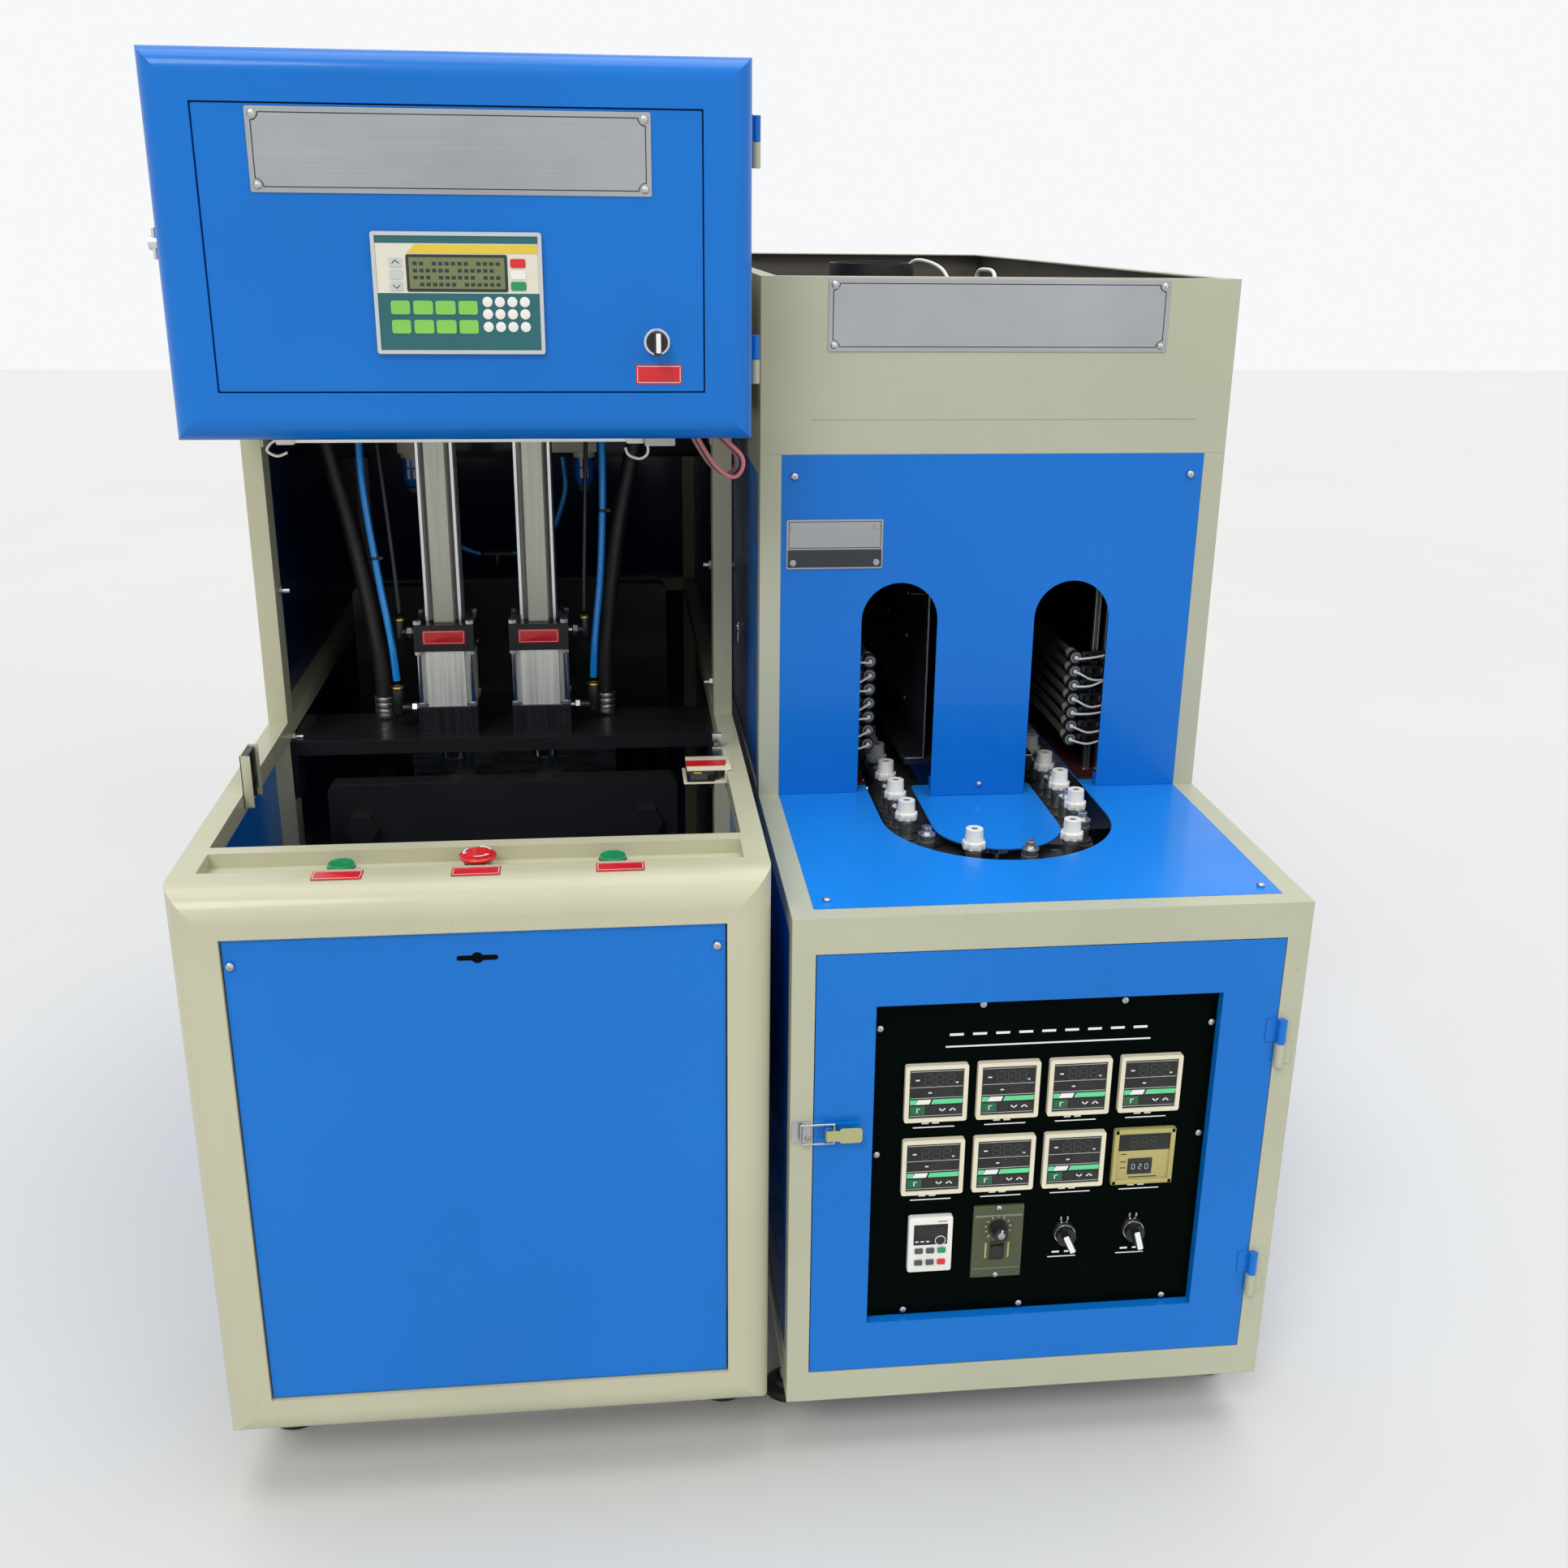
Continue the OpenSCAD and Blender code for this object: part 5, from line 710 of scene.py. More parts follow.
def makeStretchTrim():
    screws, nuts, labels, frames, rings, rods = [], [], [], [], [], []
    y, half, bridgeTop = stretch["y"], stretch["half"], stretch["bridgeTop"]
    lowerTop, (middleZ, middleTop), top = stretch["lowerTop"], stretch["middle"], stretch["top"]
    for x, (labelX0, labelX1) in zip(stretch["xs"], stretch["labels"]):
        for sx in (-1, 1):
            for z in (bridgeTop + 7, lowerTop - 7):
                screws.append(socketScrew((x + sx * 31, y - half, z), "-y", 7, 3))
            for sy in (-1, 1):
                tieX, tieY = x + sx * 34.5, y + sy * 34.5
                for z, bore in ((middleTop, 5), (middleZ - 6, 0), (lowerTop, 0)):
                    nuts.append(hexNut((tieX, tieY, z), "z", 11.5, 6, bore))
                screws.append(socketScrew((x + sx * 21, y + sy * 21, top + 28), "z", 8, 5))
                rods.append(rod("z", x + sx * 22, y + sy * 22, middleTop, top, 6.2, 12))
                rods.append(rod("z", tieX, tieY, lowerTop, middleZ, 6.4, 12))
        front, z0, z1 = y - half, middleZ + 10, middleTop - 7
        labels.append(slab(labelX0, labelX1, front - 0.6, front, z0, z1, soft=0.15, corner=1.2))
        frames += outline(labelX0 + 1.5, labelX1 - 1.5, z0 + 1.5, z1 - 1.5, 0.5, front - 0.6, "y")
        rings.append(turned([(18, 0), (24.5, 0), (24.5, 3), (23, 4.5), (18, 4.5), (18, 0)], (x, y, middleTop),
                            sides=36))
        rings.append(ring(20.2, 27, 3, (x, y, bridgeTop - 3), sides=36))
        rings.append(rod("x", y, top + 12, x + 25.8, x + 33, 13, 16, 0.8))
    finishPiece("stretchScrews", screws, "blackPaint")
    finishPiece("stretchNuts", nuts, "zinc")
    finishPiece("stretchTieRods", rods, "chrome")
    finishPiece("stretchRings", rings, "machined")
    finishPiece("stretchLabels", labels, "redLabel")
    finishPiece("stretchLabelFrames", frames, "whiteInk")


makeStretchTrim()
print("stretch units trimmed")

# Air fittings: push-in elbows, hose ferrules, filters, valve blocks and manifold
air = {"middle": -311, "y": -275, "block": 102.5, "elbows": ((880, 124, 907, 6), (773, 134, 812, 10)),
       "ferrules": (-470, -162), "ferruleY": -222, "ferruleZ": 744, "filterY": 10, "railX": (-606.9, 8.9),
       "boxZ": 1182, "bankX": -299, "manifoldY": (-40, 10), "crossPipe": (-349, -299, 60, 920), "dropZ": 899,
       "backTubes": ((((-219, 60, 1076), (-215, 60, 1027), (-222, 60, 994), (-238, 62, 955), (-262, 66, 922)), 9),
                     (((-410, 70, 958), (-380, 60, 933), (-362, 60, 924), (-347, 60, 920)), 7),
                     (((-301, 60, 920), (-280, 60, 923), (-256, 66, 934)), 7))}


def elbow(sign, z, reach, tubeTop, hoseWidth):
    x, y = air["middle"] + sign * reach, air["y"]
    inner = air["middle"] + sign * air["block"]
    lo, hi = sorted((inner + sign * 8, x))
    body = [rod("x", y, z, lo, hi, 12, 20, 0.6), rod("z", x, y, z - 9, tubeTop - 10, hoseWidth + 6, 24, 1.2)]
    lo, hi = sorted((inner, inner + sign * 7))
    thread = [rod("x", y, z, lo, hi, 9.5, 20)]
    lo = min(inner + sign * 5, inner + sign * 13)
    thread.append(hexNut((lo, y, z), "x", 16, 8))
    r = hoseWidth / 2
    collar = turned([(r + 0.3, 0), (r + 4, 0), (r + 3.6, 1), (r + 3.2, 2.2), (r + 0.3, 2.2), (r + 0.3, 0)],
                    (x, y, tubeTop - 10))
    return body, thread, [collar]


def makeAirFittings():
    bodies, threads, rings, ferrules, pipes = [], [], [], [], []
    for sign in (-1, 1):
        for sizes in air["elbows"]:
            for store, parts in zip((bodies, threads, rings), elbow(sign, *sizes)):
                store += parts
        x, y, z = air["ferrules"][sign > 0], air["ferruleY"], air["ferruleZ"]
        profile = [(12.2, 0), (14.6, 0), (15, 1), (15, 5), (14.3, 7), (15, 9), (15, 14), (14.3, 16), (15, 18),
                   (15, 22), (14.4, 24), (12.2, 24), (12.2, 0)]
        ferrules.append(turned(profile, (x, y, z + 8), sides=32))
        ferrules.append(turned([(0, 0), (14.8, 0), (14.8, 4), (0, 4)], (x, y, z + 4), sides=32))
        pipes.append(hexNut((x, y, z), "z", 30, 7))
    finishPiece("elbowBodies", bodies, "blackPlastic", hides=("air_fittings",))
    finishPiece("elbowThreads", threads, "chrome")
    finishPiece("elbowRings", rings, "brass")
    finishPiece("hoseFerrules", ferrules, "zinc")
    finishPiece("pipeStubs", pipes, "machined")


def makeFilters():
    z, y, middle = air["boxZ"], air["filterY"], air["bankX"]
    bowls, windows, blocks, drains = [], [], [], []
    for blockX, width, bowlX in ((-158, 62, -140), (62, 72, 114)):
        x = middle + blockX
        blocks.append(slab(x, x + width, y - 20, y + 22, z - 98, z - 66, soft=2))
        blocks.append(slab(x + 8, x + width - 8, y - 14, y + 16, z - 66, z - 58, soft=1.5))
        for sx in (10, width - 10):
            blocks.append(socketScrew((x + sx, y - 20, z - 82), "-y", 7, 2.5))
        cx = middle + bowlX
        bowls.append(turned([(0, 0), (6, 0), (11, 4), (14.5, 14), (15, 52), (0, 52)], (cx, y, z - 150), sides=32))
        for u in (-6, 2):
            for v in (-136, -119):
                windows.append(slab(cx + u, cx + u + 4, y - 15.8, y - 13, z + v, z + v + 14, soft=0.3))
        blocks.append(ring(13, 16.5, 8, (cx, y, z - 106), sides=32))
        drains.append(turned([(0, 0), (3.5, 0), (4.5, 3), (9, 4), (9, 10), (0, 10)], (cx, y, z - 160), sides=20))
    x0, x1 = air["railX"]
    rails = [slab(x0, x1, y + 22, y + 27, z - 110, z - 60, soft=0.6),
             slab(x0, x1, y, y + 5, z + 130, z + 270, soft=0.6)]
    finishPiece("filterBowls", bowls, "blueBowl")
    finishPiece("filterWindows", windows, "whitePlastic")
    finishPiece("valveBlocks", blocks, "creamPlastic")
    finishPiece("filterDrains", drains, "darkGrey")
    finishPiece("airRails", rails, "blackPaint")
    y0, y1 = air["manifoldY"]
    manifold = [slab(middle - 220, middle + 220, y0, y1, z + 140, z + 262, soft=2)]
    for k in range(8):
        for row in (162, 240):
            manifold.append(socketScrew((middle - 205 + k * 58.5, y0, z + row), "-y", 9, 3))
    finishPiece("airManifold", manifold, "aluminium")
    for k, (route, thick) in enumerate(air["backTubes"]):
        tubePiece("backTube_%d" % (k + 1), route, thick, "blueHose", steps=8)
    x0, x1, y, z = air["crossPipe"]
    pipe = [rod("x", y, z, x0 + 4, x1 - 4, 11, 20, 0.8), rod("z", (x0 + x1) / 2, y, air["dropZ"], z, 11, 20, 0.8)]
    finishPiece("crossPipe", pipe, "blackPlastic")
    finishPiece("crossNuts", [hexNut((x, y, z), "x", 13, 5) for x in (x0, x1 - 5)], "chrome")


def hoseBand(points, share, diameter, width=4):
    # a closed band round a hose, square to its run; share is the place along the route
    route = smoothRoute(points)
    k = max(1, min(len(route) - 2, round(share * (len(route) - 1))))
    along = (route[k + 1] - route[k - 1]).normalized()
    r, w = diameter / 2 + 0.1, width / 2
    band = turned([(r, -w), (r + 1, -w), (r + 1, w), (r, w), (r, -w)], (0, 0, 0), sides=20)
    return placed(band, Matrix.Translation(route[k]) @ facing(along))


def makeTies():
    bands = []
    for side, places in (("left", (0.36, 0.62)), ("right", (0.44,))):
        for share in places:
            bands.append(hoseBand(blueHose[side], share, blueHose["diameter"]))
            route = smoothRoute(blueHose[side])
            x, y, z = route[round(share * (len(route) - 1))]
            bands.append(slab(x + 5, x + 11, y - 3, y + 3, z - 2, z + 3, soft=0.6))
    finishPiece("hoseTies", bands, "blackPlastic")


# Faces, screws and short wires on the gear plate in the control box
gear = {"relays": [-540 + 48 * i for i in range(7)], "relayFront": -404, "relayZ": (1257.5, 1333.5),
        "supply": (-530, -420, -394, 1399.5, 1495.5), "drive": (-380, -240, -419, 1403.5, 1491.5),
        "terminals": [-203 + 14 * i for i in range(10)], "terminalFront": -379, "terminalZ": (1422.5, 1472.5),
        "ducts": (1224, 1357.5), "ductFront": -374, "ductX": (-560, -38),
        "wires": ("redPlastic", "blackPlastic", "blueHose", "whitePlastic")}


def makeGear():
    fronts, caps, screws, slots, keys = [], [], [], [], []
    y, (z0, z1) = gear["relayFront"], gear["relayZ"]
    for k, x in enumerate(gear["relays"]):
        fronts += [slab(x + 2, x + 40, y - 14, y, z0 + 16, z1 - 16, soft=1.2),
                   slab(x, x + 42, y - 3, y, z0, z1, soft=0.8)]
        caps.append(slab(x + 13, x + 29, y - 17, y - 13.5, z0 + 28, z1 - 28, soft=0.8))
        screws += [panHead((x + 8 + 13 * i, y - 4, z), "-y", 6, 1.6) for i in range(3) for z in (z0 + 8, z1 - 8)]
    x0, x1, y, z0, z1 = gear["supply"]
    # painted shade: dark strips stand for the supply's vent slots
    slots += [slab(x0 + 10, x1 - 10, y - 0.5, y, z, z + 3) for z in range(round(z0) + 26, round(z1) - 10, 7)]
    screws += [panHead((x0 + 12 + 14.3 * i, y - 1, z0 + 10), "-y", 7, 1.8) for i in range(7)]
    x0, x1, y, z0, z1 = gear["drive"]
    fronts.append(slab(x0 + 12, x1 - 42, y - 2, y, z0 + 24, z1 - 12, soft=0.8))
    keys.append(slab(x0 + 8, x1 - 8, y - 6, y, z0 + 4, z0 + 16, soft=0.8))
    # painted shade: dark strips stand for the drive's vent slots
    slots += [slab(x1 - 34, x1 - 8, y - 0.5, y, z, z + 2.4) for z in range(round(z0) + 26, round(z1) - 10, 6)]
    y, (z0, z1) = gear["terminalFront"], gear["terminalZ"]
    for k, x in enumerate(gear["terminals"]):
        (keys if k > 7 else caps).append(slab(x + 2, x + 10, y - 4, y, z0 + 12, z1 - 12, soft=0.6))
        screws += [panHead((x + 6, y - 1, z), "-y", 6, 1.4) for z in (z0 + 6, z1 - 6)]
    y, (x0, x1) = gear["ductFront"], gear["ductX"]
    # painted shade: dark strips stand for the open slots in the wiring ducts
    slots += [slab(x, x + 3, y - 0.4, y, z + 1.5, z + 18.5) for z in gear["ducts"] for x in range(x0 + 6, x1 - 6, 12)]
    finishPiece("relayFronts", fronts, "blackPlastic")
    finishPiece("relayCaps", caps, "creamPlastic")
    finishPiece("gearScrews", screws, "zinc")
    finishPiece("gearSlotShade", slots, "darkGrey")
    finishPiece("gearKeys", keys, "greenPlastic")
    y, (z0, z1) = gear["relayFront"], gear["relayZ"]
    low, top, wires = gear["ducts"][0] + 19, gear["ducts"][1] + 1, gear["wires"]
    for k, x in enumerate(gear["relays"][:6]):
        a, b = x + 8 + 13 * (k % 3), x + 8 + 13 * (k * 2 % 3)
        wire = [(a, y - 3, z0 + 8), (a, y - 16, z0 - 2), (x + 14, y + 2, low + 4), (x + 14, y + 44, low - 4)]
        lead = [(b, y - 3, z1 - 8), (b, y - 17, z1 + 4), (x + 20, y + 4, top - 6), (x + 20, y + 40, top + 3)]
        tubePiece("relayWire_%d" % (k + 1), wire, 3, wires[k % 4], steps=5)
        tubePiece("relayLead_%d" % (k + 1), lead, 3, wires[(k + 1) % 4], steps=5)


makeAirFittings()
makeFilters()
makeTies()
makeGear()
print("air fittings made")

# Work light under the box: tube between two sockets
workLight = {"y": -526, "z": 1171, "x0": -514, "x1": -118, "diameter": 9, "box": (-105.5, -70, 1163, 1182),
             "rightLead": ((11, 0, 0), (16, -2, -9), (15, -3, -19), (6, -2, -24), (-6, 0, -20), (-10, 3, -12)),
             "leftLead": ((-11, 0, 0), (-20, 0, -6), (-24, 3, -14), (-14, 5, -20), (-2, 4, -16))}


def makeWorkLight():
    x0, x1, y, z = (workLight[key] for key in ("x0", "x1", "y", "z"))
    finishPiece("workLightTube", [rod("x", y, z, x0 + 8, x1 - 8, workLight["diameter"], 32, 1)], "lampWhite",
                hides=("work_light",))
    ends = [slab(a, a + 21, y - 8, y + 8, z - 6, z + 11, soft=2) for a in (x0 - 12, x1 - 9)]
    finishPiece("workLightSockets", ends, "whitePlastic")
    a, b, low, high = workLight["box"]
    finishPiece("workLightBox", [slab(a, b, y - 15, y + 15, low, high, soft=1.5, steps=3)], "greyPlastic")
    for name, x, key in (("workLightLead", x1, "rightLead"), ("workLightLeadLeft", x0, "leftLead")):
        tubePiece(name, [(x + u, y + v, z + w) for u, v, w in workLight[key]], 3.2, "whitePlastic")


makeWorkLight()

# Name plate on the cover and the plates on the heater: bare, with a printed border line and rivets
plates = {"cover": {"x": (-505, -95.5), "z": (1435, 1517), "y": -643.7, "body": "control_cover"},
          "heater": {"x": (114, 527), "z": (1267, 1350), "y": -496.2, "body": "root"}}
smallPlate = {"x": (68.5, 185.5), "band": (1008, 1030), "line": (1032, 1065), "y": -496.2}


def notchedLine(x0, x1, z0, z1, y, width=1.1, notch=9):
    # a border whose corners step in round the rivets
    strips = [slab(x0 + notch, x1 - notch, y - 0.15, y, z, z + width) for z in (z0, z1 - width)]
    strips += [slab(x, x + width, y - 0.15, y, z0 + notch, z1 - notch) for x in (x0, x1 - width)]
    for cx, sx in ((x0, 1), (x1, -1)):
        for cz, sz in ((z0, 1), (z1, -1)):
            arc = bentStrip(notch - width, notch, 90, 0.15)
            turn = {(1, 1): 0, (-1, 1): 90, (-1, -1): 180, (1, -1): 270}[(sx, sz)]
            placed(arc, shift(cx, y, cz) @ spun(90, "X") @ spun(turn, "Z"))
            bmesh.ops.recalc_face_normals(arc, faces=arc.faces)
            strips.append(arc)
    return strips


def makePlates():
    for name, plate in plates.items():
        (x0, x1), (z0, z1), y = plate["x"], plate["z"], plate["y"]
        finishPiece(name + "PlateLine", notchedLine(x0 + 5, x1 - 5, z0 + 5, z1 - 5, y), "darkInk", plate["body"])
        rivets = [turned([(0, 2.2), (2.4, 1.9), (4, 0.9), (4.4, 0), (0, 0)], (x, y, z), "-y", 20)
                  for x in (x0 + 7, x1 - 7) for z in (z0 + 7, z1 - 7)]
        finishPiece(name + "PlateRivets", rivets, "zinc", plate["body"])
    (x0, x1), y = smallPlate["x"], smallPlate["y"]
    finishPiece("smallPlateBand", [slab(x0, x1, y - 0.2, y + 0.05, *smallPlate["band"])], "darkInk")
    finishPiece("smallPlateLine", outline(x0 + 1, x1 - 1, *smallPlate["line"], 0.8, y, "y"), "darkInk")


makePlates()
print("plates made")


def chevron(x, z, y, size, width, way):
    # an open arrow head; its point is at (x, z)
    bars = []
    for side in (-1, 1):
        bar = slab(-width / 2, width / 2, -0.15, 0, -width * 0.3, size)
        turn = side * 48 + (180 if way == "up" else 0)
        bars.append(placed(bar, shift(x, y, z) @ spun(turn, "Y")))
    return bars


# Operator panel: printed film, display and keys
operator = {"x0": -388.7, "z0": 1275, "width": 176.5, "height": 123.5, "face": -646}


def makeOperatorPanel():
    x0, z0, w, h, y = (operator[key] for key in ("x0", "z0", "width", "height", "face"))

    def film(name, parts, finish):
        finishPiece(name, parts, finish, "control_cover")

    def patch(u0, u1, v0, v1, depth=0.2, lift=0.0, corner=0.0):
        return slab(x0 + u0, x0 + u1, y - lift - depth, y - lift, z0 + v0, z0 + v1, corner=corner)

    film("operatorFilm", [patch(4, w - 4, 4, h - 4, 0.3, corner=2)], "creamFilm")
    film("operatorTopBand", [patch(4, w - 4, 112, h - 4, 0.15, 0.3)], "tealFilm")
    stripe = patch(36, w - 5, 102, 111, 0.15, 0.3)
    bmesh.ops.translate(stripe, verts=[v for v in stripe.verts if v.co.x < x0 + 40 and v.co.z > z0 + 105],
                        vec=(9, 0, 0))
    film("operatorStripe", [stripe], "yellowFilm")
    film("operatorKeyField", [patch(4, w - 4, 4, 62, 0.15, 0.3)], "tealFilm")
    film("operatorDisplayFrame", [patch(35, 140, 63.5, 101, 0.6, 0.3, 2)], "darkInk")
    film("operatorDisplay", [patch(38, 137, 66.5, 98, 0.2, 0.9, 1)], "displayOlive")
    blocks = [(42 + k * 6.6, 69 + row * 7) for row in range(4) for k in range(14) if (row * 5 + k * 3) % 7]
    film("operatorDisplayText", [patch(u, u + 4.4, v, v + 3.6, 0.05, 1.1) for u, v in blocks], "darkInk")
    film("operatorSideKeys", [patch(17.6, 31, v, v + 9.5, 0.8, 0.3, 2) for v in (64.5, 76.2, 88)], "greyPlastic")
    for name, v, finish in (("Red", 88, "redPlastic"), ("Plain", 76.5, "whitePlastic"),
                            ("Green", 65, "greenPlastic")):
        film("operator%sKey" % name, [patch(143, 159, v, v + 9, 0.8, 0.3, 2)], finish)
    keys = [patch(u0, u1, v, v + 14, 0.8, 0.45, 2.5) for u0, u1 in ((16.7, 36.5), (40, 60.5), (63, 84), (87, 107))
            for v in (21, 40.5)]
    film("operatorFunctionKeys", keys, "paleGreen")
    numbers = [rod("y", x0 + u, z0 + v, y - 1.2, y - 0.45, 10.6, 24, 0.2) for u in (117.5, 130.5, 143.6, 156.7)
               for v in (28, 41, 53.5)]
    film("operatorNumberKeys", numbers, "whitePlastic")
    arrows = [chevron(x0 + 24.3, z0 + v, y - 1.1, 5, 0.9, way) for v, way in ((95, "up"), (66.8, "down"))]
    film("operatorArrows", arrows[0] + arrows[1], "darkInk")


makeOperatorPanel()

# Light switch on the cover: pointer and label plate
lightSwitch = {"x": -91.7, "z": 1288, "knobFace": -669.4, "face": -643.1, "label": (-116, -66, 1243, 1264)}


def pointer(x, z, y, turn, length=24.4, width=5):
    bar = slab(-width / 2, width / 2, -0.4, 0, -length / 2 + 2, length / 2 - 2, corner=1)
    return placed(bar, shift(x, y, z) @ spun(turn, "Y"))


def makeLightSwitch():
    face = lightSwitch["face"]
    finishPiece("lightPointer", [pointer(lightSwitch["x"], lightSwitch["z"], lightSwitch["knobFace"], 0)],
                "whiteInk", "light_knob")
    x0, x1, z0, z1 = lightSwitch["label"]
    finishPiece("lightLabel", [slab(x0, x1, face, face + 0.6, z0, z1, soft=0.15, corner=1.5)], "redLabel",
                "control_cover")
    finishPiece("lightLabelFrame", outline(x0 + 1.6, x1 - 1.6, z0 + 1.6, z1 - 1.6, 0.6, face, "y"), "whiteInk",
                "control_cover")


makeLightSwitch()
print("cover dressed")

# Instruments in the door
field = {"x0": 128, "z0": 187, "face": -876.7, "columns": (200.5, 283.3, 366.1, 448.9), "rows": (487, 391),
         "half": 31}
segments = {"a": (0.5, 1, 1, 0), "b": (1, 0.75, 0, 1), "c": (1, 0.25, 0, 1), "d": (0.5, 0, 1, 0),
            "e": (0, 0.25, 0, 1), "f": (0, 0.75, 0, 1), "g": (0.5, 0.5, 1, 0)}


def figure(x, z, width, height, y, lit="abcdefg"):
    # one seven-segment figure from thin bars
    bars = []
    thick = width * 0.16
    for key in lit:
        u, v, across, up = segments[key]
        cx, cz = x + (u - 0.5) * width, z + (v - 0.5) * height
        halfX = width * 0.36 if across else thick / 2
        halfZ = height * 0.19 if up else thick / 2
        bars.append(slab(cx - halfX, cx + halfX, y - 0.1, y, cz - halfZ, cz + halfZ))
    return bars


def slanted(x0, x1, z0, z1, y0, y1, lean):
    # a printed patch whose upper edge is moved sideways
    shape = slab(x0, x1, y0, y1, z0, z1)
    bmesh.ops.translate(shape, verts=[v for v in shape.verts if v.co.z > (z0 + z1) / 2], vec=(lean, 0, 0))
    return shape


def makeMeters():
    y, half = field["face"] - 5, field["half"]
    front = y - 0.6
    faces, lines, figures, bands, pale, keys, deep, marks = [], [], [], [], [], [], [], []
    spots = [(x, z) for z in field["rows"] for x in field["columns"]]

    def strip(u0, u1, v0, v1, depth, lift=0.0, soft=0.0):
        # a flat piece on the front of the meter at x, z
        return slab(x + u0, x + u1, front - lift - depth, front - lift, z + v0, z + v1, soft=soft)

    for x, z in spots[:-1]:
        faces.append(slab(x - half + 0.3, x + half - 0.3, front, y, z - half + 0.3, z + half - 0.3, soft=0.2))
        lines += [strip(1 - half, half - 1, v, v + 0.7, 0.1) for v in (28, 8, -5.8, -28.6)]
        for k in range(3):
            figures += figure(x - 9 + k * 12.5, z + 17.5, 8.5, 14, front)
            figures += figure(x + 1 + k * 7.5, z + 1, 5, 9, front)
        for u, v, w in ((-24, 17.5, 4.5), (-9, 1, 4), (22, 13.2, 2.6)):  # small marks beside the figures
            marks.append(strip(u, u + w, v - 0.8, v + 0.8, 0.12))
        bands += [slanted(x - 5.5, x + half - 1.2, z - 13.6, z - 7.6, front - 0.12, front, 2.2),
                  strip(1.2 - half, -22, -13.6, -7.6, 0.12)]
        pale.append(slanted(x - 23, x - 7.6, z - 13.6, z - 7.6, front - 0.16, front, 2.2))
        deep.append(strip(1.4 - half, -12.4, -26.6, -15.6, 0.5, soft=0.2))
        keys += [strip(u0, u1, -26.6, -15.6, 0.4, soft=0.2) for u0, u1 in ((-11.6, 1.4), (2, half - 1.4))]
        marks += chevron(x + 7.6, z - 22.6, front - 0.42, 4.6, 1.5, "down")
        marks += chevron(x + 19.6, z - 19.4, front - 0.42, 4.6, 1.5, "up")
        marks += [strip(-22, -20.8, -24, -18.4, 0.12, 0.5), strip(-20.9, -18, -19.4, -18.4, 0.12, 0.5)]
    x, z = spots[-1]  # temperature indicator: window above, thumbwheels below
    faces.append(slab(x - half + 0.3, x + half - 0.3, front, y, z + 8, z + half - 0.3, soft=0.2))
    for k in range(3):
        figures += figure(x - 12 + k * 11.5, z + 19, 7.5, 12, front)
    lower = [slab(x - half + 0.3, x + half - 0.3, front, y, z - half + 0.3, z + 8, soft=0.2)]
    r, inner = 36.3, half - 0.4
    rim = [slab(x + u0, x + u1, y - 2.4, y + 4.6, z + v0, z + v1, soft=0.9) for u0, u1, v0, v1 in (
        (-r, -inner, -r, r), (inner, r, -r, r), (-36, 36, -r, -inner), (-36, 36, inner, r))]
    wheels = [strip(-18, 11, -23, -2, 1, soft=0.5)]
    inks = []
    for k, lit in enumerate(("abcdef", "abged", "abcdef")):
        wheels.append(strip(k * 8 - 15, k * 8 - 8.4, -19, -6, 1.6, soft=0.6))
        inks += figure(x - 11.7 + k * 8, z - 12.5, 3.6, 6.4, front - 1.6, lit)
    specks = [strip(-27, -20, v, v + 1.3, 0.1) for v in (3, -7, -15)] + [strip(-16, 18, -28, -26.6, 0.1)]
    for name, parts, finish in (("meterFaces", faces, "glossBlack"), ("meterLines", lines, "greyPlastic"),
                                ("meterFigures", figures, "dimDigit"), ("meterBands", bands, "bandGreen"),
                                ("meterPaleBands", pale, "whiteInk"), ("meterSetKeys", deep, "deepGreen"),
                                ("meterKeys", keys, "blackPlastic"), ("meterMarks", marks, "whiteInk"),
                                ("indicatorFace", lower, "goldFilm"), ("indicatorRim", rim, "goldFilm"),
                                ("indicatorMarks", specks, "darkInk"), ("indicatorWheels", wheels, "blackPlastic"),
                                ("indicatorFigures", inks, "whiteInk")):
        finishPiece(name, parts, finish, "heater_door")


makeMeters()
print("meters made")

# Speed controller, drive keypad and selector bezels
controls = {"speed": (282, 284), "drive": (201, 288), "selectors": (362, 445), "selectorZ": 291, "face": -876.7,
            "turns": (("motor_knob", -25), ("fan_knob", -15)), "titleZ": 556, "ruleX": (210, 446), "ruleZ": 541.5,
            "bezel": ((8.6, 0), (14.5, 0), (14.5, 2), (13.6, 5), (12.4, 8), (11.2, 8), (10.2, 6), (8.6, 5.5), (8.6, 0)),
            "screws": ((6.5, 383), (7, 222), (45, 8), (185, 7.5), (361, 7), (386, 230), (387, 374), (284, 406),
                       (122, 408)), "screwY": -879.3}


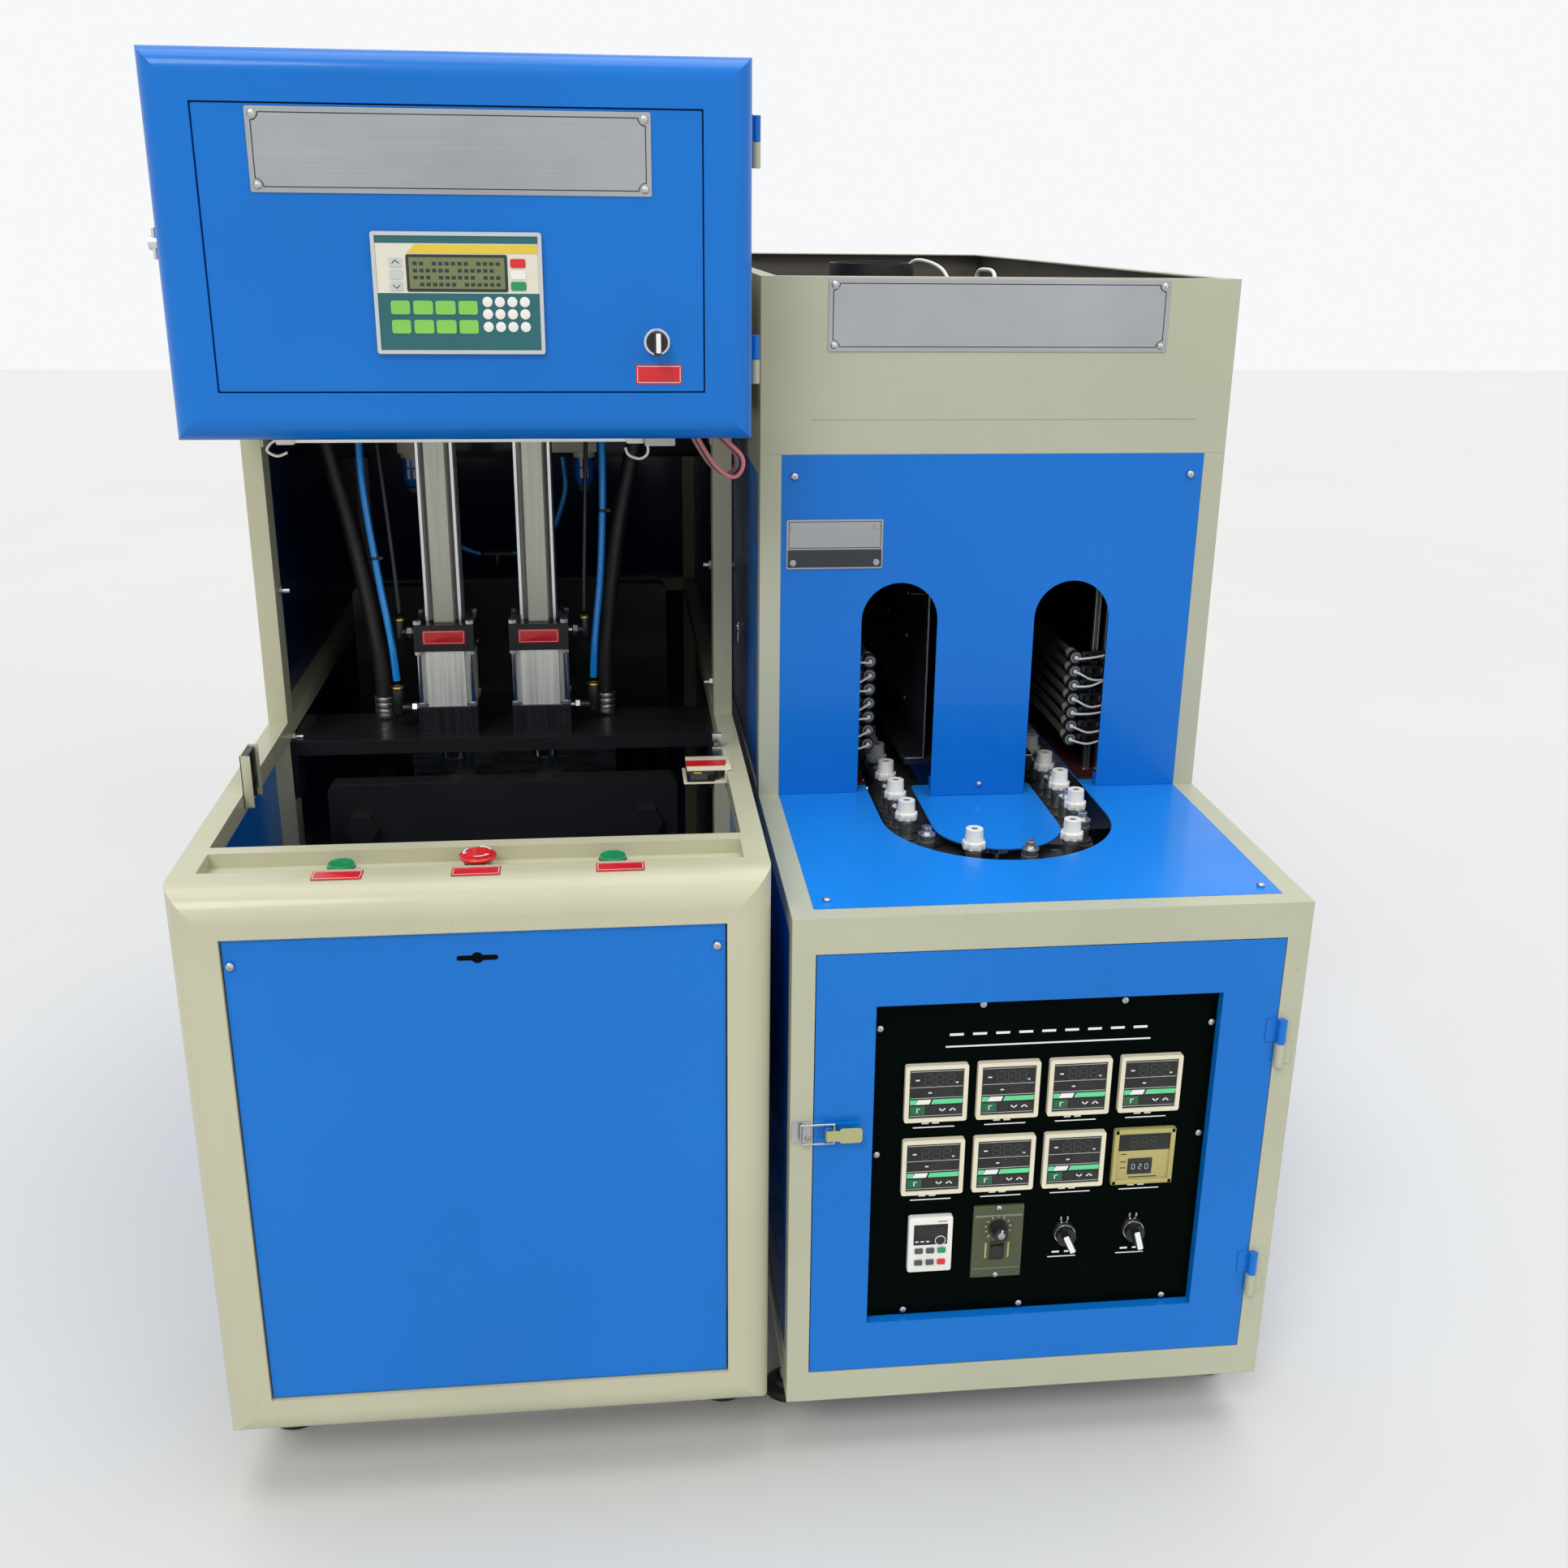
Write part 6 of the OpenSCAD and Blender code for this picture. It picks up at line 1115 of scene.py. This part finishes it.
def makeControls():
    y, body = controls["face"], "heater_door"
    sx, sz = controls["speed"]

    def onPlate(u0, u1, v0, v1, depth, soft):
        return slab(sx + u0, sx + u1, y - 4 - depth, y - 4, sz + v0, sz + v1, soft=soft)

    plate = [slab(sx - 30, sx + 30, y - 4, y, sz - 49, sz + 49, soft=0.6, corner=1)]
    finishPiece("speedPlate", plate, "olivePlastic", body, hides=("speed_controller",))
    finishPiece("speedRidges", [onPlate(-28, 28, 34, 37, 0.6, 0.25), onPlate(-28, 28, -37, -36, 0.3, 0.1)],
                "oliveLight", body)
    finishPiece("rockerBars", [onPlate(u, u + 2.2, -22, -1, 0.5, 0.2) for u in (-14.6, 12.4)], "limeFilm", body)
    rim = [onPlate(*sides, 1, 0.2) for sides in ((-8.6, -7.2, -23, -1), (7.2, 8.6, -23, -1),
                                                 (-8.6, 8.6, -24.5, -22.8), (-8.6, 8.6, -1.2, 0.2))]
    finishPiece("rockerFrame", rim, "blackPlastic", body)
    finishPiece("speedScrews", [panHead((sx, y - 4, sz + v), "-y", 7, 2, 0.5) for v in (46, -46)], "zinc", body)
    knobZ = sz + 19
    ticks = []
    for k in range(11):  # dial marks from low to high
        tick = slab(-0.4, 0.4, -0.15, 0, 13.5, 16 if k % 5 else 17.5)
        ticks.append(placed(tick, shift(sx, y - 4, knobZ) @ spun(-135 + 27 * k, "Y")))
    finishPiece("speedTicks", ticks, "whiteInk", body)
    line = placed(slab(-0.8, 0.8, -0.3, 0, 3, 8.2), shift(sx, y - 21, knobZ) @ spun(8, "Y"))
    finishPiece("speedPointer", [line], "whiteInk", "speed_knob")
    cone = turned([(0, 0), (4.4, 0), (4.4, 0.4), (3.8, 0.8), (0, 0.8)], (sx, y - 21, knobZ), "-y", 28)
    finishPiece("speedKnobCap", [cone], "machined", "speed_knob")
    grips = []
    for k in range(24):
        angle = 2 * math.pi * k / 24
        grips.append(rod("y", sx + 10.6 * math.cos(angle), knobZ + 10.6 * math.sin(angle), y - 9.8, y - 5.2, 1.6, 6))
    finishPiece("speedGrips", grips, "blackPlastic", "speed_knob")

    dx, dz = controls["drive"]
    finishPiece("driveFrame", [slab(dx - 26, dx + 26, y - 9, y, dz - 37, dz + 37, soft=1.2, corner=3, steps=3)],
                "whitePlastic", body)
    finishPiece("driveWindow", [slab(dx - 20, dx + 20, y - 9.4, y - 9, dz + 0.5, dz + 28, soft=0.2, corner=1)],
                "glossBlack", body)
    figures = [bar for k in range(4) for bar in figure(dx - 12 + k * 8, dz + 18, 5, 10, y - 9.4)]
    finishPiece("driveFigures", figures, "dimDigit", body)
    specks = [slab(dx - 18 + k * 6.4, dx - 14 + k * 6.4, y - 9.5, y - 9.4, dz + 4.4, dz + 6) for k in range(3)]
    dialSpot = (dx + 11.5, y - 9.4, dz + 6)
    circle = ring(5.6, 6.4, 0.6, dialSpot, "-y", 32)
    finishPiece("driveMarks", specks + [circle], "whiteInk", body)
    finishPiece("driveRule", [slab(dx + 8, dx + 19, y - 9.15, y - 9, dz + 31, dz + 32)], "darkInk", body)
    dial = turned([(0, 0), (5, 0), (5, 0.8), (4.4, 1.6), (0, 1.4)], dialSpot, "-y", 32)
    finishPiece("driveDial", [dial], "blackPlastic", body)
    keys = []
    for x in (dx - 13.5, dx, dx + 13.5):
        keys += [slab(x - 4.8, x + 4.8, y - 11, y - 9, z - 7, z, soft=0.6, corner=1.2) for z in (dz - 3.6, dz - 19.6)]
    finishPiece("driveKeys", keys[:4], "darkGrey", body)
    finishPiece("driveRunKey", keys[4:5], "greenPlastic", body)
    finishPiece("driveStopKey", keys[5:], "redPlastic", body)

    bezels, marks, cleats = [], [], []
    z = controls["selectorZ"]
    for x in controls["selectors"]:
        bezels.append(turned(controls["bezel"], (x, y, z), "-y", 40))
        marks += [slab(x - 12 + k * 15, x - 3 + k * 15, y - 0.15, y, z - 30, z - 27.6) for k in (0, 1)]
        marks.append(slab(x - 17, x + 17, y - 0.15, y, z - 36, z - 34.6))
        cleats += [slab(x + u, x + u + 2.2, y - 1.4, y, z + 15, z + 20, soft=0.3) for u in (-5, 3)]
    finishPiece("selectorCleats", cleats, "zinc", body)
    finishPiece("selectorBezels", bezels, "chrome", body)
    for x, (knob, turn) in zip(controls["selectors"], controls["turns"]):
        finishPiece("pointer_" + knob, [pointer(x, z, y - 28.1, turn, 28.5, 6.2)], "whiteInk", knob)
    for x in field["columns"]:  # plain rules where the legends are
        for rowZ in field["rows"]:
            marks += [slab(x - 14 + k * 12, x - 6 + k * 12, y - 0.15, y, rowZ - 42.4, rowZ - 40.4) for k in (0, 1)]
            marks.append(slab(x - 24, x + 24, y - 0.15, y, rowZ - 47.4, rowZ - 46))
    (x0, x1), z = controls["ruleX"], controls["titleZ"]
    marks += [slab(x0 + 4 + k * 26.4, x0 + 20 + k * 26.4, y - 0.15, y, z, z + 3) for k in range(9)]
    marks.append(slab(x0, x1, y - 0.15, y, controls["ruleZ"], controls["ruleZ"] + 2))
    finishPiece("panelRules", marks, "whiteInk", body)
    screws = [panHead((field["x0"] + u, controls["screwY"], field["z0"] + v), "-y", 8, 1.6, u)
              for u, v in controls["screws"]]
    finishPiece("panelScrewHeads", screws, "zinc", body)


makeControls()
print("controls made")

# Oven: lamps with ceramic ends and leads, clips, uprights, reflectors
oven = {"trackX": 322, "offset": 138, "z0": 758, "pitch": 18.9, "count": 7, "y0": -440, "length": 1020, "deckZ": 710}
# for each lamp from the lowest up: how far its lead rises half-way along and at the upright
leadShapes = ((-4, 0), (-7, -6), (0, 1), (-9, -9), (1, 12), (-9, -14), (2, 5))


def makeLamps():
    glass, ends, recesses, pins, coils = [], [], [], [], []
    y0, y1 = oven["y0"], oven["y0"] + oven["length"]
    for sign in (-1, 1):
        x = oven["trackX"] + sign * oven["offset"]
        for i, (middle, far) in enumerate(leadShapes):
            z = oven["z0"] + i * oven["pitch"]
            glass.append(rod("y", x, z, y0 + 24, y1 - 24, 10, 20))
            coils.append(rod("y", x, z, y0 + 26, y1 - 26, 2.2, 8))
            for y, inward, outward in ((y0, "y", "-y"), (y1, "-y", "y")):
                ends.append(turned([(0, 0), (6.4, 0), (7.2, 0.9), (7.2, 26), (6.4, 29), (0, 29)], (x, y, z),
                                   inward, 24))
                # painted shade: a thin dark ring round the pin stands for the hollow in the ceramic end
                recesses.append(ring(2.8, 5.4, 0.5, (x, y, z), outward, 20))
                pins.append(turned([(0, 0), (2.8, 0), (3, 0.6), (3, 3.4), (2.2, 4.4), (0, 4.4)], (x, y, z),
                                   outward, 16))
            tubePiece("lampLead_%d" % (i + 1 + (sign > 0) * oven["count"]),
                      [(x, y0 - 3.5, z), (x + sign * 4, y0 - 8, z + middle * 0.1),
                       (x + sign * 20, y0 - 9, z + middle), (x + sign * 38, y0 - 4, z + (middle + far) / 2),
                       (x + sign * 51, y0 + 8, z + far), (x + sign * 57, y0 + 28, z + far - 3)], 3, "whitePlastic",
                      steps=4, rounding=2)
    finishPiece("lampGlass", glass, "quartz", hides=("lamp_tubes",))
    finishPiece("lampFilaments", coils, "brass")
    finishPiece("lampEnds", ends, "ceramic")
    finishPiece("lampRecessShade", recesses, "darkGrey")
    finishPiece("lampPins", pins, "whitePlastic")


def makeLampHolders():
    uprights, clips, knobs, sheets = [], [], [], []
    top = oven["z0"] + oven["count"] * oven["pitch"] + 120
    y0, y1 = oven["y0"], oven["y0"] + oven["length"]
    for sign in (-1, 1):
        x = oven["trackX"] + sign * oven["offset"]
        for y, clipY, way in ((y0 + 8, y0 - 0.8, -1), (y1 - 20, y1 - 8.2, 1)):
            for u in (24, 40):
                lo, hi = sorted((x + sign * u, x + sign * (u + 8)))
                for a, b in ((lo, lo + 2.4), (hi - 2.4, hi)):
                    uprights.append(slab(a, b, y, y + 12, oven["deckZ"], top, soft=0.4))
                uprights.append(slab(lo, hi, y + 9, y + 12, oven["deckZ"], top, soft=0.4))
                uprights.append(slab(lo - 2, hi + 2, y - 2, y + 12, oven["deckZ"], oven["deckZ"] + 3, soft=0.5))
            for i in range(oven["count"]):
                z = oven["z0"] + i * oven["pitch"]
                lo, hi = sorted((x + sign * 8.4, x + sign * 48))
                clips.append(slab(lo, hi, clipY + 1.5, clipY + 7.5, z - 7.4, z + 7.4, soft=0.6, corner=3))
                clips.append(turned([(7.3, 0), (8.7, 0), (9, 0.4), (9, 8.6), (8.7, 9), (7.3, 9), (7.3, 0)],
                                    (x, clipY, z), "y", 24))
                faceY = clipY + (1.5 if way < 0 else 7.5)
                for u, w in ((14, 5), (25, 9)):  # pressed windows in the clip
                    knobs.append(placed(slab(-w / 2, w / 2, -0.5, 0.5, -4, 4, soft=0.3, corner=1.6),
                                        shift(x + sign * u, faceY, z)))
                if i % 2 or i == oven["count"] - 1:
                    knobs.append(turned([(0, 7), (4.4, 6.6), (6.4, 5.4), (6.8, 3), (5.6, 1.4), (3, 0), (0, 0)],
                                        (x + sign * 39, faceY, z), "-y" if way < 0 else "y", 24))
        lo, hi = sorted((x + sign * 62, x + sign * 64))
        sheets.append(slab(lo, hi, y0, y1, oven["deckZ"], top, soft=0.4))
        lo, hi = sorted((x + sign * 48, x + sign * 62))
        for y in (y0 + 9, y1 - 19):
            sheets.append(slab(lo, hi, y, y + 10, top - 30, top - 20, soft=0.4))
    finishPiece("lampUprights", uprights, "zinc", hides=("lamp_holders",))
    finishPiece("lampClips", clips, "blackPaint")
    finishPiece("lampClipKnobs", knobs, "glossBlack")
    finishPiece("sideReflectors", sheets, "mirror")


# Boards that lie on the deck beside the runs, and the dark lining of the hood's open tray, a bare steel tone darkened
# as painted shade, with the fan's cable
lining = {"boards": ((52, 177.6), (466.4, 592)), "boardY": (-466, 600), "tray": (36, 612, -493, 914),
          "floorZ": 1292, "topZ": 1350, "fan": (326, 520, 84),
          "junctions": ((416, 478, 268, 338), (418, 446, -14, 22)),
          "cables": (((386, 506, 1334), (398, 486, 1349), (408, 400, 1348), (416, 330, 1338), (424, 310, 1320)),
                     ((466, 300, 1320), (468, 284, 1338), (462, 200, 1342), (450, 110, 1342), (440, 50, 1334),
                      (432, 16, 1312), (432, 4, 1299)))}


def makeLining():
    boards = [slab(x0, x1, *lining["boardY"], oven["deckZ"] + 0.2, oven["deckZ"] + 2.4, soft=0.3)
              for x0, x1 in lining["boards"]]
    finishPiece("deckBoards", boards, "boardBrown")
    x0, x1, y0, y1 = lining["tray"]
    z0, z1 = lining["floorZ"], lining["topZ"]
    fanX, fanY, half = lining["fan"]
    # painted shade: thin dark sheets on the tray's walls and floor, where its inside lies in shadow
    walls = ((x0, x0 + 0.6, y0, y1), (x1 - 0.6, x1, y0, y1), (x0, x1, y0, y0 + 0.6), (x0, x1, y1 - 0.6, y1))
    floors = ((x0, fanX - half, y0, y1), (fanX + half, x1, y0, y1),
              (fanX - half, fanX + half, y0, fanY - half), (fanX - half, fanX + half, fanY + half, y1))
    sheets = [slab(*sides, z0, z1) for sides in walls] + [slab(*sides, z0, z0 + 0.6) for sides in floors]
    finishPiece("trayShadeLining", sheets, "trayShadeSteel")
    for k, route in enumerate(lining["cables"]):
        tubePiece("fanCable_%d" % (k + 1), route, 6, "whitePlastic", steps=5)
    box, gland = lining["junctions"]
    finishPiece("fanJunction", [slab(*box, z0, z0 + 30, soft=2, steps=3), slab(*gland, z0, z0 + 9, soft=1.5)],
                "blackPlastic")


makeLining()
print("lining made")

makeLamps()
makeLampHolders()
print("lamps made")

# Reflector trays: bright cut edges and screws
tray = {"z0": 736, "z1": 961, "y": -440, "walls": ((259, -1), (385, 1)), "screwZ": (779, 870, 930),
        "screwY": [-297 + 150 * k for k in range(6)]}


def makeTrayTrim():
    edges, screws = [], []
    for x, sign in tray["walls"]:
        lo, hi = sorted((x, x - sign * 2))
        edges.append(slab(lo, hi, tray["y"] - 0.4, tray["y"], tray["z0"], tray["z1"]))
        lo, hi = sorted((x - sign * 2, x + sign * 24))
        edges.append(slab(lo, hi, tray["y"] - 0.4, tray["y"], tray["z0"], tray["z0"] + 2))
        for z in tray["screwZ"]:
            for k, y in enumerate(tray["screwY"]):
                screws.append(panHead((x, y, z), "x" if sign > 0 else "-x", 7, 2, k))
    finishPiece("trayEdges", edges, "zinc")
    finishPiece("trayScrews", screws, "zinc")


makeTrayTrim()

# Preform caps: lobed flange, tapered top with a socket
cap = {"every": 2, "links": 74, "straight": 32, "turn": 5, "pitch": 38.1, "phase": 0.27, "trackX": 322,
       "turnY": -597, "reach": 50, "z": 708}


def loopPoint(u):
    # a place on the chain's pitch line; u counts links from the left end of the front turn
    turn, straight, pitch = cap["turn"], cap["straight"], cap["pitch"]
    radius = pitch / (2 * math.sin(math.radians(90 / turn)))
    run = straight * pitch
    v = u % cap["links"]
    if v < turn:
        angle, x, y = math.radians(180 + 180 * v / turn), 0, 0
    elif v < turn + straight:
        angle, x, y = None, radius, (v - turn) * pitch
    elif v < 2 * turn + straight:
        angle, x, y = math.radians(180 * (v - turn - straight) / turn), 0, run
    else:
        angle, x, y = None, -radius, run - (v - 2 * turn - straight) * pitch
    if angle is not None:
        x, y = x + radius * math.cos(angle), y + radius * math.sin(angle)
    return Vector((cap["trackX"] + x, cap["turnY"] + y))


def spindleSpot(i):
    a, b = loopPoint(i + cap["phase"]), loopPoint(i + 1 + cap["phase"])
    along = (b - a).normalized()
    return (a + b) / 2 + Vector((along.y, -along.x)) * cap["reach"], math.atan2(along.y, along.x)


def makeCaps():
    shapes, holes, collars = [], [], []
    profile = [(4.2, 25), (9.9, 25), (10.3, 24.6), (10.9, 9.4), (11.2, 8.9), (13.9, 8.7), (14.2, 8.3), (14.2, 0.5),
               (13.8, 0), (4.7, 0), (4.7, 16), (4.2, 17), (4.2, 25)]
    for i in range(cap["links"]):
        spot, angle = spindleSpot(i)
        if i % cap["every"] == 1:
            shape = turned(profile, (0, 0, 0), sides=40)
            for vert in shape.verts:  # eight flat lobes on the flange, faint flats on the body
                wave = max(-0.5, min(0.5, math.cos(8 * math.atan2(vert.co.y, vert.co.x))))
                radius = math.hypot(vert.co.x, vert.co.y)
                grow = 1 + wave * (0.13 if radius > 13 else 0.03 if radius > 9 else 0) - (0.06 if radius > 13 else 0)
                vert.co.x *= grow
                vert.co.y *= grow
            shapes.append(placed(shape, shift(spot.x, spot.y, cap["z"]) @ Matrix.Rotation(angle, 4, "Z")))
            # painted shade: a dark grey plug fills the cap's bore to just below its top
            holes.append(rod("z", spot.x, spot.y, cap["z"] + 14, cap["z"] + 23.8, 8.3, 16))
            collars.append(ring(9.05, 10.2, 4, (spot.x, spot.y, cap["z"] - 8), sides=20))
        else:
            collars.append(ring(9.05, 10.4, 5, (spot.x, spot.y, cap["z"] - 12), sides=20))
            # painted shade: a dark grey disc on the bare spindle's top stands for its hole
            holes.append(rod("z", spot.x, spot.y, cap["z"] + 9, cap["z"] + 11.2, 4.6, 12))
    finishPiece("preformCaps", shapes, "whitePlastic", hides=("preform_caps",))
    finishPiece("capSocketShade", holes, "darkGrey")
    finishPiece("spindleCollars", collars, "darkGrey")


makeCaps()
print("caps made")

# Screws and seams on the sheets, bolts on the posts
sheetTrim = {"crease": (96, 574, 1187), "ovenY": -497, "ovenScrews": ((76, 1120, 9.5, 2.4), (572, 1120, 9.5, 2.4)),
             "archScrew": (324, 718), "deckScrews": ((77, -842, 712), (571, -842, 712)), "boltY": -309,
             "bolts": (("-x", -13, -25, -18, (811, 975)), ("x", -585, -580, -570, (745, 947))),
             "lugs": ((-25, -13, -484, -476, 761, 773), (-25, -13, -484, -476, 779, 791))}


def makeSheetTrim():
    x0, x1, z = sheetTrim["crease"]
    finishPiece("hoodCrease", [slab(x0, x1, -495.25, -495, z, z + 1.1)], "greyGreenPaint")
    screws = [panHead((x, sheetTrim["ovenY"], z), "-y", width, height, x)
              for x, z, width, height in sheetTrim["ovenScrews"]]
    x, z = sheetTrim["archScrew"]
    screws.append(panHead((x, sheetTrim["ovenY"], z), "-y", 7, 1.8, 0.2))
    screws += [panHead(spot, "z", 9.5, 2.2, spot[0]) for spot in sheetTrim["deckScrews"]]
    finishPiece("sheetScrews", screws, "zinc")
    bolts, y = [], sheetTrim["boltY"]
    for axis, x, x0, x1, heights in sheetTrim["bolts"]:
        for z in heights:
            bolts += [hexNut((x, y, z), axis, 13, 5), rod("x", y, z, x0, x1, 7, 12)]
    bolts += [slab(*sides, soft=0.5) for sides in sheetTrim["lugs"]]
    finishPiece("postBolts", bolts, "zinc")


# Brackets between posts and control box, swing lock on the heater's left side sheet
fixings = {"bracketX": (-584.8, -13.2), "bracketY": (-329, -289), "boxZ": 1182, "lock": (34, -196, -178, 834, 866),
           "bolt": (-92, 928)}


def makeFixings():
    brackets = []
    (xa, xb), (y0, y1), z = fixings["bracketX"], fixings["bracketY"], fixings["boxZ"]
    for x, sign in ((xa, 1), (xb, -1)):
        lo, hi = sorted((x, x + sign * 42))
        brackets.append(slab(lo, hi, y0, y1, z - 3.2, z - 0.2, soft=0.5))
        lo, hi = sorted((x, x + sign * 3))
        brackets.append(slab(lo, hi, y0, y1, z - 46, z - 0.2, soft=0.5))
    finishPiece("boxBrackets", brackets, "beigePaint")
    x, y0, y1, z0, z1 = fixings["lock"]
    y, z = (y0 + y1) / 2, (z0 + z1) / 2
    lock = [slab(x - 2.4, x, y0, y1, z0, z1, soft=0.6, corner=8.9, along="x"),
            rod("x", y, z + 6, x - 5, x - 2, 11, 24, 0.6), slab(x - 5.6, x - 4.8, y - 0.8, y + 0.8, z + 2, z + 10),
            hexNut((x, *fixings["bolt"]), "-x", 11, 4)]
    finishPiece("sideLock", lock, "chrome")


makeSheetTrim()
makeFixings()
print("sheet trim made")

# Floor, light and background
studio = {"floor": srgb(208, 208, 206), "world": 0.52, "suns": (("keyLight", 1.32, 24, (-0.55, -1.0, 1.15)),
                                                                ("fillLight", 0.46, 40, (1.0, -1.1, 0.7)),
                                                                ("topLight", 1.6, 50, (0.05, 0.1, 1)))}


def makeStudio():
    bm = bmesh.new()
    bmesh.ops.create_grid(bm, x_segments=1, y_segments=1, size=14)
    mesh = bpy.data.meshes.new("floor")
    bm.to_mesh(mesh)
    bm.free()
    floor = bpy.data.objects.new("floor", mesh)
    bpy.context.scene.collection.objects.link(floor)
    g = Graph()
    g.join(g.blend(g.spread(g.noise(0.8, 4), 0.35, 0.7), shade(studio["floor"], 0.97), studio["floor"]),
           g.surface.inputs["Base Color"])
    g.material.name = "floorPaint"
    mesh.materials.append(g.set(roughness=0.65).material)
    for name, strength, spread, toward in studio["suns"]:
        data = bpy.data.lights.new(name, "SUN")
        data.energy = strength
        data.angle = math.radians(spread)
        lamp = bpy.data.objects.new(name, data)
        lamp.rotation_euler = Vector(toward).to_track_quat("Z", "Y").to_euler()
        bpy.context.scene.collection.objects.link(lamp)
    world = bpy.data.worlds.new("studio")
    bpy.context.scene.world = world
    world.use_nodes = True
    nodes, links = world.node_tree.nodes, world.node_tree.links
    path = nodes.new("ShaderNodeLightPath")
    seen = path.outputs["Is Camera Ray"]
    for kind in ("Is Transmission Ray", "Is Glossy Ray"):
        either = nodes.new("ShaderNodeMath")
        either.operation = "MAXIMUM"
        links.new(seen, either.inputs[0])
        links.new(path.outputs[kind], either.inputs[1])
        seen = either.outputs["Value"]
    pick = nodes.new("ShaderNodeMapRange")
    pick.inputs["To Min"].default_value = studio["world"]
    pick.inputs["To Max"].default_value = 1.0
    links.new(seen, pick.inputs["Value"])
    background = nodes["Background"]
    background.inputs["Color"].default_value = (0.93, 0.94, 0.95, 1)
    links.new(pick.outputs["Result"], background.inputs["Strength"])
    bpy.context.scene.view_settings.view_transform = "Standard"


makeStudio()
print("studio made")
